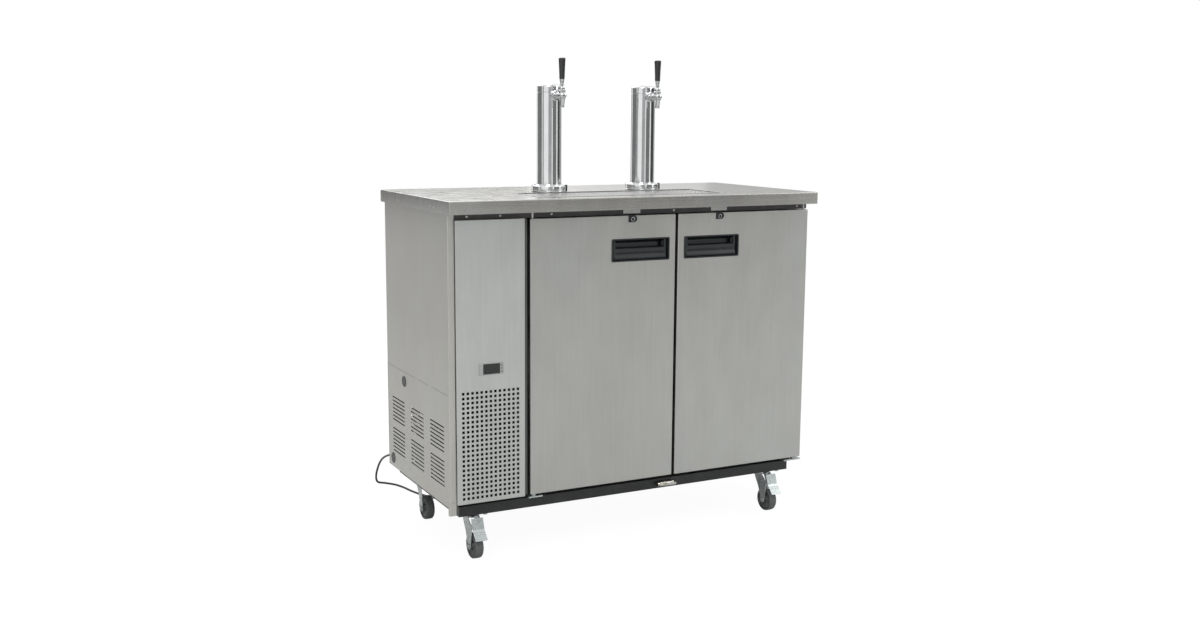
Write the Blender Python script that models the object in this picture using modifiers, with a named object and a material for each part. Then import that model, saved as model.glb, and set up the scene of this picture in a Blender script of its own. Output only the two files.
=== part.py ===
"""A two-door beer dispenser on casters: a cooled cabinet with a machine bay at its left end, a steel
counter with a drip tray, and two draught towers, each with one tap.

Metres, +Z up. The origin is on the floor under the middle of the counter, and the front faces -Y.
"""

import math

import bmesh
import bpy
from mathutils import Matrix, Vector

# Clearances and sheet
SEAT_GAP = 0.0003
RUN_GAP = 0.0005
SHEET = 0.0012
OVERRUN = 0.002
SEAM_GAP = 0.0006
MERGE_DISTANCE = 0.000005

# Counter
COUNTER_WIDTH = 1.245
COUNTER_DEPTH = 0.600
COUNTER_HEIGHT = 1.050
COUNTER_EDGE = 0.037
COUNTER_ROUND = 0.003

# Cabinet outline, measured in from the counter's edges
SIDE_OVERHANG = 0.010
BACK_OVERHANG = 0.014
FACE_SETBACK = 0.037
POST_SETBACK = 0.044
RAIL_SETBACK = 0.046
BASE_SETBACK = 0.050
BASE_BACK_INSET = 0.025
BASE_LEFT_INSET = 0.040
BASE_RIGHT_INSET = 0.053

# Heights of the base
CASTER_HEIGHT = 0.138
BASE_HEIGHT = 0.030
BASE_SHEET = 0.002
DOOR_FOOT_GAP = 0.011
PANEL_FOOT_GAP = 0.009

# Insulated cabinet
MACHINE_BAY_WIDTH = 0.2355
WALL = 0.045
CEILING = 0.050
FLOOR = 0.055
LINER_SHEET = 0.001
MULLION_WIDTH = 0.072
MULLION_DEPTH = 0.030

# Top rail with the lock strikes and the upper hinge pins
RAIL_HEIGHT = 0.0175
RAIL_PLATE = 0.005
STRIKE_WIDTH = 0.0585
STRIKE_HEIGHT = 0.0130
STRIKE_SHEET = 0.0015

# Doors
DOOR_THICKNESS = 0.045
DOOR_REVEAL = 0.0145
DOOR_GAP = 0.009
DOOR_TOP_GAP = 0.0022
DOOR_ROUND = 0.003
GASKET_INSET = 0.016
GASKET_WIDTH = 0.015
GASKET_DEPTH = 0.012

# Hinges
HINGE_INSET = 0.016
PIN_RADIUS = 0.004
PIN_ENGAGE = 0.012
PIN_SEAT = 0.006
BRACKET_SHEET = 0.004
BRACKET_OUTER = 0.020
BRACKET_INNER = 0.025
BRACKET_TAIL = 0.045
BRACKET_SETBACK = 0.003
THRUST_RADIUS = 0.008

# Pocket handles
HANDLE_WIDTH = 0.198
HANDLE_HEIGHT = 0.0685
HANDLE_INSET = 0.0215
HANDLE_DROP = 0.0690
HANDLE_FLANGE = 0.0045
HANDLE_PROUD = 0.0020
HANDLE_WALL = 0.0025
HANDLE_DEPTH = 0.030
HANDLE_ROUND = 0.009

# Door locks
LOCK_INSET = 0.149
LOCK_DROP = 0.0115
LOCK_RADIUS = 0.0095
LOCK_PROUD = 0.0015
LOCK_BODY = 0.017
LOCK_NECK_RADIUS = 0.0055
LOCK_NECK = 0.0015
CAM_LENGTH = 0.0200
CAM_HALF_WIDTH = 0.0050
CAM_SHEET = 0.0040
CAM_CLEARANCE = 0.0015

# Machine bay panels
POST_WIDTH = 0.0205
PANEL_SIDE_GAP = 0.0025
PANEL_RETURN = 0.010
POST_FOOT_DROP = 0.022
PANEL_FLANGE = 0.034
PANEL_LIP = 0.014
SEAM_HEIGHT = 0.4975

# Square perforations of the front panel
GRILLE_COLUMNS = 8
GRILLE_ROWS = 14
GRILLE_PITCH = 0.0236
GRILLE_HOLE = 0.0135
GRILLE_FOOT = 0.0190

# Louvre slots of the side panel and the back
LOUVRE_COLUMNS = 3
LOUVRE_ROWS = 7
LOUVRE_GROUPS = 2
LOUVRE_END_MARGIN = 0.0427
LOUVRE_GAP = 0.0573
LOUVRE_SLOT = 0.0045
LOUVRE_PITCH = 0.0120
LOUVRE_GROUP_PITCH = 0.1015
LOUVRE_TOP_DROP = 0.0990
BACK_SLOTS = 9
BACK_SLOT_LENGTH = 0.120
BACK_SLOT_PITCH = 0.030
BACK_SLOT = 0.009
BACK_SLOT_FOOT = 0.090

# Controller
BEZEL_WIDTH = 0.076
BEZEL_HEIGHT = 0.0355
BEZEL_PROUD = 0.003
BEZEL_ROUND = 0.0015
CONTROL_WIDTH = 0.070
CONTROL_HEIGHT = 0.029
CONTROL_DEPTH = 0.050
CONTROL_ABOVE_GRILLE = 0.0662
WINDOW_WIDTH = 0.049
WINDOW_HEIGHT = 0.029
WINDOW_DEPTH = 0.0010
KEY_COUNT = 3
KEY_WIDTH = 0.0062
KEY_HEIGHT = 0.0050
KEY_DEPTH = 0.0042
KEY_PROUD = 0.0007
KEY_TRAVEL = 0.0008
KEY_PITCH = 0.0090
KEY_OFFSET = 0.0312

# Drip tray and its grate
TRAY_WIDTH = 0.624
TRAY_SETBACK = 0.062
TRAY_LENGTH = 0.204
TRAY_DEPTH = 0.024
TRAY_SHEET = 0.0012
TRAY_DRAIN_RADIUS = 0.008
TRAY_DRAIN_WALL = 0.0015
GRATE_SINK = 0.0015
GRATE_SLOT_COLUMNS = 14
GRATE_SLOT_ROWS = 2
GRATE_BORDER = 0.0258
GRATE_BAR = 0.0225
GRATE_CROSS_BORDER = 0.0160
GRATE_CROSS_BAR = 0.0160

# Draught towers
TOWER_SPREAD = 0.332
TOWER_SETBACK = 0.327
TOWER_RADIUS = 0.038
TOWER_WALL = 0.0015
TOWER_HEIGHT = 0.3034
TOWER_BORE = 0.026
FOOT_RADIUS = 0.055
FOOT_HEIGHT = 0.0165
FOOT_RIM = 0.0095
FOOT_SHOULDER = 0.0075
CAP_BAND = 0.0175
CAP_DOME = 0.0085
CAP_LIP = 0.0015
CAP_STEP = 0.0015

# Taps, measured from the tower's axis and up from the tap's own axis
TAP_BELOW_RIM = 0.0099
TAP_REACH = 0.089
SHANK_RADIUS = 0.008
SHANK_TAIL = 0.010
COLLAR_RADIUS = 0.016
COLLAR_LENGTH = 0.006
NUT_RADIUS = 0.0150
NUT_LENGTH = 0.0137
BARREL_RADIUS = 0.0115
BARREL_NOSE = 0.014
BONNET_RADIUS = 0.0100
BONNET_TOP_RADIUS = 0.0088
BONNET_CHAMFER = 0.0035
BONNET_RISE = 0.0255
SPOUT_RADIUS = 0.0078
SPOUT_TIP_RADIUS = 0.0068
SPOUT_DROP = 0.0351
SPOUT_LEAN = 0.0065
SPOUT_BORE = 0.0045
TAP_BORE = 0.0048
PLUNGER_RADIUS = 0.0045
PLUNGER_FRONT = 0.0090
PLUNGER_BACK = 0.0250
PIVOT_RISE = 0.0195
TAP_SWING = math.radians(30)
LEVER_BALL = 0.0022
LEVER_THIN = 0.0018
PIVOT_BALL = 0.0034
LEVER_STEM = 0.0030
LEVER_PLAY = 0.0008
BALL_PLAY = 0.0012
LEVER_COLLAR_LOW = 0.0105
LEVER_COLLAR_RADIUS = 0.0068
FERRULE_LOW = 0.0135
FERRULE_WAIST = 0.0060
FERRULE_TOP_RADIUS = 0.0072
KNOB_LOW = 0.0287
KNOB_LENGTH = 0.0633
KNOB_LOW_RADIUS = 0.0080
KNOB_TOP_RADIUS = 0.0107
KNOB_ROUND = 0.0030

# Beer lines
LINE_RADIUS = 0.0055
LINE_BEND = 0.014
LINE_DROP = 0.040
LINE_NUT_RADIUS = 0.013
LINE_NUT = 0.016

# Casters
CASTER_LEFT_INSET = 0.058
CASTER_FRONT_INSET = 0.055
CASTER_BACK_INSET = 0.063
CASTER_TRAIL = 0.030
WHEEL_RADIUS = 0.0385
WHEEL_STEPS = 20
WHEEL_WIDTH = 0.028
WHEEL_CROWN = 0.0060
WHEEL_HUB_RADIUS = 0.0130
WHEEL_HUB_WIDTH = 0.0310
WHEEL_WEB_WIDTH = 0.0160
AXLE_RADIUS = 0.0040
AXLE_END = 0.0035
FORK_SHEET = 0.0030
FORK_CROWN_RADIUS = 0.0240
FORK_CROWN = 0.0050
FORK_TOP_HALF = 0.0200
FORK_EYE_RADIUS = 0.0110
RACEWAY_RADIUS = 0.0220
RACEWAY = 0.0100
KINGPIN_RADIUS = 0.0050
KINGPIN = 0.0120
PLATE_SHEET = 0.0030
PLATE_LENGTH = 0.092
PLATE_WIDTH = 0.076
RAIL_BAR_WIDTH = 0.050

# Brake pedals, measured from their pivot
PEDAL_PIVOT_FORWARD = 0.043
PEDAL_PIVOT_RISE = 0.0615
PEDAL_RADIUS = 0.0045
PEDAL_PIN_RADIUS = 0.0030
PEDAL_WIDTH = 0.037
PEDAL_ARM_WIDTH = 0.022
PEDAL_SHEET = 0.0025
PEDAL_TOP = 0.0250
PEDAL_KNEE_FORWARD = 0.0150
PEDAL_KNEE_DROP = 0.0100
PEDAL_TIP_FORWARD = 0.0400
PEDAL_TIP_DROP = 0.0330
PEDAL_CAM = 0.0238
PEDAL_CAM_HALF = 0.0030
PEDAL_SWING = math.radians(15)
PEDAL_EYE_RADIUS = 0.0080

# Drain valve on the base
VALVE_SHIFT = 0.0255
VALVE_STUB = 0.010
VALVE_STUB_RADIUS = 0.0070
VALVE_RADIUS = 0.0080
VALVE_HALF_LENGTH = 0.0290
VALVE_OUTLET_RADIUS = 0.0055
VALVE_STEM_RADIUS = 0.0035
VALVE_STEM = 0.0050
VALVE_LEVER_LENGTH = 0.034
VALVE_LEVER_HALF = 0.0040
VALVE_LEVER_SHEET = 0.0040
VALVE_LEVER_BACK = 0.0060

# Refrigeration in the machine bay
COMPRESSOR_RADIUS = 0.074
COMPRESSOR_HEIGHT = 0.165
COMPRESSOR_DOME = 0.035
COMPRESSOR_PLATE = 0.005
COMPRESSOR_PLATE_HALF_WIDTH = 0.076
COMPRESSOR_PLATE_HALF_LENGTH = 0.092
COMPRESSOR_BACK_INSET = 0.150
TERMINAL_BOX = 0.045
COIL_SETBACK = 0.022
COIL_DEPTH = 0.038
COIL_WIDTH = 0.180
COIL_HEIGHT = 0.330
COIL_GROOVES = 11
COIL_GROOVE_DEPTH = 0.006
COIL_END_SHEET = 0.002
SHROUD_DEPTH = 0.028
SHROUD_HOLE = 0.084
FAN_RADIUS = 0.078
FAN_HUB_RADIUS = 0.020
FAN_HUB_LENGTH = 0.018
FAN_BLADES = 5
FAN_BLADE_WIDTH = 0.034
FAN_BLADE_SHEET = 0.0015
FAN_PITCH = math.radians(28)
MOTOR_RADIUS = 0.022
MOTOR_LENGTH = 0.040
MOTOR_SHAFT_RADIUS = 0.0030
MOTOR_ARM = 0.006
FAN_SETBACK = 0.008

# Evaporator on the compartment's left wall
EVAPORATOR_DEPTH = 0.085
EVAPORATOR_END_ROOM = 0.095
EVAPORATOR_HEIGHT = 0.270
EVAPORATOR_DROP = 0.030
EVAPORATOR_SHEET = 0.0020
EVAPORATOR_HOLE = 0.082
EVAPORATOR_FAN_GAP = 0.006

# Mains cord
CORD_RADIUS = 0.0035
GLAND_INSET = 0.050
GLAND_RISE = 0.018
GLAND_RADIUS = 0.0120
GLAND_NECK_RADIUS = 0.0080
GLAND_FLANGE = 0.004
GLAND_NUT = 0.005
RELIEF_LENGTH = 0.030
RELIEF_RADIUS = 0.0068
RELIEF_TIP_RADIUS = 0.0050
CORD_STEPS = 50
COIL_LOOPS = 5
COIL_LOOP_POINTS = 24
COIL_MEAN_RADIUS = 0.0385
COIL_SPACING = 0.0077
COIL_X = -0.285
COIL_Y = 0.384
COIL_END_LEAD = 0.046
PLUG_LENGTH = 0.042
PLUG_HALF_WIDTH = 0.0135
PLUG_HALF_HEIGHT = 0.0110
PLUG_NECK = 0.016
PLUG_NECK_RADIUS = 0.0055
PLUG_ROUND = 0.003
BLADE_LENGTH = 0.0155
BLADE_SPACING = 0.0127
BLADE_SHEET = 0.0015
BLADE_HEIGHT = 0.0063
BLADE_RISE = 0.0030
EARTH_RADIUS = 0.0024
EARTH_DROP = 0.0060

# The cord's route from the gland to the coil, on the floor from its eighth point on
CORD_ROUTE = [
    (-0.5625, 0.3213, 0.1860),
    (-0.5625, 0.3560, 0.1812),
    (-0.5625, 0.4180, 0.1590),
    (-0.5625, 0.4800, 0.1370),
    (-0.5625, 0.5270, 0.1130),
    (-0.5620, 0.5670, 0.0790),
    (-0.5590, 0.6020, 0.0360),
    (-0.5480, 0.6200, 0.0085),
    (-0.5250, 0.6100, 0.0038),
    (-0.5000, 0.5760, 0.0038),
    (-0.4840, 0.5300, 0.0038),
    (-0.4740, 0.4800, 0.0038),
    (-0.4560, 0.4200, 0.0038),
    (-0.4240, 0.3600, 0.0038),
    (-0.3750, 0.3290, 0.0038),
    (-0.3250, 0.3240, 0.0038),
]

# Edges and planes that follow from the sizes above
LEFT = -COUNTER_WIDTH / 2
FRONT = -COUNTER_DEPTH / 2
BODY_LEFT = LEFT + SIDE_OVERHANG
BODY_RIGHT = -BODY_LEFT
BODY_BACK = -FRONT - BACK_OVERHANG
POST_FRONT = FRONT + POST_SETBACK
LOUVRE_GAPS = LOUVRE_GAP * (LOUVRE_COLUMNS - 1)
LOUVRE_LENGTH = (BODY_BACK - POST_FRONT - LOUVRE_END_MARGIN * 2 - LOUVRE_GAPS) / LOUVRE_COLUMNS
FACE = FRONT + FACE_SETBACK
DOOR_BACK = FACE + DOOR_THICKNESS
CABINET_FRONT = DOOR_BACK + GASKET_DEPTH + SEAT_GAP * 2
CABINET_LEFT = BODY_LEFT + MACHINE_BAY_WIDTH
CABINET_RIGHT = BODY_RIGHT - SHEET - SEAT_GAP
CABINET_BACK = BODY_BACK - SHEET - SEAT_GAP
BASE_TOP = CASTER_HEIGHT + BASE_HEIGHT
CABINET_BOTTOM = BASE_TOP + SEAT_GAP
UNDERSIDE = COUNTER_HEIGHT - COUNTER_EDGE
CABINET_TOP = UNDERSIDE - SEAT_GAP
RAIL_FRONT = FRONT + RAIL_SETBACK
RAIL_BOTTOM = CABINET_TOP - RAIL_HEIGHT
DOOR_TOP = RAIL_BOTTOM - DOOR_TOP_GAP
DOOR_BOTTOM = BASE_TOP + DOOR_FOOT_GAP
DOORS_LEFT = CABINET_LEFT + DOOR_REVEAL
DOOR_WIDTH = (BODY_RIGHT - DOORS_LEFT - DOOR_GAP) / 2
MEETING = DOORS_LEFT + DOOR_WIDTH + DOOR_GAP / 2
PANEL_LEFT = BODY_LEFT + POST_WIDTH + SEAM_GAP
PANEL_RIGHT = CABINET_LEFT - PANEL_SIDE_GAP
PANEL_BOTTOM = BASE_TOP + PANEL_FOOT_GAP
PANEL_TOP = RAIL_BOTTOM - SEAT_GAP
CAVITY_LOW = Vector((CABINET_LEFT + WALL, CABINET_FRONT, CABINET_BOTTOM + FLOOR))
CAVITY_HIGH = Vector((CABINET_RIGHT - WALL, CABINET_BACK - WALL, CABINET_TOP - CEILING))
BASE_LEFT = LEFT + BASE_LEFT_INSET
BASE_RIGHT = -LEFT - BASE_RIGHT_INSET
BASE_FRONT = FRONT + BASE_SETBACK
BASE_BACK = -FRONT - BASE_BACK_INSET
TRAY_FRONT = FRONT + TRAY_SETBACK
TOWER_Y = FRONT + TOWER_SETBACK
TAP_Z = COUNTER_HEIGHT + TOWER_HEIGHT - TAP_BELOW_RIM
BAY_MIDDLE = (PANEL_LEFT + PANEL_RIGHT) / 2
AXLE_Z = WHEEL_RADIUS * math.cos(math.pi / WHEEL_STEPS)
FORK_TOP = CASTER_HEIGHT - PLATE_SHEET - RACEWAY - SEAT_GAP
PIN_BORE = PIN_RADIUS + SEAT_GAP

QUARTER = math.pi / 2
TO_X = Matrix.Rotation(QUARTER, 4, "Y")
TO_Y = Matrix.Rotation(-QUARTER, 4, "X")
TO_Z = Matrix.Identity(4)
SIDES = (("left", -1), ("right", 1))

for old in list(bpy.data.objects):
    bpy.data.objects.remove(old)

PIECES = bpy.data.collections.new("beer_dispenser")
CUTTERS = bpy.data.collections.new("cutters")
for collection in (PIECES, CUTTERS):
    bpy.context.scene.collection.children.link(collection)


# Helpers


def finish(name, colour, roughness, metallic=0.0):
    """A plain material in one colour."""
    material = bpy.data.materials.new(name)
    material.use_nodes = True
    shader = material.node_tree.nodes["Principled BSDF"]
    shader.inputs["Base Color"].default_value = (*colour, 1)
    shader.inputs["Roughness"].default_value = roughness
    shader.inputs["Metallic"].default_value = metallic
    return material


def steel(name):
    return finish(name, (0.45, 0.45, 0.43), 0.35, 0.9)


def chrome(name):
    return finish(name, (0.80, 0.81, 0.82), 0.08, 1.0)


def zinc(name):
    return finish(name, (0.62, 0.66, 0.66), 0.35, 0.9)


def black(name):
    return finish(name, (0.02, 0.02, 0.022), 0.45)


def add(name, data, material, collection=PIECES):
    """A new object; without a material it is a hidden cutter or helper."""
    piece = bpy.data.objects.new(name, data)
    if material is None:
        collection = CUTTERS
        piece.hide_render = True
        piece.display_type = "WIRE"
    else:
        data.materials.append(material)
    collection.objects.link(piece)
    return piece


def box(name, low, high, material=None):
    low, high = Vector(low), Vector(high)
    bm = bmesh.new()
    bmesh.ops.create_cube(bm, size=1)
    bmesh.ops.scale(bm, vec=high - low, verts=bm.verts)
    bmesh.ops.translate(bm, vec=(low + high) / 2, verts=bm.verts)
    mesh = bpy.data.meshes.new(name)
    bm.to_mesh(mesh)
    bm.free()
    return add(name, mesh, material)


def boxes(name, places, size):
    """Many equal boxes in one cutter, centred on the places."""
    bm = bmesh.new()
    for place in places:
        made = bmesh.ops.create_cube(bm, size=1)["verts"]
        bmesh.ops.scale(bm, vec=size, verts=made)
        bmesh.ops.translate(bm, vec=place, verts=made)
    mesh = bpy.data.meshes.new(name)
    bm.to_mesh(mesh)
    bm.free()
    return add(name, mesh, None)


def rod(name, at, turn, radius, length, material=None, sides=20, top_radius=None):
    """A cylinder or cone that starts at a point and runs along its own +Z."""
    bm = bmesh.new()
    top_radius = radius if top_radius is None else top_radius
    bmesh.ops.create_cone(
        bm, cap_ends=True, segments=sides, radius1=radius, radius2=top_radius, depth=length
    )
    bmesh.ops.translate(bm, vec=(0, 0, length / 2), verts=bm.verts)
    mesh = bpy.data.meshes.new(name)
    bm.to_mesh(mesh)
    bm.free()
    smooth(mesh)
    piece = add(name, mesh, material)
    piece.matrix_world = Matrix.Translation(at) @ turn
    return piece


def smooth(mesh):
    mesh.shade_smooth()
    mesh.set_sharp_from_angle(angle=math.radians(35))


def turned(name, profile, at, turn, material=None, steps=24, ring=False):
    """A turned shape: its profile of radius and height runs down its outer side."""
    mesh = bpy.data.meshes.new(name)
    last = len(profile) - 1
    edges = [(i, i + 1) for i in range(last)]
    if ring:
        edges.append((last, 0))
    mesh.from_pydata([(r, 0, h) for r, h in profile], edges, [])
    piece = add(name, mesh, material)
    piece.matrix_world = Matrix.Translation(at) @ turn
    screw = piece.modifiers.new("Turn", "SCREW")
    screw.steps = screw.render_steps = steps
    screw.use_merge_vertices = True
    screw.merge_threshold = MERGE_DISTANCE
    screw.use_smooth_shade = True
    return piece


def curve_object(name, points, material, cyclic=False):
    curve = bpy.data.curves.new(name, "CURVE")
    spline = curve.splines.new("POLY")
    spline.points.add(len(points) - 1)
    for control, point in zip(spline.points, points):
        control.co = (*point, 1)
    spline.use_cyclic_u = cyclic
    return curve, add(name, curve, material)


def tube(name, points, radius, material=None, resolution=2):
    curve, piece = curve_object(name, [tuple(p) for p in points], material)
    curve.dimensions = "3D"
    curve.bevel_depth = radius
    curve.bevel_resolution = resolution
    curve.use_fill_caps = True
    return piece


def as_mesh(piece):
    """The same piece as a closed mesh, in place of its curve."""
    bpy.context.view_layer.update()
    graph = bpy.context.evaluated_depsgraph_get()
    mesh = bpy.data.meshes.new_from_object(piece.evaluated_get(graph))
    bm = bmesh.new()
    bm.from_mesh(mesh)
    bmesh.ops.remove_doubles(bm, verts=bm.verts, dist=MERGE_DISTANCE)
    bmesh.ops.recalc_face_normals(bm, faces=bm.faces)
    bm.to_mesh(mesh)
    bm.free()
    name, place, home = piece.name, piece.matrix_world.copy(), piece.users_collection[0]
    hidden = piece.hide_render
    bpy.data.objects.remove(piece)
    made = bpy.data.objects.new(name, mesh)
    made.matrix_world = place
    made.hide_render = hidden
    made.display_type = "WIRE" if hidden else "TEXTURED"
    home.objects.link(made)
    return made


def flat(name, outline, thickness, place, material=None):
    """A flat outline with a thickness, centred on its own XY plane."""
    points = [(x, y, 0) for x, y in outline]
    curve, piece = curve_object(name, points, material, cyclic=True)
    curve.dimensions = "2D"
    curve.fill_mode = "BOTH"
    curve.extrude = thickness / 2
    piece.matrix_world = place
    return as_mesh(piece)


def side_view(at):
    """A place whose own X is the object's +Y and own Y is +Z, so an outline is drawn from the side."""
    axes = Matrix(((0, 0, 1, 0), (1, 0, 0, 0), (0, 1, 0, 0), (0, 0, 0, 1)))
    return Matrix.Translation(at) @ axes


def combine(piece, other, operation):
    change = piece.modifiers.new(operation.title(), "BOOLEAN")
    change.operation = operation
    change.object = other
    change.solver = "EXACT"


def cut(piece, *cutters):
    for cutter in cutters:
        combine(piece, cutter, "DIFFERENCE")


def join(piece, *others):
    for other in others:
        combine(piece, other, "UNION")


def round_edges(piece, width, segments=2):
    bevel = piece.modifiers.new("Rounded", "BEVEL")
    bevel.width = width
    bevel.segments = segments
    bevel.limit_method = "ANGLE"
    piece.data.shade_smooth()
    piece.data.set_sharp_from_angle(angle=math.radians(35))


def pivot(piece, point):
    """The piece's origin moved onto its joint's axis, with the piece left in place."""
    offset = piece.matrix_world.inverted() @ Vector(point)
    piece.data.transform(Matrix.Translation(-offset))
    piece.matrix_world = Matrix.Translation(Vector(point)) @ piece.matrix_world.to_3x3().to_4x4()


# Cabinet


def cabinet_body():
    shell = box(
        "cabinet_body",
        (CABINET_LEFT, CABINET_FRONT, CABINET_BOTTOM),
        (CABINET_RIGHT, CABINET_BACK, CABINET_TOP),
        finish("foamed_cabinet", (0.10, 0.10, 0.10), 0.5),
    )
    cut(shell, box("cavity", CAVITY_LOW - Vector((0, OVERRUN, 0)), CAVITY_HIGH))
    mullion = box(
        "mullion",
        (MEETING - MULLION_WIDTH / 2, CABINET_FRONT, CAVITY_LOW.z - OVERRUN),
        (MEETING + MULLION_WIDTH / 2, CABINET_FRONT + MULLION_DEPTH, CAVITY_HIGH.z + OVERRUN),
    )
    join(shell, mullion)
    for side, sign in SIDES:
        at = (sign * TOWER_SPREAD / 2, TOWER_Y, CAVITY_HIGH.z - OVERRUN)
        hole = rod(f"{side}_ceiling_hole", at, TO_Z, TOWER_BORE, CEILING + OVERRUN * 2)
        cut(shell, hole)


def inner_liner():
    low = CAVITY_LOW + Vector((SEAT_GAP, MULLION_DEPTH + SEAT_GAP, SEAT_GAP))
    high = CAVITY_HIGH - Vector((SEAT_GAP, SEAT_GAP, SEAT_GAP))
    liner = box("inner_liner", low, high, finish("liner_sheet", (0.72, 0.73, 0.73), 0.35, 0.6))
    inside = Vector((LINER_SHEET, LINER_SHEET, LINER_SHEET))
    cut(liner, box("liner_space", low + inside - Vector((0, OVERRUN * 2, 0)), high - inside))
    for side, sign in SIDES:
        at = (sign * TOWER_SPREAD / 2, TOWER_Y, high.z - OVERRUN)
        cut(liner, rod(f"{side}_liner_hole", at, TO_Z, TOWER_BORE, OVERRUN * 2))


def louvre_places():
    """Centres of the side panel's slots: columns along the depth, groups and rows going down."""
    for column in range(LOUVRE_COLUMNS):
        y = POST_FRONT + LOUVRE_END_MARGIN + LOUVRE_LENGTH / 2 + column * (LOUVRE_LENGTH + LOUVRE_GAP)
        for group in range(LOUVRE_GROUPS):
            for row in range(LOUVRE_ROWS):
                drop = LOUVRE_TOP_DROP + group * LOUVRE_GROUP_PITCH + row * LOUVRE_PITCH
                yield (BODY_LEFT, y, SEAM_HEIGHT - drop)


def side_panels():
    """The left side: an upper sheet that also makes the front corner, and a louvred lower sheet."""
    front = POST_FRONT
    upper = box(
        "side_panel_upper",
        (BODY_LEFT, front, SEAM_HEIGHT + SEAM_GAP / 2),
        (BODY_LEFT + SHEET, CABINET_BACK, CABINET_TOP),
        steel("side_steel"),
    )
    corner = box(
        "corner_flange",
        (BODY_LEFT, front, BASE_TOP - POST_FOOT_DROP),
        (BODY_LEFT + POST_WIDTH, front + SHEET, CABINET_TOP),
    )
    lip = box(
        "upper_lip",
        (BODY_LEFT, front + SHEET * 2, CABINET_TOP - SHEET),
        (BODY_LEFT + PANEL_LIP, CABINET_BACK, CABINET_TOP),
    )
    join(upper, corner, lip)
    lower = box(
        "side_panel_lower",
        (BODY_LEFT, front + SHEET + SEAM_GAP, CABINET_BOTTOM),
        (BODY_LEFT + SHEET, CABINET_BACK, SEAM_HEIGHT - SEAM_GAP / 2),
        steel("louvred_steel"),
    )
    foot = box(
        "lower_foot",
        (BODY_LEFT, front + SHEET + SEAM_GAP, CABINET_BOTTOM),
        (BODY_LEFT + PANEL_FLANGE, CABINET_BACK, CABINET_BOTTOM + SHEET),
    )
    join(lower, foot)
    slot = (SHEET + OVERRUN * 2, LOUVRE_LENGTH, LOUVRE_SLOT)
    cut(lower, boxes("louvres", louvre_places(), slot))


def rear_right_skin():
    """One bent sheet over the back and the right side, slotted behind the machine bay."""
    skin = box(
        "rear_right_skin",
        (BODY_LEFT, CABINET_BACK + SEAT_GAP, CABINET_BOTTOM),
        (BODY_RIGHT, BODY_BACK, CABINET_TOP),
        steel("skin_steel"),
    )
    side = box(
        "right_side",
        (BODY_RIGHT - SHEET, CABINET_FRONT, CABINET_BOTTOM),
        (BODY_RIGHT, BODY_BACK, CABINET_TOP),
    )
    join(skin, side)
    middle = (BODY_LEFT + CABINET_LEFT) / 2
    places = [
        (middle, BODY_BACK, CABINET_BOTTOM + BACK_SLOT_FOOT + row * BACK_SLOT_PITCH)
        for row in range(BACK_SLOTS)
    ]
    slot = (BACK_SLOT_LENGTH, SHEET * 2 + OVERRUN, BACK_SLOT)
    cut(skin, boxes("back_slots", places, slot))
    at = (BODY_LEFT + GLAND_INSET, CABINET_BACK - OVERRUN, BASE_TOP + GLAND_RISE)
    cut(skin, rod("gland_hole", at, TO_Y, GLAND_NECK_RADIUS + SEAT_GAP, SHEET + OVERRUN * 2))


def grille_places():
    for column in range(GRILLE_COLUMNS):
        x = BAY_MIDDLE + (column - (GRILLE_COLUMNS - 1) / 2) * GRILLE_PITCH
        for row in range(GRILLE_ROWS):
            yield (x, FACE, PANEL_BOTTOM + GRILLE_FOOT + row * GRILLE_PITCH)


def control_centre():
    top_row = PANEL_BOTTOM + GRILLE_FOOT + (GRILLE_ROWS - 1) * GRILLE_PITCH
    return Vector((BAY_MIDDLE, FACE, top_row + CONTROL_ABOVE_GRILLE))


def front_panel():
    """The fixed panel of the machine bay: a pan with four returns and square perforations."""
    panel = box(
        "front_panel",
        (PANEL_LEFT, FACE, PANEL_BOTTOM),
        (PANEL_RIGHT, FACE + PANEL_RETURN, PANEL_TOP),
        steel("panel_steel"),
    )
    pan = box(
        "pan_space",
        (PANEL_LEFT + SHEET, FACE + SHEET, PANEL_BOTTOM + SHEET),
        (PANEL_RIGHT - SHEET, FACE + PANEL_RETURN + OVERRUN, PANEL_TOP - SHEET),
    )
    hole = (GRILLE_HOLE, SHEET * 2 + OVERRUN, GRILLE_HOLE)
    half = Vector((CONTROL_WIDTH / 2 + SEAT_GAP, OVERRUN, CONTROL_HEIGHT / 2 + SEAT_GAP))
    centre = control_centre()
    window = box("control_cutout", centre - half, centre + half)
    cut(panel, pan, boxes("perforations", grille_places(), hole), window)


def lock_back(face):
    """The plane where the cam's front face turns."""
    return face - LOCK_PROUD + LOCK_BODY + LOCK_NECK


def top_rail():
    """The rail under the counter's front, with a strike over each lock: the cams rise behind it."""
    rail = box(
        "top_rail",
        (PANEL_LEFT, RAIL_FRONT, RAIL_BOTTOM),
        (BODY_RIGHT - SHEET, RAIL_FRONT + RAIL_PLATE, CABINET_TOP),
        finish("rail_steel", (0.16, 0.16, 0.16), 0.45, 0.5),
    )
    for side, sign in SIDES:
        x = lock_axis(sign).x
        strike = box(
            f"{side}_strike",
            (x - STRIKE_WIDTH / 2, RAIL_FRONT - STRIKE_SHEET, CABINET_TOP - STRIKE_HEIGHT),
            (x + STRIKE_WIDTH / 2, RAIL_FRONT + STRIKE_SHEET, CABINET_TOP - SHEET),
        )
        join(rail, strike)
        hinge = hinge_axis(sign)
        start = (hinge.x, hinge.y, RAIL_BOTTOM - OVERRUN)
        cut(rail, rod(f"{side}_pin_space", start, TO_Z, PIN_BORE, RAIL_HEIGHT + OVERRUN * 2, sides=12))


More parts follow.
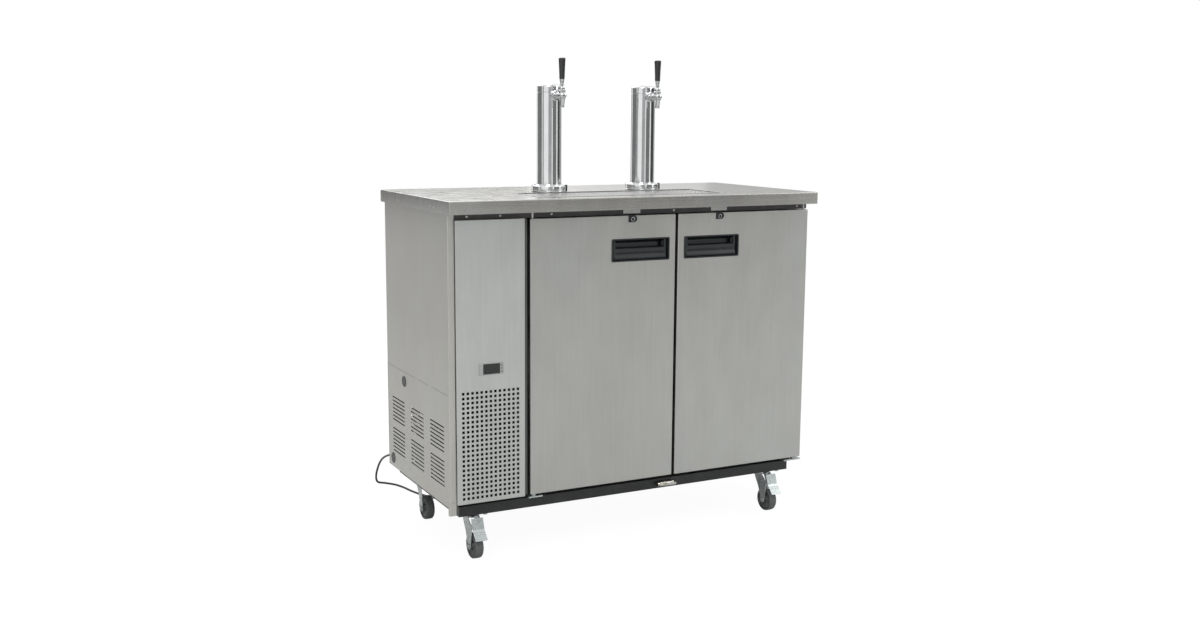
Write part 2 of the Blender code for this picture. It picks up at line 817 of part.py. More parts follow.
def base_frame():
    base = box(
        "base_frame",
        (BASE_LEFT, BASE_FRONT, CASTER_HEIGHT),
        (BASE_RIGHT, BASE_BACK, BASE_TOP),
        black("base_black"),
    )
    hollow = box(
        "base_space",
        (BASE_LEFT + BASE_SHEET, BASE_FRONT + BASE_SHEET, CASTER_HEIGHT - OVERRUN),
        (BASE_RIGHT - BASE_SHEET, BASE_BACK - BASE_SHEET, BASE_TOP - BASE_SHEET),
    )
    cut(base, hollow)


# Doors


def hinge_axis(sign):
    """The door's own hinge: at its outer edge, set in from the corner."""
    x = DOORS_LEFT + HINGE_INSET if sign < 0 else BODY_RIGHT - HINGE_INSET
    return Vector((x, FACE + HINGE_INSET, DOOR_BOTTOM))


def door_span(sign):
    if sign < 0:
        return DOORS_LEFT, DOORS_LEFT + DOOR_WIDTH
    return BODY_RIGHT - DOOR_WIDTH, BODY_RIGHT


def from_meeting(sign, distance):
    """A place on a door, measured from the edge where the doors meet."""
    left, right = door_span(sign)
    return right - distance if sign < 0 else left + distance


def lock_axis(sign):
    return Vector((from_meeting(sign, LOCK_INSET), FACE, DOOR_TOP - LOCK_DROP))


def handle_low(sign):
    x = from_meeting(sign, HANDLE_INSET)
    if sign < 0:
        x -= HANDLE_WIDTH
    return Vector((x, FACE, DOOR_TOP - HANDLE_DROP - HANDLE_HEIGHT))


def door(side, sign):
    left, right = door_span(sign)
    hinge = hinge_axis(sign)
    panel = box(
        f"door_{side}_panel",
        (left, FACE, DOOR_BOTTOM),
        (right, DOOR_BACK, DOOR_TOP),
        steel(f"door_{side}_steel"),
    )
    round_edges(panel, DOOR_ROUND)
    pivot(panel, hinge)

    low = handle_low(sign)
    rim = HANDLE_FLANGE - SEAT_GAP
    recess_low = low + Vector((rim, -OVERRUN, rim))
    recess_high = low + Vector((HANDLE_WIDTH - rim, HANDLE_DEPTH + SEAT_GAP, HANDLE_HEIGHT - rim))
    cut(panel, box(f"{side}_handle_recess", recess_low, recess_high))

    axis = lock_axis(sign)
    bore_start = (axis.x, FACE - OVERRUN, axis.z)
    depth = OVERRUN - LOCK_PROUD + LOCK_BODY + SEAT_GAP
    cut(panel, rod(f"{side}_lock_bore", bore_start, TO_Y, LOCK_RADIUS + SEAT_GAP, depth, sides=24))
    cam_front = lock_back(FACE)
    reach = CAM_LENGTH + CAM_CLEARANCE
    half = math.hypot(CAM_HALF_WIDTH, CAM_HALF_WIDTH) + CAM_CLEARANCE
    slot_low = Vector((axis.x - (reach if sign < 0 else half), cam_front - LOCK_NECK, axis.z - half))
    slot_high = Vector((
        axis.x + (half if sign < 0 else reach),
        cam_front + CAM_SHEET + CAM_CLEARANCE,
        DOOR_TOP + OVERRUN,
    ))
    cut(panel, box(f"{side}_cam_slot", slot_low, slot_high))

    below = (hinge.x, hinge.y, DOOR_BOTTOM - OVERRUN)
    cut(panel, rod(f"{side}_lower_pin_bore", below, TO_Z, PIN_BORE, PIN_ENGAGE + OVERRUN + RUN_GAP, sides=12))
    above = (hinge.x, hinge.y, DOOR_TOP - OVERRUN)
    length = OVERRUN + UNDERSIDE - DOOR_TOP + PIN_SEAT
    join(panel, rod(f"{side}_upper_pin", above, TO_Z, PIN_RADIUS, length, sides=12))

    gasket(side, left, right, hinge)
    handle(side, low, hinge)
    lock(side, sign, axis)


def gasket(side, left, right, hinge):
    """The door's seal: a soft frame that closes on the cabinet's front face."""
    low = Vector((left + GASKET_INSET, DOOR_BACK + SEAT_GAP, DOOR_BOTTOM + GASKET_INSET))
    high = Vector((right - GASKET_INSET, CABINET_FRONT - SEAT_GAP, DOOR_TOP - GASKET_INSET))
    rubber = finish(f"gasket_{side}_rubber", (0.05, 0.05, 0.05), 0.7)
    seal = box(f"door_{side}_gasket", low, high, rubber)
    band = Vector((GASKET_WIDTH, -OVERRUN, GASKET_WIDTH))
    cut(seal, box(f"{side}_gasket_space", low + band, high - band))
    pivot(seal, hinge)


def handle(side, low, hinge):
    """The pocket handle: a flanged cup let into the door's face."""
    face = FACE - SEAT_GAP
    flange = box(
        f"door_{side}_handle",
        (low.x, face - HANDLE_PROUD, low.z),
        (low.x + HANDLE_WIDTH, face, low.z + HANDLE_HEIGHT),
        finish(f"handle_{side}_plastic", (0.025, 0.026, 0.028), 0.4),
    )
    rim = HANDLE_FLANGE
    cup_low = Vector((low.x + rim, face - SEAT_GAP, low.z + rim))
    cup_high = Vector((low.x + HANDLE_WIDTH - rim, FACE + HANDLE_DEPTH, low.z + HANDLE_HEIGHT - rim))
    join(flange, box(f"{side}_cup", cup_low, cup_high))
    wall = Vector((HANDLE_WALL, 0, HANDLE_WALL))
    pocket = box(
        f"{side}_pocket",
        cup_low + wall - Vector((0, HANDLE_PROUD + OVERRUN, 0)),
        cup_high - wall - Vector((0, HANDLE_WALL, 0)),
    )
    round_edges(pocket, HANDLE_ROUND)
    cut(flange, pocket)
    pivot(flange, hinge)


def lock(side, sign, axis):
    """The turning barrel with its cam, which points along the door and turns up into the strike."""
    start = (axis.x, FACE - LOCK_PROUD, axis.z)
    barrel = rod(
        f"door_{side}_lock", start, TO_Y, LOCK_RADIUS, LOCK_BODY, black(f"lock_{side}_black")
    )
    neck = (axis.x, FACE - LOCK_PROUD + LOCK_BODY - OVERRUN, axis.z)
    neck_length = OVERRUN + LOCK_NECK + CAM_SHEET
    cam_front = lock_back(FACE)
    tip = axis.x + sign * CAM_LENGTH
    heel = axis.x - sign * CAM_HALF_WIDTH
    cam = box(
        f"{side}_cam",
        (min(tip, heel), cam_front, axis.z - CAM_HALF_WIDTH),
        (max(tip, heel), cam_front + CAM_SHEET - SEAT_GAP, axis.z + CAM_HALF_WIDTH),
    )
    join(barrel, rod(f"{side}_lock_neck", neck, TO_Y, LOCK_NECK_RADIUS, neck_length, sides=12), cam)


def hinge_bracket(side, sign):
    """The lower hinge: a plate on the base, with a thrust washer and a pin up into the door."""
    hinge = hinge_axis(sign)
    outer = hinge.x + sign * BRACKET_OUTER
    inner = hinge.x - sign * (BRACKET_INNER if sign < 0 else BRACKET_TAIL)
    plate_top = CABINET_BOTTOM + BRACKET_SHEET
    plate = box(
        f"hinge_bracket_{side}",
        (min(outer, inner), FACE + BRACKET_SETBACK, CABINET_BOTTOM),
        (max(outer, inner), CABINET_FRONT - SEAT_GAP, plate_top),
        zinc(f"bracket_{side}_zinc"),
    )
    start = (hinge.x, hinge.y, plate_top - BRACKET_SHEET / 2)
    washer = DOOR_BOTTOM - SEAT_GAP - start[2]
    pin = DOOR_BOTTOM + PIN_ENGAGE - start[2] - SEAT_GAP
    join(
        plate,
        rod(f"{side}_thrust_washer", start, TO_Z, THRUST_RADIUS, washer, sides=16),
        rod(f"{side}_lower_pin", start, TO_Z, PIN_RADIUS, pin, sides=12),
    )


# Counter


def counter_top():
    slab = box(
        "counter_top",
        (LEFT, FRONT, UNDERSIDE),
        (-LEFT, -FRONT, COUNTER_HEIGHT),
        steel("counter_steel"),
    )
    round_edges(slab, COUNTER_ROUND)
    recess = box(
        "tray_recess",
        (-TRAY_WIDTH / 2, TRAY_FRONT, COUNTER_HEIGHT - TRAY_DEPTH),
        (TRAY_WIDTH / 2, TRAY_FRONT + TRAY_LENGTH, COUNTER_HEIGHT + OVERRUN),
    )
    start = (0, TRAY_FRONT + TRAY_LENGTH / 2, UNDERSIDE - OVERRUN)
    drain = rod("counter_drain", start, TO_Z, TRAY_DRAIN_RADIUS + SEAT_GAP, COUNTER_EDGE, sides=16)
    cut(slab, recess, drain)
    for side, sign in SIDES:
        at = (sign * TOWER_SPREAD / 2, TOWER_Y, UNDERSIDE - OVERRUN)
        bore = rod(f"{side}_counter_bore", at, TO_Z, TOWER_BORE, COUNTER_EDGE + OVERRUN * 2)
        hinge = hinge_axis(sign)
        start = (hinge.x, hinge.y, UNDERSIDE - OVERRUN)
        pin_length = OVERRUN + PIN_SEAT + RUN_GAP
        cut(slab, bore, rod(f"{side}_hinge_bore", start, TO_Z, PIN_BORE, pin_length, sides=12))


def tray_box(inset, floor_gap):
    """The tray's own space in the counter, drawn in by an inset on each side."""
    low = Vector((
        -TRAY_WIDTH / 2 + inset,
        TRAY_FRONT + inset,
        COUNTER_HEIGHT - TRAY_DEPTH + floor_gap,
    ))
    high = Vector((TRAY_WIDTH / 2 - inset, TRAY_FRONT + TRAY_LENGTH - inset, COUNTER_HEIGHT))
    return low, high


def drip_tray():
    low, high = tray_box(SEAT_GAP, SEAT_GAP)
    tray = box("drip_tray", low, high, steel("tray_steel"))
    inner_low, inner_high = tray_box(SEAT_GAP + TRAY_SHEET, SEAT_GAP + TRAY_SHEET)
    cut(tray, box("tray_space", inner_low, inner_high + Vector((0, 0, OVERRUN))))
    middle = TRAY_FRONT + TRAY_LENGTH / 2
    start = (0, middle, UNDERSIDE)
    length = inner_low.z - UNDERSIDE - TRAY_SHEET / 2
    join(tray, rod("drain_stub", start, TO_Z, TRAY_DRAIN_RADIUS, length, sides=16))
    bore = TRAY_DRAIN_RADIUS - TRAY_DRAIN_WALL
    cut(tray, rod("drain_bore", (0, middle, UNDERSIDE - OVERRUN), TO_Z, bore, TRAY_DEPTH + OVERRUN))


def drip_grate():
    """The lift-out grate: a slotted sheet whose folded sides stand on the tray's floor."""
    low, high = tray_box(SEAT_GAP * 2 + TRAY_SHEET, SEAT_GAP * 2 + TRAY_SHEET)
    high.z -= GRATE_SINK
    grate = box("drip_grate", low, high, steel("grate_steel"))
    wall = Vector((TRAY_SHEET, TRAY_SHEET, TRAY_SHEET))
    cut(grate, box("grate_space", low + wall - Vector((0, 0, TRAY_SHEET + OVERRUN)), high - wall))
    middle = TRAY_FRONT + TRAY_LENGTH / 2
    bars = GRATE_BAR * (GRATE_SLOT_COLUMNS - 1)
    width = (TRAY_WIDTH - GRATE_BORDER * 2 - bars) / GRATE_SLOT_COLUMNS
    cross_bars = GRATE_CROSS_BAR * (GRATE_SLOT_ROWS - 1)
    length = (TRAY_LENGTH - GRATE_CROSS_BORDER * 2 - cross_bars) / GRATE_SLOT_ROWS
    places = [
        (
            (column - (GRATE_SLOT_COLUMNS - 1) / 2) * (width + GRATE_BAR),
            middle + (row - (GRATE_SLOT_ROWS - 1) / 2) * (length + GRATE_CROSS_BAR),
            high.z,
        )
        for column in range(GRATE_SLOT_COLUMNS)
        for row in range(GRATE_SLOT_ROWS)
    ]
    slot = (width, length, TRAY_SHEET * 2 + OVERRUN)
    cut(grate, boxes("grate_slots", places, slot))
    pivot(grate, (0, middle, low.z))


# Towers and taps


def tower(side, sign):
    x = sign * TOWER_SPREAD / 2
    foot = (x, TOWER_Y, COUNTER_HEIGHT)
    inner = TOWER_RADIUS - TOWER_WALL
    column = turned(
        f"tower_{side}_column",
        [
            (TOWER_RADIUS, TOWER_HEIGHT),
            (TOWER_RADIUS, FOOT_HEIGHT),
            (TOWER_RADIUS + FOOT_SHOULDER / 2, FOOT_HEIGHT - SHEET),
            (FOOT_RADIUS - FOOT_SHOULDER / 2, FOOT_RIM + SHEET),
            (FOOT_RADIUS, FOOT_RIM),
            (FOOT_RADIUS, SEAT_GAP),
            (inner, SEAT_GAP),
            (inner, TOWER_HEIGHT),
        ],
        foot,
        TO_Z,
        chrome(f"tower_{side}_steel"),
        steps=24,
        ring=True,
    )
    hole_start = (x, TOWER_Y, TAP_Z)
    back = Matrix.Rotation(QUARTER, 4, "X")
    hole = rod(f"{side}_shank_hole", hole_start, back, SHANK_RADIUS + SEAT_GAP, TOWER_RADIUS + OVERRUN)
    cut(column, hole)

    base = TOWER_HEIGHT + SEAT_GAP
    top = base + CAP_BAND + CAP_DOME
    turned(
        f"tower_{side}_cap",
        [
            (0, top),
            (TOWER_RADIUS / 2, top - CAP_DOME / 4),
            (TOWER_RADIUS, base + CAP_BAND),
            (TOWER_RADIUS, base),
            (inner - SEAT_GAP, base),
            (inner - SEAT_GAP, base - CAP_LIP),
            (0, base - CAP_LIP),
        ],
        foot,
        TO_Z,
        chrome(f"cap_{side}_steel"),
        steps=24,
    )
    faucet(side, x)
    tap_handle(side, x)
    plunger(side, x)
    beer_line(side, x)


def faucet(side, x):
    """Shank, collar, coupling nut and body of one tap, bored for its plunger and its spout."""
    forward = Matrix.Rotation(QUARTER, 4, "X")

    def ahead(distance, rise=0.0):
        return Vector((x, TOWER_Y - distance, TAP_Z + rise))

    nose = TAP_REACH + BARREL_NOSE
    shank = rod(
        f"tower_{side}_faucet",
        ahead(SHANK_TAIL),
        forward,
        SHANK_RADIUS,
        nose - SHANK_TAIL - BARREL_NOSE,
        chrome(f"faucet_{side}_chrome"),
        sides=16,
    )
    collar_at = TOWER_RADIUS + SEAT_GAP
    nut_at = collar_at + COLLAR_LENGTH - RUN_GAP
    barrel_at = nut_at + NUT_LENGTH - RUN_GAP
    join(
        shank,
        rod(f"{side}_collar", ahead(collar_at), forward, COLLAR_RADIUS, COLLAR_LENGTH),
        rod(f"{side}_nut", ahead(nut_at), forward, NUT_RADIUS, NUT_LENGTH, sides=6),
        turned(
            f"{side}_barrel",
            [
                (0, nose),
                (BARREL_RADIUS - CAP_STEP * 2, nose),
                (BARREL_RADIUS, nose - CAP_STEP * 2),
                (BARREL_RADIUS, barrel_at),
                (0, barrel_at),
            ],
            ahead(0),
            forward,
            steps=16,
        ),
        turned(
            f"{side}_bonnet",
            [
                (0, BONNET_RISE),
                (BONNET_TOP_RADIUS, BONNET_RISE),
                (BONNET_RADIUS, BONNET_RISE - BONNET_CHAMFER),
                (BONNET_RADIUS, 0),
                (0, 0),
            ],
            ahead(TAP_REACH),
            TO_Z,
            steps=16,
        ),
    )
    tip = ahead(TAP_REACH, -SPOUT_DROP)
    root = ahead(TAP_REACH + SPOUT_LEAN)
    run = root - tip
    lean = run.to_track_quat("Z", "Y").to_matrix().to_4x4()
    spout = rod(
        f"{side}_spout", tip, lean, SPOUT_TIP_RADIUS, run.length, sides=16, top_radius=SPOUT_RADIUS
    )
    join(shank, spout)

    bore_back = SHANK_TAIL - OVERRUN
    bore = TAP_REACH + PLUNGER_FRONT + RUN_GAP - bore_back
    cut(shank, rod(f"{side}_tap_bore", ahead(bore_back), forward, TAP_BORE, bore, sides=16))
    below = tip - run.normalized() * OVERRUN
    cut(shank, rod(f"{side}_spout_bore", below, lean, SPOUT_BORE, run.length, sides=12))

    throw = math.tan(TAP_SWING)
    up = BONNET_RISE - PIVOT_RISE + OVERRUN
    down = PIVOT_RISE - TAP_BORE / 2
    half = PIVOT_BALL + LEVER_PLAY
    low_half = LEVER_BALL + LEVER_PLAY * 2
    stem_half = LEVER_STEM / math.cos(TAP_SWING) + RUN_GAP
    swing = [
        (-stem_half - up * throw, up),
        (half, up),
        (half, 0),
        (down * throw + low_half, -down),
        (-low_half, -down),
        (-half, 0),
    ]
    slot = flat(f"{side}_lever_slot", swing, half * 2, side_view(ahead(TAP_REACH, PIVOT_RISE)))
    cut(shank, slot)


def tap_handle(side, x):
    """The lever with its pivot ball, chrome ferrule and black knob, turned in one piece."""
    knob_top = KNOB_LOW + KNOB_LENGTH
    profile = [
        (0, knob_top),
        (KNOB_TOP_RADIUS - KNOB_ROUND, knob_top),
        (KNOB_TOP_RADIUS, knob_top - KNOB_ROUND),
        (KNOB_LOW_RADIUS, KNOB_LOW),
        (FERRULE_TOP_RADIUS, KNOB_LOW - SEAT_GAP),
        (FERRULE_WAIST, (KNOB_LOW + FERRULE_LOW) / 2),
        (LEVER_COLLAR_RADIUS, FERRULE_LOW),
        (LEVER_COLLAR_RADIUS, LEVER_COLLAR_LOW),
        (LEVER_STEM, LEVER_COLLAR_LOW - LEVER_PLAY),
        (LEVER_STEM, LEVER_STEM),
        (PIVOT_BALL, 0),
        (LEVER_STEM, -LEVER_STEM),
        (LEVER_THIN, -PIVOT_RISE + LEVER_BALL * 2),
        (LEVER_THIN, -PIVOT_RISE + LEVER_THIN),
        (LEVER_BALL, -PIVOT_RISE),
        (LEVER_THIN, -PIVOT_RISE - LEVER_THIN),
        (0, -PIVOT_RISE - LEVER_BALL),
    ]
    at = (x, TOWER_Y - TAP_REACH, TAP_Z + PIVOT_RISE)
    turned(f"tower_{side}_handle", profile, at, TO_Z, black(f"knob_{side}_black"), steps=16)


def plunger(side, x):
    """The valve rod in the barrel; the lever's ball sits in its notch and pushes it back."""
    start = (x, TOWER_Y - TAP_REACH - PLUNGER_FRONT, TAP_Z)
    length = PLUNGER_FRONT + PLUNGER_BACK
    brass = finish(f"plunger_{side}_brass", (0.60, 0.45, 0.20), 0.3, 1.0)
    rod_piece = rod(
        f"tower_{side}_plunger", start, TO_Y, PLUNGER_RADIUS, length, brass, sides=16
    )
    half = LEVER_BALL + BALL_PLAY
    centre = Vector((x, TOWER_Y - TAP_REACH, TAP_Z))
    low = centre - Vector((PLUNGER_RADIUS + OVERRUN, half, half))
    high = centre + Vector((PLUNGER_RADIUS + OVERRUN, half, PLUNGER_RADIUS + OVERRUN))
    cut(rod_piece, box(f"{side}_ball_notch", low, high))


def beer_line(side, x):
    """The hose from the shank's tail down the tower, with the nut that takes a keg coupler."""
    bend_steps = 6
    start_y = TOWER_Y - SHANK_TAIL + SEAT_GAP
    points = [(x, start_y, TAP_Z)]
    for step in range(bend_steps + 1):
        angle = step / bend_steps * QUARTER
        y = start_y + LINE_RADIUS + math.sin(angle) * LINE_BEND
        points.append((x, y, TAP_Z - (1 - math.cos(angle)) * LINE_BEND))
    end = CAVITY_HIGH.z - LINE_DROP
    points.append((x, points[-1][1], end))
    hose = finish(f"line_{side}_hose", (0.75, 0.76, 0.74), 0.3)
    line = as_mesh(tube(f"tower_{side}_beer_line", points, LINE_RADIUS, hose))
    nut_at = (x, points[-1][1], end - LINE_NUT / 2)
    join(line, rod(f"{side}_line_nut", nut_at, TO_Z, LINE_NUT_RADIUS, LINE_NUT, sides=6))


# Casters


def caster_places():
    for side, x in (
        ("left", BASE_LEFT + CASTER_LEFT_INSET),
        ("right", BASE_RIGHT - CASTER_LEFT_INSET),
    ):
        for end, y in (
            ("front", BASE_FRONT + CASTER_FRONT_INSET),
            ("rear", BASE_BACK - CASTER_BACK_INSET),
        ):
            yield side, end, Vector((x, y, 0))


def caster_rails():
    """A channel under each end of the base, with the two caster plates and their raceways."""
    front = BASE_FRONT + BASE_SHEET + SEAT_GAP
    back = BASE_BACK - BASE_SHEET - SEAT_GAP
    rails = {}
    for side, end, at in caster_places():
        if side not in rails:
            rails[side] = box(
                f"caster_rail_{side}",
                (at.x - RAIL_BAR_WIDTH / 2, front, CASTER_HEIGHT),
                (at.x + RAIL_BAR_WIDTH / 2, back, BASE_TOP - BASE_SHEET - SEAT_GAP),
                zinc(f"caster_{side}_zinc"),
            )
        rail = rails[side]
        plate = box(
            f"{end}_{side}_plate",
            (at.x - PLATE_WIDTH / 2, at.y - PLATE_LENGTH / 2, CASTER_HEIGHT - PLATE_SHEET),
            (at.x + PLATE_WIDTH / 2, at.y + PLATE_LENGTH / 2, CASTER_HEIGHT + SHEET),
        )
        raceway_low = Vector((at.x, at.y, CASTER_HEIGHT - PLATE_SHEET - RACEWAY))
        raceway = rod(
            f"{end}_{side}_raceway",
            raceway_low,
            TO_Z,
            RACEWAY_RADIUS,
            RACEWAY + PLATE_SHEET,
            sides=16,
        )
        join(rail, plate, raceway)
        below = raceway_low - Vector((0, 0, OVERRUN))
        bore_length = OVERRUN + KINGPIN + RUN_GAP
        bore_radius = KINGPIN_RADIUS + SEAT_GAP
        cut(rail, rod(f"{end}_{side}_kingpin_bore", below, TO_Z, bore_radius, bore_length, sides=12))


def fork(side, end, at):
    """The swivelling fork, with its axle bolt; front forks also carry the brake pedal's pin."""
    wheel_y = -CASTER_TRAIL
    leg_top = FORK_TOP
    eye = []
    eye_steps = 4
    for step in range(eye_steps + 1):
        angle = math.pi + step / eye_steps * math.pi
        y = wheel_y + math.cos(angle) * FORK_EYE_RADIUS
        eye.append((y, AXLE_Z + math.sin(angle) * FORK_EYE_RADIUS))
    leg = [(-FORK_TOP_HALF, leg_top), *eye, (FORK_TOP_HALF, leg_top)]
    if end == "front":
        pin_y = -PEDAL_PIVOT_FORWARD
        pin_z = AXLE_Z + PEDAL_PIVOT_RISE
        leg.insert(1, (pin_y - PEDAL_EYE_RADIUS, pin_z + PEDAL_EYE_RADIUS))
        leg.insert(2, (pin_y - PEDAL_EYE_RADIUS, pin_z - PEDAL_EYE_RADIUS))
    inside = WHEEL_HUB_WIDTH / 2 + RUN_GAP
    crown = rod(
        f"caster_{end}_{side}_fork",
        (at.x, at.y, FORK_TOP - FORK_CROWN),
        TO_Z,
        FORK_CROWN_RADIUS,
        FORK_CROWN,
        zinc(f"fork_{end}_{side}_zinc"),
        sides=16,
    )
    kingpin_low = (at.x, at.y, FORK_TOP - FORK_CROWN / 2)
    kingpin_length = FORK_CROWN / 2 + KINGPIN
    join(crown, rod(f"{end}_{side}_kingpin", kingpin_low, TO_Z, KINGPIN_RADIUS, kingpin_length, sides=12))
    for sign in (-1, 1):
        place = side_view((at.x + sign * (inside + FORK_SHEET / 2), at.y, 0))
        join(crown, flat(f"{end}_{side}_leg_{sign}", leg, FORK_SHEET, place))
    bolt_half = inside + FORK_SHEET + AXLE_END
    axle = (at.x - bolt_half, at.y + wheel_y, AXLE_Z)
    join(crown, rod(f"{end}_{side}_axle", axle, TO_X, AXLE_RADIUS, bolt_half * 2, sides=12))
    if end == "front":
        pin_half = inside + FORK_SHEET / 2
        pin = (at.x - pin_half, at.y + pin_y, pin_z)
        join(crown, rod(f"{end}_{side}_pedal_pin", pin, TO_X, PEDAL_PIN_RADIUS, pin_half * 2, sides=12))


def wheel(side, end, at):
    bore = AXLE_RADIUS + SEAT_GAP
    half, hub, web = WHEEL_WIDTH / 2, WHEEL_HUB_WIDTH / 2, WHEEL_WEB_WIDTH / 2
    upper = [
        (bore, hub),
        (WHEEL_HUB_RADIUS, hub),
        (WHEEL_HUB_RADIUS, web),
        (WHEEL_RADIUS - WHEEL_CROWN, half),
        (WHEEL_RADIUS, half - WHEEL_CROWN),
    ]
    lower = [(r, -h) for r, h in reversed(upper)]
    turned(
        f"caster_{end}_{side}_wheel",
        upper + lower,
        (at.x, at.y - CASTER_TRAIL, AXLE_Z),
        TO_X @ Matrix.Rotation(math.pi / WHEEL_STEPS, 4, "Z"),
        finish(f"wheel_{end}_{side}_rubber", (0.06, 0.065, 0.07), 0.6),
        steps=WHEEL_STEPS,
        ring=True,
    )


def pedal(side, at):
    """The brake pedal: a bent plate in front of the wheel, with a cam that turns onto the tread."""
    pivot_point = (at.x, at.y - PEDAL_PIVOT_FORWARD, AXLE_Z + PEDAL_PIVOT_RISE)
    thick = PEDAL_SHEET
    strip = [
        (PEDAL_RADIUS * 2, PEDAL_TOP),
        (-PEDAL_KNEE_FORWARD, -PEDAL_KNEE_DROP + PEDAL_TOP / 2),
        (-PEDAL_TIP_FORWARD, -PEDAL_TIP_DROP),
        (-PEDAL_TIP_FORWARD - thick, -PEDAL_TIP_DROP),
        (-PEDAL_KNEE_FORWARD - thick, -PEDAL_KNEE_DROP + PEDAL_TOP / 2 + thick),
        (PEDAL_RADIUS * 2, PEDAL_TOP + thick),
    ]
    plate = flat(
        f"caster_front_{side}_pedal",
        strip,
        PEDAL_WIDTH,
        side_view(pivot_point),
        zinc(f"pedal_{side}_zinc"),
    )
    to_wheel = Vector((PEDAL_PIVOT_FORWARD - CASTER_TRAIL, -PEDAL_PIVOT_RISE))
    aim = math.atan2(to_wheel.y, to_wheel.x) - PEDAL_SWING
    along = Vector((math.cos(aim), math.sin(aim)))
    across = Vector((-along.y, along.x)) * PEDAL_CAM_HALF
    tip = along * PEDAL_CAM
    web = [
        tuple(across),
        tuple(-across),
        tuple(tip - across),
        tuple(tip + across),
    ]
    cam = flat(f"{side}_pedal_cam", web, PEDAL_ARM_WIDTH, side_view(pivot_point))
    rib = [
        (PEDAL_RADIUS, 0),
        (PEDAL_RADIUS, PEDAL_TOP - thick),
        (-PEDAL_RADIUS, PEDAL_TOP / 2),
        (-PEDAL_KNEE_FORWARD, -PEDAL_KNEE_DROP + PEDAL_TOP / 2 + thick / 2),
        (-PEDAL_RADIUS, 0),
    ]
    web_plate = flat(f"{side}_pedal_rib", rib, PEDAL_ARM_WIDTH, side_view(pivot_point))
    start = Vector(pivot_point) - Vector((PEDAL_ARM_WIDTH / 2, 0, 0))
    barrel = rod(f"{side}_pedal_barrel", start, TO_X, PEDAL_RADIUS + thick, PEDAL_ARM_WIDTH, sides=16)
    join(plate, web_plate, cam, barrel)
    before = start - Vector((PEDAL_WIDTH / 2, 0, 0))
    bore = PEDAL_PIN_RADIUS + SEAT_GAP
    cut(plate, rod(f"{side}_pedal_bore", before, TO_X, bore, PEDAL_WIDTH + PEDAL_ARM_WIDTH, sides=12))
    pivot(plate, pivot_point)


# Drain valve


def drain_valve():
    x = MEETING - VALVE_SHIFT
    z = CASTER_HEIGHT + BASE_HEIGHT / 2
    forward = Matrix.Rotation(QUARTER, 4, "X")
    front = BASE_FRONT - SEAT_GAP
    centre_y = front - VALVE_STUB
    body = rod(
        "drain_valve",
        (x - VALVE_HALF_LENGTH, centre_y, z),
        TO_X,
        VALVE_RADIUS,
        VALVE_HALF_LENGTH * 2,
        finish("valve_nickel", (0.62, 0.60, 0.52), 0.3, 1.0),
    )
    stub = rod("valve_stub", (x, front, z), forward, VALVE_STUB_RADIUS, VALVE_STUB, sides=16)
    outlet_at = (x - VALVE_HALF_LENGTH - OVERRUN, centre_y, z)
    outlet = rod("valve_outlet", outlet_at, TO_X, VALVE_OUTLET_RADIUS, VALVE_HALF_LENGTH, sides=16)
    stem_at = (x, centre_y - VALVE_RADIUS + OVERRUN, z)
    stem = rod("valve_stem", stem_at, forward, VALVE_STEM_RADIUS, VALVE_STEM + OVERRUN, sides=12)
    join(body, stub, stem)
    cut(body, outlet)

    lever_back = centre_y - VALVE_RADIUS - VALVE_STEM + VALVE_LEVER_SHEET - SEAT_GAP
    lever = box(
        "drain_lever",
        (x - VALVE_LEVER_BACK, lever_back - VALVE_LEVER_SHEET, z - VALVE_LEVER_HALF),
        (x + VALVE_LEVER_LENGTH, lever_back, z + VALVE_LEVER_HALF),
        finish("lever_steel", (0.7, 0.7, 0.68), 0.3, 1.0),
    )
    pivot(lever, (x, lever_back, z))
    hole_at = (x, lever_back + OVERRUN, z)
    hole_length = VALVE_LEVER_SHEET + OVERRUN * 2
    cut(lever, rod("lever_eye", hole_at, forward, VALVE_STEM_RADIUS + SEAT_GAP, hole_length, sides=12))


# Refrigeration


def compressor():
    x = (BODY_LEFT + CABINET_LEFT) / 2
    y = BODY_BACK - COMPRESSOR_BACK_INSET
    plate_top = CABINET_BOTTOM + COMPRESSOR_PLATE
    body = turned(
        "compressor",
        [
            (0, COMPRESSOR_HEIGHT),
            (COMPRESSOR_RADIUS / 2, COMPRESSOR_HEIGHT - COMPRESSOR_DOME / 6),
            (COMPRESSOR_RADIUS - COMPRESSOR_DOME / 3, COMPRESSOR_HEIGHT - COMPRESSOR_DOME / 2),
            (COMPRESSOR_RADIUS, COMPRESSOR_HEIGHT - COMPRESSOR_DOME),
            (COMPRESSOR_RADIUS, COMPRESSOR_DOME),
            (COMPRESSOR_RADIUS - COMPRESSOR_DOME / 3, COMPRESSOR_PLATE / 2),
            (0, COMPRESSOR_PLATE / 2),
        ],
        (x, y, CABINET_BOTTOM),
        TO_Z,
        black("compressor_black"),
        steps=16,
    )
    plate = box(
        "compressor_plate",
        (x - COMPRESSOR_PLATE_HALF_WIDTH, y - COMPRESSOR_PLATE_HALF_LENGTH, CABINET_BOTTOM),
        (x + COMPRESSOR_PLATE_HALF_WIDTH, y + COMPRESSOR_PLATE_HALF_LENGTH, plate_top),
    )
    front = y - COMPRESSOR_RADIUS
    low = Vector((x - TERMINAL_BOX / 2, front - TERMINAL_BOX / 2, plate_top + TERMINAL_BOX))
    terminals = box("terminal_box", low, low + Vector((TERMINAL_BOX, TERMINAL_BOX, TERMINAL_BOX)))
    join(body, plate, terminals)


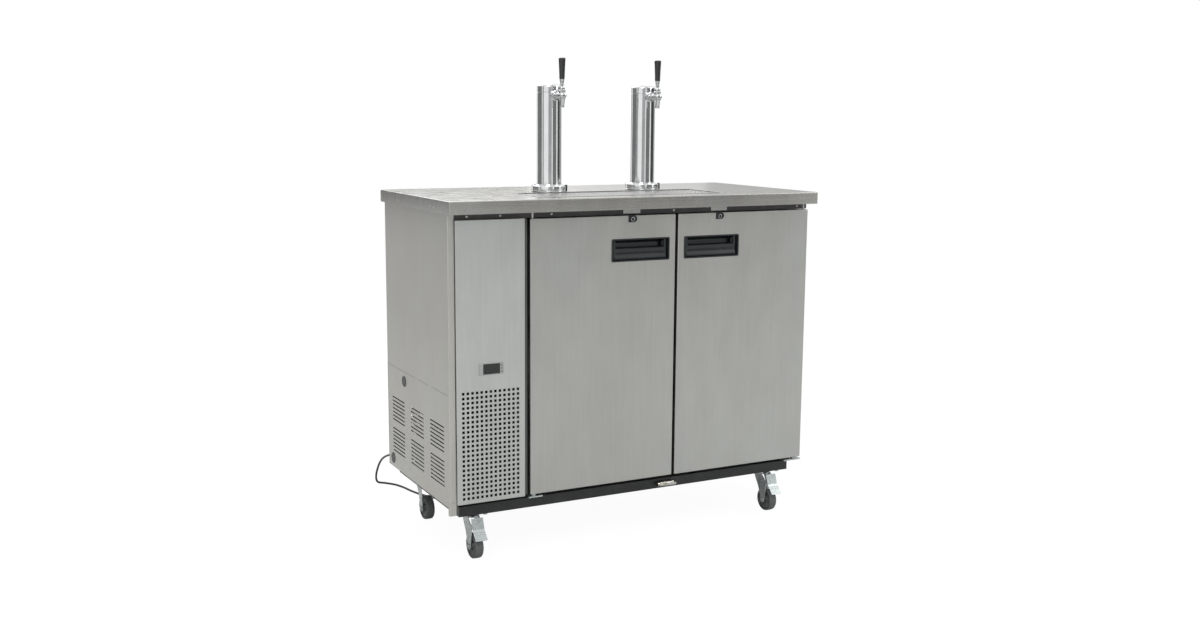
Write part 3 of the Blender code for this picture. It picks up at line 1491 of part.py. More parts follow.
def fan(name, at, turn, hub_radius, radius, material):
    """A fan on its motor's shaft: a hub with pitched blades."""
    hub = rod(name, at, turn, hub_radius, FAN_HUB_LENGTH, material, sides=16)
    place = Matrix.Translation(at) @ turn
    for blade in range(FAN_BLADES):
        around = Matrix.Rotation(blade / FAN_BLADES * math.tau, 4, "Z")
        tilt = Matrix.Rotation(FAN_PITCH, 4, "X")
        middle = Matrix.Translation((0, 0, FAN_HUB_LENGTH / 2))
        low = (hub_radius / 2, -FAN_BLADE_WIDTH / 2, -FAN_BLADE_SHEET / 2)
        high = (radius, FAN_BLADE_WIDTH / 2, FAN_BLADE_SHEET / 2)
        wing = box(f"{name}_blade_{blade}", low, high)
        wing.matrix_world = place @ middle @ around @ tilt
        join(hub, wing)
    bore_at = Vector(at) + (turn @ Vector((0, 0, -OVERRUN)))
    bore_length = FAN_HUB_LENGTH + OVERRUN * 2
    cut(hub, rod(f"{name}_bore", bore_at, turn, MOTOR_SHAFT_RADIUS + SEAT_GAP, bore_length, sides=12))


def condenser():
    """The finned coil behind the perforations, with the fan's shroud and motor behind it."""
    left = BAY_MIDDLE - COIL_WIDTH / 2
    right = BAY_MIDDLE + COIL_WIDTH / 2
    front = FACE + COIL_SETBACK
    back = front + COIL_DEPTH
    bottom = CABINET_BOTTOM
    pitch = COIL_HEIGHT / COIL_GROOVES
    outline = [(COIL_DEPTH, 0), (COIL_DEPTH, COIL_HEIGHT), (0, COIL_HEIGHT)]
    for groove in reversed(range(COIL_GROOVES)):
        z = groove * pitch
        outline += [
            (0, z + pitch * 3 / 4),
            (COIL_GROOVE_DEPTH, z + pitch * 3 / 4),
            (COIL_GROOVE_DEPTH, z + pitch / 4),
            (0, z + pitch / 4),
        ]
    outline.append((0, 0))
    core = flat(
        "condenser",
        outline,
        COIL_WIDTH,
        side_view((BAY_MIDDLE, front, bottom)),
        finish("fin_aluminium", (0.10, 0.10, 0.10), 0.5, 0.7),
    )
    shroud_back = back + SHROUD_DEPTH
    middle_z = bottom + COIL_HEIGHT / 2
    shroud = box(
        "shroud",
        (left, back - OVERRUN, bottom),
        (right, shroud_back, bottom + COIL_HEIGHT),
    )
    mouth = rod(
        "shroud_mouth",
        (BAY_MIDDLE, back + OVERRUN, middle_z),
        TO_Y,
        SHROUD_HOLE,
        SHROUD_DEPTH + OVERRUN,
        sides=24,
    )
    cut(shroud, mouth)
    motor_front = fan_start(back) + FAN_HUB_LENGTH + RUN_GAP
    motor = rod("condenser_motor", (BAY_MIDDLE, motor_front, middle_z), TO_Y, MOTOR_RADIUS, MOTOR_LENGTH)
    shaft_length = FAN_HUB_LENGTH / 2 + MOTOR_LENGTH / 2
    shaft = rod(
        "condenser_shaft",
        (BAY_MIDDLE, motor_front - FAN_HUB_LENGTH / 2, middle_z),
        TO_Y,
        MOTOR_SHAFT_RADIUS,
        shaft_length,
        sides=12,
    )
    arm_front = motor_front + MOTOR_LENGTH / 2
    arms = box(
        "motor_arms",
        (left, arm_front, middle_z - MOTOR_ARM),
        (right, arm_front + MOTOR_ARM, middle_z + MOTOR_ARM),
    )
    struts = [
        box(
            f"motor_strut_{name}",
            (x, shroud_back - OVERRUN, middle_z - MOTOR_ARM),
            (x + MOTOR_ARM, arm_front + MOTOR_ARM, middle_z + MOTOR_ARM),
        )
        for name, x in (("left", left), ("right", right - MOTOR_ARM))
    ]
    join(core, shroud, motor, shaft, arms, *struts)
    fan(
        "condenser_fan",
        (BAY_MIDDLE, fan_start(back), middle_z),
        TO_Y,
        FAN_HUB_RADIUS,
        FAN_RADIUS,
        black("condenser_fan_black"),
    )


def fan_start(coil_back):
    return coil_back + FAN_SETBACK


def evaporator():
    """The evaporator's cover on the compartment's left wall, with its fan behind a round mouth."""
    left = CAVITY_LOW.x + SEAT_GAP * 2 + LINER_SHEET
    right = left + EVAPORATOR_DEPTH
    middle_y = (CABINET_FRONT + CABINET_BACK) / 2
    top = CAVITY_HIGH.z - SEAT_GAP - LINER_SHEET - EVAPORATOR_DROP
    bottom = top - EVAPORATOR_HEIGHT
    middle_z = (top + bottom) / 2
    low = Vector((left, CABINET_FRONT + EVAPORATOR_END_ROOM, bottom))
    high = Vector((right, CABINET_BACK - EVAPORATOR_END_ROOM, top))
    cover = box("evaporator_cover", low, high, finish("cover_white", (0.75, 0.76, 0.76), 0.4))
    sheet = Vector((EVAPORATOR_SHEET, EVAPORATOR_SHEET, EVAPORATOR_SHEET))
    cut(cover, box("cover_space", low + sheet - Vector((EVAPORATOR_SHEET + OVERRUN, 0, 0)), high - sheet))
    mouth_at = (right - EVAPORATOR_SHEET - OVERRUN, middle_y, middle_z)
    mouth = rod("cover_mouth", mouth_at, TO_X, EVAPORATOR_HOLE, EVAPORATOR_SHEET + OVERRUN * 2, sides=24)
    cut(cover, mouth)
    fan_at = right - EVAPORATOR_SHEET - EVAPORATOR_FAN_GAP - FAN_HUB_LENGTH
    arm_left = left + EVAPORATOR_SHEET
    motor_end = fan_at - RUN_GAP
    motor_length = motor_end - arm_left - MOTOR_ARM / 2
    motor = rod(
        "evaporator_motor",
        (motor_end - motor_length, middle_y, middle_z),
        TO_X,
        MOTOR_RADIUS,
        motor_length,
    )
    shaft = rod(
        "evaporator_shaft",
        (motor_end - motor_length / 2, middle_y, middle_z),
        TO_X,
        MOTOR_SHAFT_RADIUS,
        motor_length / 2 + FAN_HUB_LENGTH / 2,
        sides=12,
    )
    arm = box(
        "evaporator_arm",
        (arm_left, low.y + EVAPORATOR_SHEET / 2, middle_z - MOTOR_ARM),
        (arm_left + MOTOR_ARM, high.y - EVAPORATOR_SHEET / 2, middle_z + MOTOR_ARM),
    )
    join(cover, motor, shaft, arm)
    fan(
        "evaporator_fan",
        (fan_at, middle_y, middle_z),
        TO_X,
        FAN_HUB_RADIUS,
        FAN_RADIUS,
        black("evaporator_fan_black"),
    )


# Controller


def controller():
    centre = control_centre()
    back = FACE - SEAT_GAP
    bezel = box(
        "controller",
        (centre.x - BEZEL_WIDTH / 2, back - BEZEL_PROUD, centre.z - BEZEL_HEIGHT / 2),
        (centre.x + BEZEL_WIDTH / 2, back, centre.z + BEZEL_HEIGHT / 2),
        finish("controller_grey", (0.50, 0.51, 0.51), 0.35),
    )
    body = box(
        "controller_body",
        (centre.x - CONTROL_WIDTH / 2, back - BEZEL_PROUD / 2, centre.z - CONTROL_HEIGHT / 2),
        (centre.x + CONTROL_WIDTH / 2, back + CONTROL_DEPTH, centre.z + CONTROL_HEIGHT / 2),
    )
    window = box(
        "display_recess",
        (centre.x - WINDOW_WIDTH / 2, back - BEZEL_PROUD - OVERRUN, centre.z - WINDOW_HEIGHT / 2),
        (centre.x + WINDOW_WIDTH / 2, back - BEZEL_PROUD + WINDOW_DEPTH, centre.z + WINDOW_HEIGHT / 2),
    )
    join(bezel, body)
    cut(bezel, window)
    key_front = back - BEZEL_PROUD - KEY_PROUD
    for number in range(KEY_COUNT):
        z = centre.z + ((KEY_COUNT - 1) / 2 - number) * KEY_PITCH
        x = centre.x + KEY_OFFSET
        low = Vector((x - KEY_WIDTH / 2, key_front, z - KEY_HEIGHT / 2))
        high = Vector((x + KEY_WIDTH / 2, key_front + KEY_DEPTH, z + KEY_HEIGHT / 2))
        key = box(f"controller_key_{number + 1}", low, high, finish(f"key_{number + 1}_grey", (0.2, 0.2, 0.2), 0.5))
        pivot(key, (x, key_front, z))
        room = Vector((SEAT_GAP, 0, SEAT_GAP))
        ahead = Vector((0, OVERRUN, 0))
        travel = Vector((0, KEY_TRAVEL + SEAT_GAP, 0))
        cut(bezel, box(f"key_well_{number + 1}", low - room - ahead, high + room + travel))


# Mains cord


def gland():
    """Nut, neck, flange and tapered strain relief, turned in one piece through the back sheet."""
    at = (BODY_LEFT + GLAND_INSET, BODY_BACK, BASE_TOP + GLAND_RISE)
    outside = SEAT_GAP + GLAND_FLANGE
    inside = -SHEET - SEAT_GAP
    turned(
        "cord_gland",
        [
            (0, outside + RELIEF_LENGTH),
            (RELIEF_TIP_RADIUS, outside + RELIEF_LENGTH),
            (RELIEF_RADIUS, outside),
            (GLAND_RADIUS, outside),
            (GLAND_RADIUS, SEAT_GAP),
            (GLAND_NECK_RADIUS, SEAT_GAP),
            (GLAND_NECK_RADIUS, inside),
            (GLAND_RADIUS, inside),
            (GLAND_RADIUS, inside - GLAND_NUT),
            (0, inside - GLAND_NUT),
        ],
        at,
        TO_Y,
        black("gland_black"),
        steps=16,
    )


def smooth_route(points, steps):
    """A smooth curve through the route's points, read at even distances along it."""
    points = [Vector(p) for p in points]
    fine = []
    per_span = 24
    ends = [points[0] * 2 - points[1], *points, points[-1] * 2 - points[-2]]
    for i in range(1, len(ends) - 2):
        a, b, c, d = ends[i - 1 : i + 3]
        for step in range(per_span):
            t = step / per_span
            fine.append(
                (b * 2 + (c - a) * t + (a * 2 - b * 5 + c * 4 - d) * t * t
                 + (b * 3 - a - c * 3 + d) * t ** 3) / 2
            )
    fine.append(points[-1])
    reach = [0.0]
    for a, b in zip(fine, fine[1:]):
        reach.append(reach[-1] + (b - a).length)
    even, index = [], 0
    for step in range(steps + 1):
        distance = reach[-1] * step / steps
        while index < len(fine) - 2 and reach[index + 1] < distance:
            index += 1
        span = reach[index + 1] - reach[index]
        even.append(fine[index].lerp(fine[index + 1], (distance - reach[index]) / span))
    return even, reach[-1]


def coil_points():
    """Loops that spiral in on the floor, climb as they reverse, and spiral out on top."""
    centre = Vector((COIL_X, COIL_Y, 0))
    turns_per_layer = COIL_LOOPS / 2
    inner = COIL_MEAN_RADIUS - turns_per_layer * COIL_SPACING / 2
    floor_z = CORD_ROUTE[-1][2]
    points = []
    total = COIL_LOOPS * COIL_LOOP_POINTS
    for step in range(total + 1):
        turn = step / COIL_LOOP_POINTS
        away = abs(turn - turns_per_layer)
        climb = min(max((turn - turns_per_layer) * 2 + 0.5, 0.0), 1.0)
        climb = climb * climb * (3 - 2 * climb)
        radius = inner + away * COIL_SPACING
        angle = -QUARTER + turn * math.tau
        points.append(
            centre
            + Vector((
                math.cos(angle) * radius,
                math.sin(angle) * radius,
                floor_z + climb * (COIL_SPACING),
            ))
        )
    first = (points[0] - points[1]).normalized() * CORD_RADIUS * 2
    last = (points[-1] - points[-2]).normalized() * COIL_END_LEAD
    return [points[0] + first, *points, points[-1] + last]


def coil_self_gap(points):
    """Least distance between two turns, less the cord's diameter."""
    least = math.inf
    skip = COIL_LOOP_POINTS // 2
    for i, a in enumerate(points):
        for j in range(i + skip, len(points) - 1):
            b, c = points[j], points[j + 1]
            along = c - b
            t = min(max((a - b).dot(along) / along.length_squared, 0.0), 1.0)
            least = min(least, (a - b - along * t).length)
    return least - CORD_RADIUS * 2


def mains_cord():
    gland()
    coil = coil_points()
    toward = (coil[0] - coil[1]).normalized()
    start = Vector((
        BODY_LEFT + GLAND_INSET,
        BODY_BACK + SEAT_GAP * 2 + GLAND_FLANGE + RELIEF_LENGTH,
        BASE_TOP + GLAND_RISE,
    ))
    end = coil[0] + toward * SEAT_GAP
    leaving = start + Vector((0, CORD_RADIUS * 3, 0))
    route = [start, leaving, *CORD_ROUTE[1:-1], end + toward * CORD_RADIUS * 4, end]
    points, length = smooth_route(route, CORD_STEPS)
    sheath = finish("cord_black", (0.02, 0.02, 0.022), 0.55)
    tube("power_cord", points, CORD_RADIUS, sheath)
    tube("cord_coil", coil, CORD_RADIUS, finish("coil_black", (0.02, 0.02, 0.022), 0.55), 1)
    coil_length = sum((b - a).length for a, b in zip(coil, coil[1:]))
    print(f"cord: free {length:.3f} m, coil {coil_length:.3f} m, whole {length + coil_length:.3f} m")
    print(f"coil: least gap to itself {coil_self_gap(coil) * 1000:.2f} mm")
    plug(coil[-1], (coil[-1] - coil[-2]).normalized())


def plug(at, along):
    """A moulded plug with two flat blades and a round earth pin, lying where the coil ends."""
    place = Matrix.Translation(at + along * SEAT_GAP) @ along.to_track_quat("Z", "Y").to_matrix().to_4x4()
    black_plug = black("plug_black")
    neck = turned(
        "power_plug",
        [
            (0, PLUG_NECK + PLUG_ROUND),
            (PLUG_HALF_HEIGHT - PLUG_ROUND, PLUG_NECK + PLUG_ROUND),
            (PLUG_NECK_RADIUS, 0),
            (0, 0),
        ],
        (0, 0, 0),
        TO_Z,
        black_plug,
        steps=16,
    )
    neck.matrix_world = place
    body = box(
        "plug_body",
        (-PLUG_HALF_WIDTH, -PLUG_HALF_HEIGHT, PLUG_NECK),
        (PLUG_HALF_WIDTH, PLUG_HALF_HEIGHT, PLUG_LENGTH),
    )
    round_edges(body, PLUG_ROUND)
    pins = [
        box(
            f"blade_{name}",
            (x - BLADE_SHEET / 2, BLADE_RISE - BLADE_HEIGHT / 2, PLUG_LENGTH - OVERRUN),
            (x + BLADE_SHEET / 2, BLADE_RISE + BLADE_HEIGHT / 2, PLUG_LENGTH + BLADE_LENGTH),
        )
        for name, x in (("left", -BLADE_SPACING / 2), ("right", BLADE_SPACING / 2))
    ]
    start = (0, -EARTH_DROP, PLUG_LENGTH - OVERRUN)
    pins.append(rod("earth_pin", start, TO_Z, EARTH_RADIUS, BLADE_LENGTH + OVERRUN * 2, sides=12))
    for piece in (body, *pins):
        piece.matrix_world = place @ piece.matrix_world
        join(neck, piece)


def build():
    cabinet_body()
    inner_liner()
    side_panels()
    rear_right_skin()
    front_panel()
    top_rail()
    base_frame()
    counter_top()
    drip_tray()
    drip_grate()
    for side, sign in SIDES:
        door(side, sign)
        hinge_bracket(side, sign)
        tower(side, sign)
    caster_rails()
    for side, end, at in caster_places():
        fork(side, end, at)
        wheel(side, end, at)
        if end == "front":
            pedal(side, at)
    drain_valve()
    compressor()
    condenser()
    evaporator()
    controller()
    mains_cord()


build()
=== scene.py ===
"""A two-tap beer dispenser in stainless steel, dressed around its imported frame.

Metres, +Z up. The front faces -Y, and the origin is on the floor under the counter's middle.
"""

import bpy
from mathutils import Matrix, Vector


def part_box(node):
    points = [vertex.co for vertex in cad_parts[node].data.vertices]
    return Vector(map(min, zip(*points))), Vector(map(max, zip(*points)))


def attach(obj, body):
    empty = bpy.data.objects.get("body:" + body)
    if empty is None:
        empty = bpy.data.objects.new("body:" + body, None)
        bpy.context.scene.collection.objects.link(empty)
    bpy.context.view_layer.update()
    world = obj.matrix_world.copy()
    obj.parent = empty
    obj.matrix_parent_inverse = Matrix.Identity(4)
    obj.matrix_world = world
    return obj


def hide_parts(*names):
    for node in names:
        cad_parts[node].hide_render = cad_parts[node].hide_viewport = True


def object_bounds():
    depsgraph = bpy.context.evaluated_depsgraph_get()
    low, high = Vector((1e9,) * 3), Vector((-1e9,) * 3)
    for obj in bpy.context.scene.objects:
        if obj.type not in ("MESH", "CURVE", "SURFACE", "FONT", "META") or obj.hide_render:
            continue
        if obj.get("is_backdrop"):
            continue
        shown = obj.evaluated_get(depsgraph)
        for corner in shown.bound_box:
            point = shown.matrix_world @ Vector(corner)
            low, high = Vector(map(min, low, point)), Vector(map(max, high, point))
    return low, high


# %% [markdown]
# # A beer dispenser, cell by cell
# The object is a cooled steel cabinet on casters with two taps on its counter. Its solids are already
# packed, so this lesson loads them as a fixed frame and dresses them: finer sheet metal, turned chrome,
# moulded plastic and a mains cord, each with a finish of its own.

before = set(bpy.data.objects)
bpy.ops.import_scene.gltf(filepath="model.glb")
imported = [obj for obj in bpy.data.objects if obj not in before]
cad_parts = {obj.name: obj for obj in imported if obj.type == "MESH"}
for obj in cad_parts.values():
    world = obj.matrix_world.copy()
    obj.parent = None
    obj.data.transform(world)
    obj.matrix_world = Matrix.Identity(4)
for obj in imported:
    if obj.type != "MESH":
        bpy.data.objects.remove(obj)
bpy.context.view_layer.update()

# %% Import what the cells use
import math

import bmesh
import bpy
from mathutils import Matrix, Vector

# %% [markdown]
# ## Camera
# The photograph was taken from the front left, a little above the counter, with a normal lens. A camera
# could be aimed with a constraint, but a matrix built from yaw, pitch and roll says exactly where it is
# and stays the same on every run.

# %% Place the camera
CAMERA_AT = Vector((-1.8635, -3.5500, 1.2900))
CAMERA_YAW = math.radians(27.72)
CAMERA_PITCH = math.radians(9.02)
CAMERA_ROLL = math.radians(0.45)
LENS = 38.06


def camera_matrix():
    level = math.cos(CAMERA_PITCH)
    forward = Vector((math.sin(CAMERA_YAW) * level, math.cos(CAMERA_YAW) * level, -math.sin(CAMERA_PITCH)))
    right = Vector((math.cos(CAMERA_YAW), -math.sin(CAMERA_YAW), 0))
    up = right.cross(forward)
    tilted = right * math.cos(CAMERA_ROLL) + up * math.sin(CAMERA_ROLL)
    top = up * math.cos(CAMERA_ROLL) - right * math.sin(CAMERA_ROLL)
    axes = Matrix((tilted, top, -forward)).transposed()
    return Matrix.Translation(CAMERA_AT) @ axes.to_4x4()


camera_data = bpy.data.cameras.new("photograph")
camera_data.lens = LENS
camera_data.sensor_width = 36
camera = bpy.data.objects.new("photograph", camera_data)
camera.matrix_world = camera_matrix()
bpy.context.scene.collection.objects.link(camera)
bpy.context.scene.camera = camera
bpy.context.scene.view_settings.view_transform = "Standard"
print("camera at", [round(v, 3) for v in CAMERA_AT])

# %% [markdown]
# ## Shader maths in Python
# A finish is a small network of nodes. Wiring it by hand takes many lines, so one class wraps a node's
# output and turns Python arithmetic into Math nodes, and a second one holds the node tree with a single
# method for every other node. Colours go through Mix nodes, because a Math node would turn them grey.


# %% Wrap a socket so that arithmetic adds nodes
class Wire:
    """One output in a node tree."""

    def __init__(self, tree, output):
        self.tree = tree
        self.output = output

    def math(self, operation, first, second):
        return self.tree.node("ShaderNodeMath", {"operation": operation}, {0: first, 1: second})

    def __add__(self, other):
        return self.math("ADD", self, other)

    def __radd__(self, other):
        return self.math("ADD", other, self)

    def __sub__(self, other):
        return self.math("SUBTRACT", self, other)

    def __rsub__(self, other):
        return self.math("SUBTRACT", other, self)

    def __mul__(self, other):
        return self.math("MULTIPLY", self, other)

    def __rmul__(self, other):
        return self.math("MULTIPLY", other, self)

    def __truediv__(self, other):
        return self.math("DIVIDE", self, other)

    def __rtruediv__(self, other):
        return self.math("DIVIDE", other, self)

    def __pow__(self, other):
        return self.math("POWER", self, other)

    def most(self, other):
        return self.math("MAXIMUM", self, other)


# %% Hold a node tree and the patterns that the finishes share
class Nodes:
    """A node tree with one method that adds any node, and short names for the usual patterns."""

    def __init__(self, node_tree):
        self.node_tree = node_tree

    def feed(self, socket, value):
        if isinstance(value, Wire):
            self.node_tree.links.new(value.output, socket)
        else:
            socket.default_value = value

    def node(self, kind, settings, inputs, output=0):
        made = self.node_tree.nodes.new(kind)
        for key, value in settings.items():
            setattr(made, key, value)
        for key, value in inputs.items():
            self.feed(made.inputs[key], value)
        return Wire(self, made.outputs[output])

    def object_space(self):
        return self.node("ShaderNodeTexCoord", {}, {}, "Object")

    def cells(self, size, centre=(0, 0, 0), turn=(0, 0, 0)):
        """Object coordinates measured from a centre in cells of the given size."""
        inputs = {"Vector": self.object_space(), "Location": centre, "Rotation": turn, "Scale": size}
        return self.node("ShaderNodeMapping", {"vector_type": "TEXTURE"}, inputs)

    def noise(self, size, detail=3.0, centre=(0, 0, 0)):
        inputs = {"Vector": self.cells(size, centre), "Scale": 1.0, "Detail": detail}
        return self.node("ShaderNodeTexNoise", {}, inputs, "Fac")

    def specks(self, size):
        inputs = {"Vector": self.cells(size), "Scale": 1.0}
        return self.node("ShaderNodeTexVoronoi", {}, inputs, "Distance")

    def along(self, axis, centre=(0, 0, 0)):
        """Distance from a centre along one axis of the object."""
        split = self.node("ShaderNodeSeparateXYZ", {}, {0: self.cells((1, 1, 1), centre)}, axis)
        return split

    def ramp(self, value, low, high):
        """0 below the low value, 1 above the high one, smooth between."""
        inputs = {"Value": value, "From Min": low, "From Max": high}
        settings = {"clamp": True, "interpolation_type": "SMOOTHSTEP"}
        return self.node("ShaderNodeMapRange", settings, inputs)

    def mix(self, share, first, second):
        """A colour between two colours."""
        return self.node("ShaderNodeMix", {"data_type": "RGBA"}, {0: share, 6: first, 7: second}, 2)

    def seen(self):
        """1 for camera, glossy and transmission rays, 0 for the light that a surface scatters."""
        path = self.node_tree.nodes.new("ShaderNodeLightPath")
        kinds = [Wire(self, path.outputs[f"Is {kind} Ray"]) for kind in ("Camera", "Glossy", "Transmission")]
        return kinds[0].most(kinds[1]).most(kinds[2])


print("shader helpers ready")

# %% [markdown]
# ## White studio
# The photograph shows the dispenser cut out on white. The world is white where it is seen or mirrored
# and dimmer as a light, so the steel mirrors a bright room while the shading keeps its depth. The floor
# does the same and still takes the soft shadow under the casters.

# %% Build the world, the floor and the lamps
WORLD_LIGHT = 0.62
FLOOR_LIT = 0.80
FLOOR_GLOW = 0.955
FLOOR_CATCH = 0.07
FLOOR_HALF = 9.0

world = bpy.data.worlds.new("studio")
world.use_nodes = True
bpy.context.scene.world = world
sky = Nodes(world.node_tree)
background = world.node_tree.nodes["Background"]
dim = (WORLD_LIGHT, WORLD_LIGHT, WORLD_LIGHT, 1)
sky.feed(background.inputs["Color"], sky.mix(sky.seen(), dim, (1, 1, 1, 1)))
background.inputs["Strength"].default_value = 1.0


def stage_sheet(name, corners, material):
    """A flat stage piece between four corners."""
    bm = bmesh.new()
    bm.faces.new([bm.verts.new(corner) for corner in corners])
    mesh = bpy.data.meshes.new(name)
    bm.to_mesh(mesh)
    bm.free()
    mesh.materials.append(material)
    piece = bpy.data.objects.new(name, mesh)
    bpy.context.scene.collection.objects.link(piece)
    piece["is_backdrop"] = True
    return piece


floor_material = bpy.data.materials.new("white_floor")
floor_material.use_nodes = True
floor_nodes = Nodes(floor_material.node_tree)
floor_shader = floor_material.node_tree.nodes["Principled BSDF"]
to_camera = floor_nodes.node("ShaderNodeLightPath", {}, {})
lit = (FLOOR_LIT, FLOOR_LIT, FLOOR_LIT, 1)
catch = (FLOOR_CATCH, FLOOR_CATCH, FLOOR_CATCH, 1)
glow = (FLOOR_GLOW, FLOOR_GLOW, FLOOR_GLOW, 1)
floor_nodes.feed(floor_shader.inputs["Base Color"], floor_nodes.mix(to_camera, lit, catch))
floor_nodes.feed(floor_shader.inputs["Emission Color"], floor_nodes.mix(to_camera, (0, 0, 0, 1), glow))
floor_shader.inputs["Emission Strength"].default_value = 1.0
floor_shader.inputs["Roughness"].default_value = 0.9
floor_shader.inputs["Specular IOR Level"].default_value = 0.0
h = FLOOR_HALF
stage_sheet("floor", [(-h, -h, 0), (h, -h, 0), (h, h, 0), (-h, h, 0)], floor_material)


def softbox(name, at, aim, size, power):
    data = bpy.data.lights.new(name, "AREA")
    data.shape = "SQUARE"
    data.size = size
    data.energy = power
    lamp = bpy.data.objects.new(name, data)
    lamp.location = at
    lamp.rotation_euler = (Vector(aim) - Vector(at)).to_track_quat("-Z", "Y").to_euler()
    bpy.context.scene.collection.objects.link(lamp)


softbox("key", (-2.6, -3.4, 3.9), (0, 0, 0.6), 2.2, 95)
softbox("fill", (3.4, -2.2, 2.6), (0, 0, 0.6), 2.0, 34)
softbox("rim", (0.5, 3.4, 3.2), (0, 0, 0.9), 2.0, 40)
print("lamps:", len(bpy.data.lights))

# %% [markdown]
# ## Dark cards for the chrome
# A polished tube in an all-white room looks like paper. Photographers stand dark cards beside the camera,
# and the tube mirrors them as its long dark streaks. These cards are seen by reflections alone.

# %% Stand the dark cards round the towers
CARD_DISTANCE = 2.9
CARD_FOOT = 0.84
CARD_HEAD = 1.70
# each card runs between two bearings in degrees, counted from the front towards the right
CARD_BEARINGS = (
    ((-158, -98), 0.20), ((-92, -77), 0.44), ((-36, -5), 0.42), ((4, 43), 0.20), ((56, 100), 0.07),
    ((104, 122), 0.34),
    ((127, 141), 0.52), ((141, 160), 0.86), ((160, 184), 0.16),
)


def card(number, bearings, grey):
    material = bpy.data.materials.new(f"card_{number}")
    material.use_nodes = True
    shader = material.node_tree.nodes["Principled BSDF"]
    shader.inputs["Base Color"].default_value = (0, 0, 0, 1)
    shader.inputs["Specular IOR Level"].default_value = 0.0
    shader.inputs["Emission Color"].default_value = (grey, grey, grey, 1)
    shader.inputs["Emission Strength"].default_value = 1.0
    edges = [math.radians(b) for b in bearings]
    points = [(math.sin(b) * CARD_DISTANCE, -math.cos(b) * CARD_DISTANCE) for b in edges]
    (x0, y0), (x1, y1) = points
    corners = [(x0, y0, CARD_FOOT), (x1, y1, CARD_FOOT), (x1, y1, CARD_HEAD), (x0, y0, CARD_HEAD)]
    piece = stage_sheet(f"card_{number}", corners, material)
    piece.visible_camera = False
    piece.visible_diffuse = False
    piece.visible_shadow = False
    piece.visible_transmission = False


for number, (bearings, grey) in enumerate(CARD_BEARINGS):
    card(number, bearings, grey)
print("cards", len(CARD_BEARINGS))

# %% [markdown]
# ## Working with bmesh
# Sheet metal, turned parts and plates come back again and again, so each has one helper that starts from
# a create operator or a few vertices and shapes it with spin, extrude, bevel and bisect. Every helper
# gives back a bmesh, and the last one turns it into a finished object that rides on a body of the frame.

# %% Directions and small helpers
QUARTER = math.pi / 2
FACING = {
    "up": Matrix.Identity(4),
    "down": Matrix.Rotation(math.pi, 4, "X"),
    "front": Matrix.Rotation(QUARTER, 4, "X"),
    "back": Matrix.Rotation(-QUARTER, 4, "X"),
    "left": Matrix.Rotation(-QUARTER, 4, "Y"),
    "right": Matrix.Rotation(QUARTER, 4, "Y"),
}
SIDES = (("left", -1), ("right", 1))
WELD = 0.000004


def at(place, facing="up"):
    """A place whose own +Z faces the named way."""
    return Matrix.Translation(place) @ FACING[facing]


def merged(*parts):
    """One bmesh out of several."""
    whole = bmesh.new()
    for part in parts:
        passing = bpy.data.meshes.new("passing")
        part.to_mesh(passing)
        part.free()
        whole.from_mesh(passing)
        bpy.data.meshes.remove(passing)
    return whole


def moved(part, place):
    bmesh.ops.transform(part, matrix=place, verts=part.verts)
    return part


def bevelled(part, edges, width, segments=3):
    bmesh.ops.bevel(
        part, geom=edges, offset=width, offset_type="OFFSET", segments=segments, profile=0.5,
        affect="EDGES", clamp_overlap=True, material=-1,
    )
    return part


def sharp_edges(part, least=35):
    limit = math.radians(least)
    return [e for e in part.edges if e.is_manifold and e.calc_face_angle() > limit]


def block(low, high, rounded=0.0, segments=2):
    """A box between two corners, with its edges rounded over."""
    low, high = Vector(low), Vector(high)
    part = bmesh.new()
    bmesh.ops.create_cube(part, size=1)
    bmesh.ops.scale(part, vec=high - low, verts=part.verts)
    bmesh.ops.translate(part, vec=(low + high) / 2, verts=part.verts)
    return bevelled(part, sharp_edges(part), rounded, segments) if rounded else part


def lathe(profile, place=Matrix.Identity(4), steps=48, closed=False):
    """A turned shape from a profile of radius and height, spun about its own Z."""
    part = bmesh.new()
    verts = [part.verts.new((radius, 0, height)) for radius, height in profile]
    edges = [part.edges.new(pair) for pair in zip(verts, verts[1:])]
    if closed:
        edges.append(part.edges.new((verts[-1], verts[0])))
    bmesh.ops.spin(
        part, geom=verts + edges, cent=(0, 0, 0), axis=(0, 0, 1), angle=math.tau, steps=steps,
        use_merge=True,
    )
    bmesh.ops.remove_doubles(part, verts=part.verts, dist=WELD)
    bmesh.ops.recalc_face_normals(part, faces=part.faces)
    return moved(part, place)


def arc(centre, radius, start, end, steps=6):
    """Points on an arc, with its angles in degrees."""
    for step in range(steps + 1):
        angle = math.radians(start + (end - start) * step / steps)
        yield (centre[0] + math.cos(angle) * radius, centre[1] + math.sin(angle) * radius)


def rounded_outline(width, height, radius, steps=5):
    """A rectangle with round corners, centred on the origin."""
    x, y = width / 2 - radius, height / 2 - radius
    corners = (((x, y), 0), ((-x, y), 90), ((-x, -y), 180), ((x, -y), 270))
    return [p for centre, start in corners for p in arc(centre, radius, start, start + 90, steps)]


def prism(outline, depth, place=Matrix.Identity(4), rounded=0.0, segments=2):
    """A flat outline drawn out along its own Z from 0 to the depth."""
    part = bmesh.new()
    face = part.faces.new([part.verts.new((x, y, 0)) for x, y in outline])
    grown = bmesh.ops.extrude_face_region(part, geom=[face], use_keep_orig=True)["geom"]
    bmesh.ops.translate(part, vec=(0, 0, depth),
                        verts=[v for v in grown if isinstance(v, bmesh.types.BMVert)])
    bmesh.ops.recalc_face_normals(part, faces=part.faces)
    if rounded:
        rims = [e for e in sharp_edges(part) if abs(e.verts[0].co.z - e.verts[1].co.z) < WELD]
        bevelled(part, rims, rounded, segments)
    return moved(part, place)


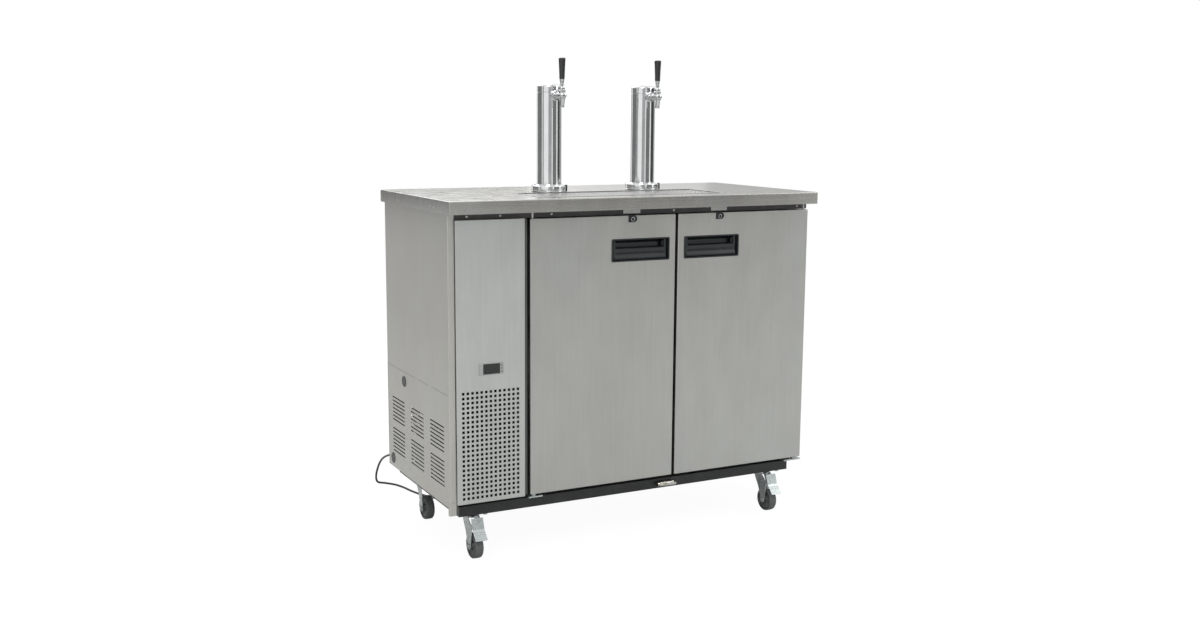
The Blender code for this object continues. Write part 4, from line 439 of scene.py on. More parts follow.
def drawn(outline, stations, place=Matrix.Identity(4), rounded=0.0, segments=2):
    """An outline drawn up its own Z through stations of height, width share and depth share."""
    part = bmesh.new()
    height, wide, deep = stations[0]
    face = part.faces.new([part.verts.new((x * wide, y * deep, height)) for x, y in outline])
    for step, (before, now) in enumerate(zip(stations, stations[1:])):
        left_inside = face
        grown = bmesh.ops.extrude_face_region(part, geom=[face], use_keep_orig=True)["geom"]
        face = next(g for g in grown if isinstance(g, bmesh.types.BMFace))
        if step:
            part.faces.remove(left_inside)
        bmesh.ops.scale(part, vec=(now[1] / before[1], now[2] / before[2], 1), verts=face.verts)
        bmesh.ops.translate(part, vec=(0, 0, now[0] - before[0]), verts=face.verts)
    bmesh.ops.recalc_face_normals(part, faces=part.faces)
    if rounded:
        bevelled(part, sharp_edges(part), rounded, segments)
    return moved(part, place)


def pushed(part, faces, way):
    """Faces extruded together and moved, without the old ones that would close the mouth."""
    grown = bmesh.ops.extrude_face_region(part, geom=faces)["geom"]
    bmesh.ops.delete(part, geom=faces, context="FACES")
    bmesh.ops.translate(part, vec=way, verts=[v for v in grown if isinstance(v, bmesh.types.BMVert)])


def band(outline, width, place=Matrix.Identity(4)):
    """A closed outline drawn along its own Z into an open band, centred on Z 0."""
    part = bmesh.new()
    verts = [part.verts.new((x, y, -width / 2)) for x, y in outline]
    edges = [part.edges.new(pair) for pair in zip(verts, verts[1:] + verts[:1])]
    grown = bmesh.ops.extrude_edge_only(part, edges=edges)["geom"]
    bmesh.ops.translate(part, vec=(0, 0, width),
                        verts=[v for v in grown if isinstance(v, bmesh.types.BMVert)])
    bmesh.ops.recalc_face_normals(part, faces=part.faces)
    return moved(part, place)


def cut_across(part, axis, place):
    """Cut the whole part by a plane square to an axis, and keep both sides."""
    normal = [0, 0, 0]
    normal[axis] = 1
    everything = part.verts[:] + part.edges[:] + part.faces[:]
    bmesh.ops.bisect_plane(part, geom=everything, dist=WELD, plane_co=Vector(normal) * place, plane_no=normal)


def sheet(corner, opposite, holes=(), place=Matrix.Identity(4)):
    """A thin sheet in its own XZ plane, facing -Y, cut where its rectangular holes are."""
    (u0, v0), (u1, v1) = corner, opposite
    part = bmesh.new()
    part.faces.new([part.verts.new((u, 0, v)) for u, v in ((u0, v0), (u1, v0), (u1, v1), (u0, v1))])
    for axis in (0, 1):
        for cut in sorted({round(edge[axis], 6) for hole in holes for edge in hole}):
            cut_across(part, axis * 2, cut)
    gone = []
    for face in part.faces:
        middle = face.calc_center_median()
        for (a, b), (c, d) in holes:
            if a < middle.x < c and b < middle.z < d:
                gone.append(face)
                break
    bmesh.ops.delete(part, geom=gone, context="FACES")
    return moved(part, place)


def grid_holes(middle, counts, pitches, size):
    """Rectangles in rows and columns round a middle point."""
    for column in range(counts[0]):
        for row in range(counts[1]):
            u = middle[0] + (column - (counts[0] - 1) / 2) * pitches[0]
            v = middle[1] + (row - (counts[1] - 1) / 2) * pitches[1]
            yield ((u - size[0] / 2, v - size[1] / 2), (u + size[0] / 2, v + size[1] / 2))


def screw_head(place, radius=0.0042, height=0.0016):
    """A low domed screw with a cross slot, its own +Z outwards."""
    dome = [(0, 0), (radius, 0), (radius * 0.98, height * 0.35), (radius * 0.80, height * 0.80)]
    dome += [(radius * 0.45, height), (radius * 0.42, height * 0.55), (0, height * 0.5)]
    return lathe(dome, place, 16)


def pipe(points, radius, sides=12, tips=True):
    """A tube along points, as a closed bmesh."""
    curve = bpy.data.curves.new("passing", "CURVE")
    curve.dimensions = "3D"
    spline = curve.splines.new("POLY")
    spline.points.add(len(points) - 1)
    for control, point in zip(spline.points, points):
        control.co = (*point, 1)
    curve.bevel_depth = radius
    curve.bevel_resolution = (sides - 4) // 2
    curve.use_fill_caps = tips
    holder = bpy.data.objects.new("passing", curve)
    bpy.context.scene.collection.objects.link(holder)
    mesh = bpy.data.meshes.new_from_object(holder.evaluated_get(bpy.context.evaluated_depsgraph_get()))
    part = bmesh.new()
    part.from_mesh(mesh)
    bpy.data.objects.remove(holder)
    bpy.data.curves.remove(curve)
    bpy.data.meshes.remove(mesh)
    bmesh.ops.remove_doubles(part, verts=part.verts, dist=WELD)
    bmesh.ops.recalc_face_normals(part, faces=part.faces)
    return part


def piece(name, part, finish, body, slot, replaces=(), thickness=0.0, even=True):
    """The finished object: at the origin, with its place in its mesh, riding on its body."""
    mesh = bpy.data.meshes.new(name)
    part.to_mesh(mesh)
    part.free()
    mesh.shade_smooth()
    mesh.set_sharp_from_angle(angle=math.radians(38))
    mesh.materials.append(finish)
    made = bpy.data.objects.new(name, mesh)
    bpy.context.scene.collection.objects.link(made)
    if thickness:
        wall = made.modifiers.new("Sheet", "SOLIDIFY")
        wall.thickness = thickness
        wall.offset = -1
        wall.use_even_offset = even
    if even:
        shading = made.modifiers.new("Flat faces", "WEIGHTED_NORMAL")
        shading.keep_sharp = True
    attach(made, body)
    if replaces:
        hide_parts(*replaces)
    print(f"{name}: {len(mesh.polygons)} faces")
    return made


def span(node):
    """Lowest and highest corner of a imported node."""
    low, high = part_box(node)
    return Vector(low), Vector(high)


# %% [markdown]
# ## Mains cord
# A rubber lead 7 mm thick leaves the back sheet through a strain relief, bows out and down behind the
# cabinet and runs along the floor. The length that the photograph hides is wound into a coil behind the
# cabinet. A simulation could drop it, but a listed route with a smooth curve through it is steadier and
# keeps the bends as wide as such a lead allows.

# %% Read the cord's route as one smooth line
CORD_RADIUS = 0.0035
CORD_START = Vector((-0.5625, 0.3206, 0.1860))
CORD_LEAVING = CORD_START + Vector((0, CORD_RADIUS * 3, 0))
CORD_ROUTE = [
    (-0.5625, 0.3560, 0.1812),
    (-0.5625, 0.4180, 0.1590),
    (-0.5625, 0.4800, 0.1370),
    (-0.5625, 0.5270, 0.1130),
    (-0.5620, 0.5670, 0.0790),
    (-0.5590, 0.6020, 0.0360),
    (-0.5480, 0.6200, 0.0085),
    (-0.5250, 0.6100, 0.0038),
    (-0.5000, 0.5760, 0.0038),
    (-0.4840, 0.5300, 0.0038),
    (-0.4740, 0.4800, 0.0038),
    (-0.4560, 0.4200, 0.0038),
    (-0.4240, 0.3600, 0.0038),
    (-0.3750, 0.3290, 0.0038),
]
COIL_MIDDLE = Vector((-0.285, 0.384, 0.0038))
COIL_LOOPS = 5
COIL_LOOP_POINTS = 48
COIL_MEAN_RADIUS = 0.0385
COIL_SPACING = 0.0077
COIL_END_LEAD = 0.046
ROUTE_STEPS = 9


def smooth_line(points, steps):
    """A Catmull-Rom curve through the points, with the given steps in each span."""
    points = [Vector(p) for p in points]
    ends = [points[0] * 2 - points[1], *points, points[-1] * 2 - points[-2]]
    line = []
    for i in range(1, len(ends) - 2):
        a, b, c, d = ends[i - 1 : i + 3]
        for step in range(steps):
            t = step / steps
            bend = (a * 2 - b * 5 + c * 4 - d) * t * t + (b * 3 - a - c * 3 + d) * t ** 3
            line.append((b * 2 + (c - a) * t + bend) / 2)
    line.append(points[-1])
    return line


def coil_line():
    """Loops that spiral in on the floor, climb, and spiral out on top of themselves."""
    half = COIL_LOOPS / 2
    inner = COIL_MEAN_RADIUS - half * COIL_SPACING / 2
    line = []
    for step in range(COIL_LOOPS * COIL_LOOP_POINTS + 1):
        turn = step / COIL_LOOP_POINTS
        climb = min(max((turn - half) * 2 + 0.5, 0.0), 1.0)
        climb = climb * climb * (3 - 2 * climb)
        radius = inner + abs(turn - half) * COIL_SPACING
        angle = -QUARTER + turn * math.tau
        line.append(
            COIL_MIDDLE + Vector((math.cos(angle) * radius, math.sin(angle) * radius, climb * COIL_SPACING))
        )
    lead_in = (line[0] - line[1]).normalized() * CORD_RADIUS * 2
    lead_out = (line[-1] - line[-2]).normalized() * COIL_END_LEAD
    return [line[0] + lead_in, *line, line[-1] + lead_out]


coil = coil_line()
toward = (coil[0] - coil[1]).normalized()
route = [CORD_START, CORD_LEAVING, *CORD_ROUTE, coil[0] + toward * CORD_RADIUS * 4, coil[0]]
cord_line = smooth_line(route, ROUTE_STEPS) + coil[1:]
cord_length = sum((b - a).length for a, b in zip(cord_line, cord_line[1:]))
print(f"cord: {cord_length:.3f} m in {len(cord_line)} points")

# %% [markdown]
# ## Finishes
# Each finish starts from a Principled shader whose constant values are set on its own sockets. Only what
# changes over the surface is wired: a grain, clouds of wear or dust, and a bump. All patterns read Object
# coordinates in metres, so their scale is real.


# %% Start a finish
def finish_of(name, metallic=0.0, roughness=0.5, coat=0.0, specular=0.5):
    material = bpy.data.materials.new(name)
    material.use_nodes = True
    shader = material.node_tree.nodes["Principled BSDF"]
    shader.inputs["Metallic"].default_value = metallic
    shader.inputs["Roughness"].default_value = roughness
    shader.inputs["Coat Weight"].default_value = coat
    shader.inputs["Coat Roughness"].default_value = 0.12
    shader.inputs["Specular IOR Level"].default_value = specular
    return material, Nodes(material.node_tree), shader


def shade(colour, by):
    return tuple(c * by for c in colour) + (1.0,)


def bumped(nodes, shader, height, distance, strength=1.0):
    inputs = {"Height": height, "Distance": distance, "Strength": strength}
    nodes.feed(shader.inputs["Normal"], nodes.node("ShaderNodeBump", {}, inputs))


# %% [markdown]
# ### Brushed stainless steel
# A belt of abrasive draws fine lines along the sheet, upright on doors and sides, lengthwise on the
# counter. Noise stretched along one axis gives that grain, and large soft clouds stand for the film of
# hands and cleaning cloths. An image of scratches would repeat and show its edges.

# %% Mix the brushed steels
STEEL = (0.470, 0.470, 0.446)
STEEL_PANEL = (0.545, 0.560, 0.540)
STEEL_SIDE = (0.520, 0.512, 0.478)
STEEL_COUNTER = (0.470, 0.464, 0.436)
STEEL_INSIDE = (0.520, 0.525, 0.520)
GRAIN_UPRIGHT = (0.0011, 0.0011, 0.070)
GRAIN_LENGTHWISE = (0.140, 0.0016, 0.0016)


def brushed_steel(name, colour, grain, roughness, haze=0.06, relief=0.00002):
    material, nodes, shader = finish_of(name, metallic=1.0, roughness=roughness)
    lines = nodes.noise(grain, 4.0)
    long_lines = nodes.noise(tuple(g * 3.5 for g in grain), 2.0)
    clouds = nodes.noise((0.34, 0.34, 0.46), 3.0)
    smears = nodes.noise((0.055, 0.055, 0.12), 3.0, (0.3, 0.1, 0.2))
    share = lines * 0.22 + long_lines * 0.20 + clouds * 0.36 + smears * 0.22
    tones = nodes.mix(nodes.ramp(share, 0.36, 0.64), shade(colour, 1 - haze), shade(colour, 1 + haze))
    cool = nodes.mix(nodes.ramp(clouds, 0.45, 0.72), (1, 1, 1, 1), (0.97, 0.995, 1.0, 1))
    tinted = nodes.node("ShaderNodeMix", {"data_type": "RGBA", "blend_type": "MULTIPLY"},
                        {0: 1.0, 6: tones, 7: cool}, 2)
    nodes.feed(shader.inputs["Base Color"], tinted)
    nodes.feed(shader.inputs["Roughness"], (lines - 0.5) * 0.14 + (smears - 0.5) * 0.10 + roughness)
    bumped(nodes, shader, lines + long_lines * 0.5, relief)
    return material


DOOR_STEEL = brushed_steel("door_steel", STEEL, GRAIN_UPRIGHT, 0.36)
PANEL_STEEL = brushed_steel("panel_steel", STEEL_PANEL, GRAIN_UPRIGHT, 0.36)
SIDE_STEEL = brushed_steel("side_steel", STEEL_SIDE, GRAIN_UPRIGHT, 0.38)
COUNTER_STEEL = brushed_steel("counter_steel", STEEL_COUNTER, GRAIN_LENGTHWISE, 0.26, 0.035, 0.000005)
INSIDE_STEEL = brushed_steel("inside_steel", STEEL_INSIDE, GRAIN_UPRIGHT, 0.42, 0.04)
TRAY_RIM = brushed_steel("tray_rim", (0.40, 0.40, 0.39), GRAIN_LENGTHWISE, 0.24, 0.04, 0.000006)
# the drip tray's near-black steel is painted shade for the recess under the grate
SHADED_TRAY_STEEL = brushed_steel("tray_steel", (0.16, 0.16, 0.155), GRAIN_LENGTHWISE, 0.34, 0.05)
BRIGHT_SHEET = brushed_steel("bright_sheet", (0.56, 0.56, 0.54), GRAIN_LENGTHWISE, 0.30, 0.05)
print("finishes after the brushed steels:", len(bpy.data.materials))

# %% [markdown]
# ### Polished chrome, brass and nickel
# The towers and taps are polished until they mirror, and what tells them from a mirror ball is a faint
# haze of wiped water marks. The same recipe with another colour serves the brass and the nickel.


# %% Mix the polished metals
def polished(name, colour, roughness, marks=0.10):
    material, nodes, shader = finish_of(name, metallic=1.0, roughness=roughness)
    haze = nodes.noise((0.022, 0.022, 0.045), 4.0)
    spots = nodes.ramp(nodes.specks((0.006, 0.006, 0.009)), 0.10, 0.32)
    drops = nodes.ramp(nodes.noise((0.05, 0.05, 0.05), 2.0), 0.52, 0.70)
    wiped = nodes.ramp(haze, 0.40, 0.75) * marks + (1 - spots) * drops * marks
    nodes.feed(shader.inputs["Roughness"], wiped + roughness)
    share = nodes.ramp(haze, 0.30, 0.70)
    nodes.feed(shader.inputs["Base Color"], nodes.mix(share, shade(colour, 0.95), shade(colour, 1.03)))
    return material


CHROME = polished("polished_chrome", (0.76, 0.77, 0.775), 0.055)
TAP_CHROME = polished("tap_chrome", (0.60, 0.61, 0.615), 0.11)
BRASS = polished("turned_brass", (0.62, 0.44, 0.19), 0.22)
NICKEL = polished("plated_nickel", (0.56, 0.54, 0.48), 0.20)
SCREW_STEEL = polished("screw_steel", (0.50, 0.50, 0.49), 0.24)
LOCK_PLATE = polished("lock_plate", (0.030, 0.034, 0.037), 0.30)
COPPER = polished("copper_tube", (0.58, 0.27, 0.17), 0.28)
print("finishes after the polished metals:", len(bpy.data.materials))


# %% [markdown]
# ### Zinc plate
# Forks, pedals and brackets are pressed from plain steel and zinc plated, which leaves a pale, slightly
# blue skin with crystals a few millimetres across. Cells of a Voronoi pattern, softened with noise, give
# the mottling.

# %% Mix the zinc
def zinc_plate(name, colour, roughness):
    material, nodes, shader = finish_of(name, metallic=0.85, roughness=roughness)
    crystals = nodes.specks((0.0055, 0.0055, 0.0055))
    mottle = nodes.noise((0.014, 0.014, 0.014), 4.0)
    grime = nodes.ramp(nodes.noise((0.03, 0.03, 0.02), 4.0, (0.4, 0, 0)), 0.50, 0.75)
    share = nodes.ramp(crystals * 0.45 + mottle * 0.55, 0.22, 0.62)
    plain = nodes.mix(share, shade(colour, 0.90), shade(colour, 1.06))
    nodes.feed(shader.inputs["Base Color"], nodes.mix(grime * 0.25, plain, (0.20, 0.20, 0.185, 1)))
    nodes.feed(shader.inputs["Roughness"], (mottle - 0.5) * 0.25 + grime * 0.18 + roughness)
    bumped(nodes, shader, mottle + crystals * 0.3, 0.00005)
    return material


ZINC = zinc_plate("zinc_plate", (0.50, 0.545, 0.54), 0.30)
GALVANISED = zinc_plate("galvanised_sheet", (0.33, 0.34, 0.335), 0.42)
print("finishes after the zinc finishes:", len(bpy.data.materials))


# %% [markdown]
# ### Enamel and plastics
# Black enamel has the fine orange peel of a sprayed coat and gathers dust. Moulded plastics get a
# fine spark-eroded grain, and the knobs a gloss that shows slight flow marks. Dust is a paler colour with
# a rougher surface, shared out by noise.

# %% Mix the enamels and the plastics
def coated(name, colour, roughness, grain=0.0009, depth=0.00002, dust=0.10, coat=0.0,
           dust_colour=(0.16, 0.155, 0.14)):
    material, nodes, shader = finish_of(name, roughness=roughness, coat=coat)
    skin = nodes.noise((grain, grain, grain), 2.0)
    clouds = nodes.noise((0.06, 0.06, 0.05), 4.0)
    settled = nodes.ramp(clouds, 0.46, 0.78) * dust
    plain = nodes.mix(nodes.ramp(skin, 0.3, 0.7), shade(colour, 0.86), shade(colour, 1.14))
    nodes.feed(shader.inputs["Base Color"], nodes.mix(settled, plain, shade(dust_colour, 1)))
    nodes.feed(shader.inputs["Roughness"], (skin - 0.5) * 0.12 + settled * 0.8 + roughness)
    bumped(nodes, shader, skin, depth)
    return material


BLACK_ENAMEL = coated("black_enamel", (0.007, 0.008, 0.009), 0.36, 0.0024, 0.00004, 0.08)
RAIL_PAINT = coated("dark_rail", (0.035, 0.035, 0.036), 0.40, 0.0020, 0.00003, 0.30)
HANDLE_PLASTIC = coated("handle_plastic", (0.010, 0.013, 0.015), 0.22, 0.0008, 0.00001, 0.05)
KNOB_PLASTIC = coated("knob_plastic", (0.020, 0.021, 0.022), 0.20, 0.0030, 0.00001, 0.05, 0.35)
GREY_PLASTIC = coated("bezel_plastic", (0.36, 0.375, 0.365), 0.34, 0.0007, 0.00001, 0.12)
KEY_PLASTIC = coated("key_plastic", (0.200, 0.215, 0.210), 0.40, 0.0006, 0.00001, 0.05)
WHITE_PLASTIC = coated("white_plastic", (0.68, 0.69, 0.69), 0.38, 0.0012, 0.00002, 0.10)
PLUG_PLASTIC = coated("cap_plastic", (0.070, 0.075, 0.072), 0.44, 0.0008, 0.00002, 0.22)
LINER_PLASTIC = coated("door_liner", (0.60, 0.61, 0.61), 0.34, 0.0016, 0.00002, 0.06)
MOTOR_PAINT = coated("compressor_paint", (0.012, 0.012, 0.013), 0.24, 0.0030, 0.00004, 0.35, 0.3)
HOSE_PLASTIC = coated("hose_plastic", (0.62, 0.64, 0.62), 0.18, 0.0040, 0.00001, 0.05, 0.4)
DISPLAY = coated("display_window", (0.010, 0.014, 0.012), 0.24, 0.0050, 0.000004, 0.05, 0.15)
print("finishes after the enamels and plastics:", len(bpy.data.materials))


# %% [markdown]
# ### Rubber
# The tyres are solid grey rubber: the tread is painted paler than the side walls, for scuffs and a painted
# highlight, and the walls keep the rings of their mould. The rings are worked out from the distance to the
# axle, so each wheel has a finish centred on its own axle. Gaskets and the cord are softer and plainer.

# %% Mix the rubbers
def tyre_rubber(name, axle, tread_from, tread_to):
    material, nodes, shader = finish_of(name, roughness=0.55)
    y = nodes.along("Y", axle)
    z = nodes.along("Z", axle)
    radius = (y * y + z * z) ** 0.5
    tread = nodes.ramp(radius, tread_from, tread_to)
    rings = nodes.node("ShaderNodeMath", {"operation": "SINE"}, {0: radius * 3200.0})
    scuffs = nodes.noise((0.004, 0.010, 0.010), 4.0)
    dust = nodes.ramp(nodes.noise((0.012, 0.012, 0.012), 3.0), 0.40, 0.72)
    plain = nodes.mix(dust, (0.034, 0.037, 0.040, 1), (0.072, 0.078, 0.080, 1))
    # the paler tread colour paints its scuffs and a painted highlight along the tread
    scuffed_and_highlit = nodes.mix(scuffs, (0.070, 0.075, 0.077, 1), (0.155, 0.160, 0.158, 1))
    nodes.feed(shader.inputs["Base Color"], nodes.mix(tread * 0.8, plain, scuffed_and_highlit))
    nodes.feed(shader.inputs["Roughness"], tread * 0.18 + scuffs * 0.10 + 0.44)
    bumped(nodes, shader, scuffs * 0.6 + rings * 0.25, 0.00008)
    return material


def soft_rubber(name, colour, roughness, size=0.0015):
    material, nodes, shader = finish_of(name, roughness=roughness)
    skin = nodes.noise((size, size, size), 3.0)
    bloom = nodes.noise((0.035, 0.035, 0.035), 4.0)
    share = nodes.ramp(bloom, 0.40, 0.75)
    nodes.feed(shader.inputs["Base Color"], nodes.mix(share, shade(colour, 0.9), shade(colour, 1.6)))
    nodes.feed(shader.inputs["Roughness"], (skin - 0.5) * 0.12 + share * 0.10 + roughness)
    bumped(nodes, shader, skin, 0.00003)
    return material


# a near-black mat whose colour is painted shade behind the front panel's holes
HOLE_SHADE_MAT = soft_rubber("hole_shade_mat", (0.0035, 0.0035, 0.0035), 0.85, 0.0008)
GASKET_RUBBER = soft_rubber("gasket_rubber", (0.085, 0.088, 0.090), 0.50)
CORD_RUBBER = soft_rubber("cord_rubber", (0.014, 0.015, 0.016), 0.42)
print("finishes after the rubbers:", len(bpy.data.materials))

# %% [markdown]
# ### Condenser fins and foamed walls
# The condenser is a block of thin fins 2 mm apart. Cutting them all would cost thousands of faces behind a
# perforated sheet, so a wave across the block draws them, its near-black troughs painted shade in the gaps
# between the fins. The walls of the cabinet are galvanised sheet over foam.

# %% Mix the fins
FIN_PITCH = 0.0021


def fin_stack(name):
    material, nodes, shader = finish_of(name, metallic=0.7, roughness=0.45)
    phase = nodes.along("X") * (math.tau / FIN_PITCH)
    wave = nodes.node("ShaderNodeMath", {"operation": "SINE"}, {0: phase}) * 0.5 + 0.5
    dust = nodes.ramp(nodes.noise((0.03, 0.03, 0.05), 4.0), 0.40, 0.75)
    # the wave's near-black troughs paint the shade in the gaps between the fins
    fins = nodes.mix(wave, (0.006, 0.006, 0.007, 1), (0.115, 0.117, 0.120, 1))
    nodes.feed(shader.inputs["Base Color"], nodes.mix(dust * 0.35, fins, (0.085, 0.080, 0.070, 1)))
    nodes.feed(shader.inputs["Roughness"], dust * 0.25 + 0.42)
    bumped(nodes, shader, wave, 0.0004)
    return material


FINS = fin_stack("condenser_fins")
print("finishes after the fins:", len(bpy.data.materials))

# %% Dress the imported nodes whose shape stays
KEPT_NODES = {
    "cabinet_body": GALVANISED,
    "inner_liner": INSIDE_STEEL,
    "rear_right_skin": SIDE_STEEL,
    "top_rail": RAIL_PAINT,
    "base_frame": BLACK_ENAMEL,
    "drip_tray": SHADED_TRAY_STEEL,
    "compressor": MOTOR_PAINT,
    "condenser": FINS,
    "evaporator_cover": WHITE_PLASTIC,
    "condenser_fan": HANDLE_PLASTIC,
    "evaporator_fan": HANDLE_PLASTIC,
    "tower_left_plunger": BRASS,
    "tower_right_plunger": BRASS,
    "controller_key_1": KEY_PLASTIC,
    "controller_key_2": KEY_PLASTIC,
    "controller_key_3": KEY_PLASTIC,
    "hinge_bracket_left": ZINC,
    "hinge_bracket_right": ZINC,
    "door_left_lock": SCREW_STEEL,
    "door_right_lock": SCREW_STEEL,
}


def dress(node, finish):
    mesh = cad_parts[node].data
    mesh.materials.clear()
    mesh.materials.append(finish)


for node, finish in KEPT_NODES.items():
    dress(node, finish)
print("kept nodes dressed:", len(KEPT_NODES))

# %% [markdown]
# ## Cord, relief, plug and tie
# The lead itself is a tube along the line worked out above. A curve object with a bevel makes it, turned
# into a mesh. The relief is a stack of soft rings that narrow towards the lead, turned in one go from a
# profile. The plug has a moulded grip with ribs, and a fabric strap holds the coil together.

# %% Lay the cord
CORD_SIDES = 12
cord_body = "cabinet"
cord = piece("cord", pipe(cord_line, CORD_RADIUS, CORD_SIDES), CORD_RUBBER, cord_body, "cord_rubber",
             ("power_cord", "cord_coil"), even=False)

# %% Turn the strain relief
RELIEF_LENGTH = 0.030
RELIEF_RINGS = 6
RELIEF_FLANGE = 0.0115
gland_low, gland_high = span("cord_gland")
flange_back = gland_low.y + 0.0008
relief_start = gland_high.y - RELIEF_LENGTH
ring = RELIEF_LENGTH / RELIEF_RINGS
profile = [(0, flange_back), (RELIEF_FLANGE - 0.0008, flange_back), (RELIEF_FLANGE, flange_back + 0.0008),
           (RELIEF_FLANGE, relief_start - 0.0012), (RELIEF_FLANGE - 0.0012, relief_start)]
for number in range(RELIEF_RINGS):
    outer = 0.0068 - (0.0068 - 0.0050) * number / RELIEF_RINGS
    low = relief_start + number * ring
    profile += [(outer, low + ring * 0.02), (outer, low + ring * 0.62), (outer - 0.0013, low + ring * 0.70),
                (outer - 0.0013, low + ring * 0.98)]
profile += [(CORD_RADIUS + 0.0002, gland_high.y - ring * 0.02), (0, gland_high.y - ring * 0.02)]
relief_place = Matrix.Translation((CORD_START.x, 0, CORD_START.z)) @ FACING["back"]
relief = piece("cord_relief", lathe(profile, relief_place, 32), CORD_RUBBER, "cabinet", "cord_rubber",
               ("cord_gland",))

# %% Mould the plug
PLUG_NECK = 0.016
PLUG_LENGTH = 0.042
PLUG_WIDTH = 0.0268
PLUG_THICK = 0.0218
BLADE_LENGTH = 0.0155
BLADE_SPACING = 0.0127
BLADE_SIZE = (0.0015, 0.0063)
EARTH_RADIUS = 0.0024
plug_way = (cord_line[-1] - cord_line[-2]).normalized()
plug_place = Matrix.Translation(cord_line[-1]) @ plug_way.to_track_quat("Z", "Y").to_matrix().to_4x4()
grip = drawn(
    rounded_outline(PLUG_WIDTH, PLUG_THICK, 0.005),
    [(PLUG_NECK - 0.004, 0.55, 0.60), (PLUG_NECK + 0.004, 0.86, 0.80), (PLUG_NECK + 0.010, 0.97, 0.90),
     (PLUG_LENGTH - 0.004, 1, 1), (PLUG_LENGTH, 0.96, 0.96)],
)
neck = [(0, -0.0004), (0.0044, -0.0004)]
for number in range(4):
    low = number * PLUG_NECK / 4
    radius = 0.0050 + number * 0.0003
    neck += [(radius, low + 0.0006), (radius, low + 0.0026), (radius - 0.0009, low + 0.0030),
             (radius - 0.0009, low + 0.0038)]
neck += [(0.0055, PLUG_NECK), (0, PLUG_NECK)]
ribs = [
    block((side * PLUG_WIDTH / 2 - 0.0007, -0.006, z - 0.0007),
          (side * PLUG_WIDTH / 2 - 0.0001, 0.006, z + 0.0007))
    for _, side in SIDES for z in (0.030, 0.0335, 0.037)
]
plug = piece("plug", moved(merged(grip, lathe(neck, steps=24), *ribs), plug_place), CORD_RUBBER, "cabinet",
             "cord_rubber", ("power_plug",))
pins = [
    block((x - BLADE_SIZE[0] / 2, 0.0030 - BLADE_SIZE[1] / 2, PLUG_LENGTH - 0.001),
          (x + BLADE_SIZE[0] / 2, 0.0030 + BLADE_SIZE[1] / 2, PLUG_LENGTH + BLADE_LENGTH - 0.0004), 0.0003, 1)
    for x in (-BLADE_SPACING / 2, BLADE_SPACING / 2)
]
earth = [(0, PLUG_LENGTH - 0.001), (EARTH_RADIUS, PLUG_LENGTH - 0.001)]
earth += [(EARTH_RADIUS, PLUG_LENGTH + BLADE_LENGTH - 0.002),
          (EARTH_RADIUS * 0.6, PLUG_LENGTH + BLADE_LENGTH - 0.0004)]
earth += [(0, PLUG_LENGTH + BLADE_LENGTH - 0.0004)]
pins.append(lathe(earth, Matrix.Translation((0, -0.0060, 0)), 16))
plug_pins = piece("plug_pins", moved(merged(*pins), plug_place), BRASS, "cabinet", "brass")

# %% Tie the coil
TIE_WIDTH = 0.010
TIE_SHEET = 0.0008
TIE_LOW = 0.0001
TIE_HIGH = 0.0162
TIE_IN = 0.0240
TIE_OUT = 0.0530
tie_outline = rounded_outline(TIE_OUT - TIE_IN, TIE_HIGH - TIE_LOW, 0.0045, 6)
tie_place = Matrix.Translation((COIL_MIDDLE.x, COIL_MIDDLE.y, (TIE_LOW + TIE_HIGH) / 2))
tie_place @= Matrix.Rotation(math.radians(200), 4, "Z") @ Matrix.Translation(((TIE_IN + TIE_OUT) / 2, 0, 0))
strap = piece("cord_tie", band(tie_outline, TIE_WIDTH, tie_place @ FACING["front"]), soft_rubber("tie_fabric",
              (0.020, 0.020, 0.022), 0.8, 0.0006), "cabinet", "cord_rubber", thickness=TIE_SHEET)

print("cord declared, length in m:", round(cord_length, 4))

# %% [markdown]
# ## Counter
# The counter is one folded sheet over a stiff core, with soft rounded edges and a recess pressed in for
# the drip tray. Starting from a cube, the outer edges are rounded, four cuts mark the recess, and its face
# is pushed down. A Boolean would give the same recess with messier faces along the rim.

# %% Press the counter
counter_low, counter_high = span("counter_top")
tray_low, tray_high = span("drip_tray")
COUNTER_END_PLAY = 0.0008
COUNTER_ROUND = 0.0030
RECESS_GAP = 0.0010
RECESS_DEPTH = 0.0240
RECESS_ROUND = 0.0008


def counter():
    part = block(
        (counter_low.x + COUNTER_END_PLAY, counter_low.y, counter_low.z),
        (counter_high.x - COUNTER_END_PLAY, counter_high.y, counter_high.z),
    )
    edges = [e for e in part.edges if e.verts[0].co.z > counter_low.z + WELD
             or e.verts[1].co.z > counter_low.z + WELD]
    bevelled(part, edges, COUNTER_ROUND, 4)
    for axis in (0, 1):
        for cut in (tray_low[axis] - RECESS_GAP, tray_high[axis] + RECESS_GAP):
            cut_across(part, axis, cut)
    middle = (tray_low + tray_high) / 2
    floor = [f for f in part.faces if f.normal.z > 0.9
             and (f.calc_center_median().xy - middle.xy).length < 0.01]
    pushed(part, floor, (0, 0, -RECESS_DEPTH))
    rim = [e for e in part.edges
           if abs(e.verts[0].co.z - counter_high.z) + abs(e.verts[1].co.z - counter_high.z) < WELD
           and e.is_manifold and e.calc_face_angle() > 1]
    return bevelled(part, rim, RECESS_ROUND, 2)


piece("counter", counter(), COUNTER_STEEL, "cabinet", "stainless_counter", ("counter_top",))

# %% Lay the tray's rim on the counter
RIM_SECTION = (
    (0.0000, 0.0002), (0.0002, 0.0012), (0.0012, 0.0017), (0.0048, 0.0017), (0.0058, 0.0010),
    (0.0060, -0.0014), (0.0052, -0.0014), (0.0048, 0.0002),
)
RIM_REACH = 0.0030


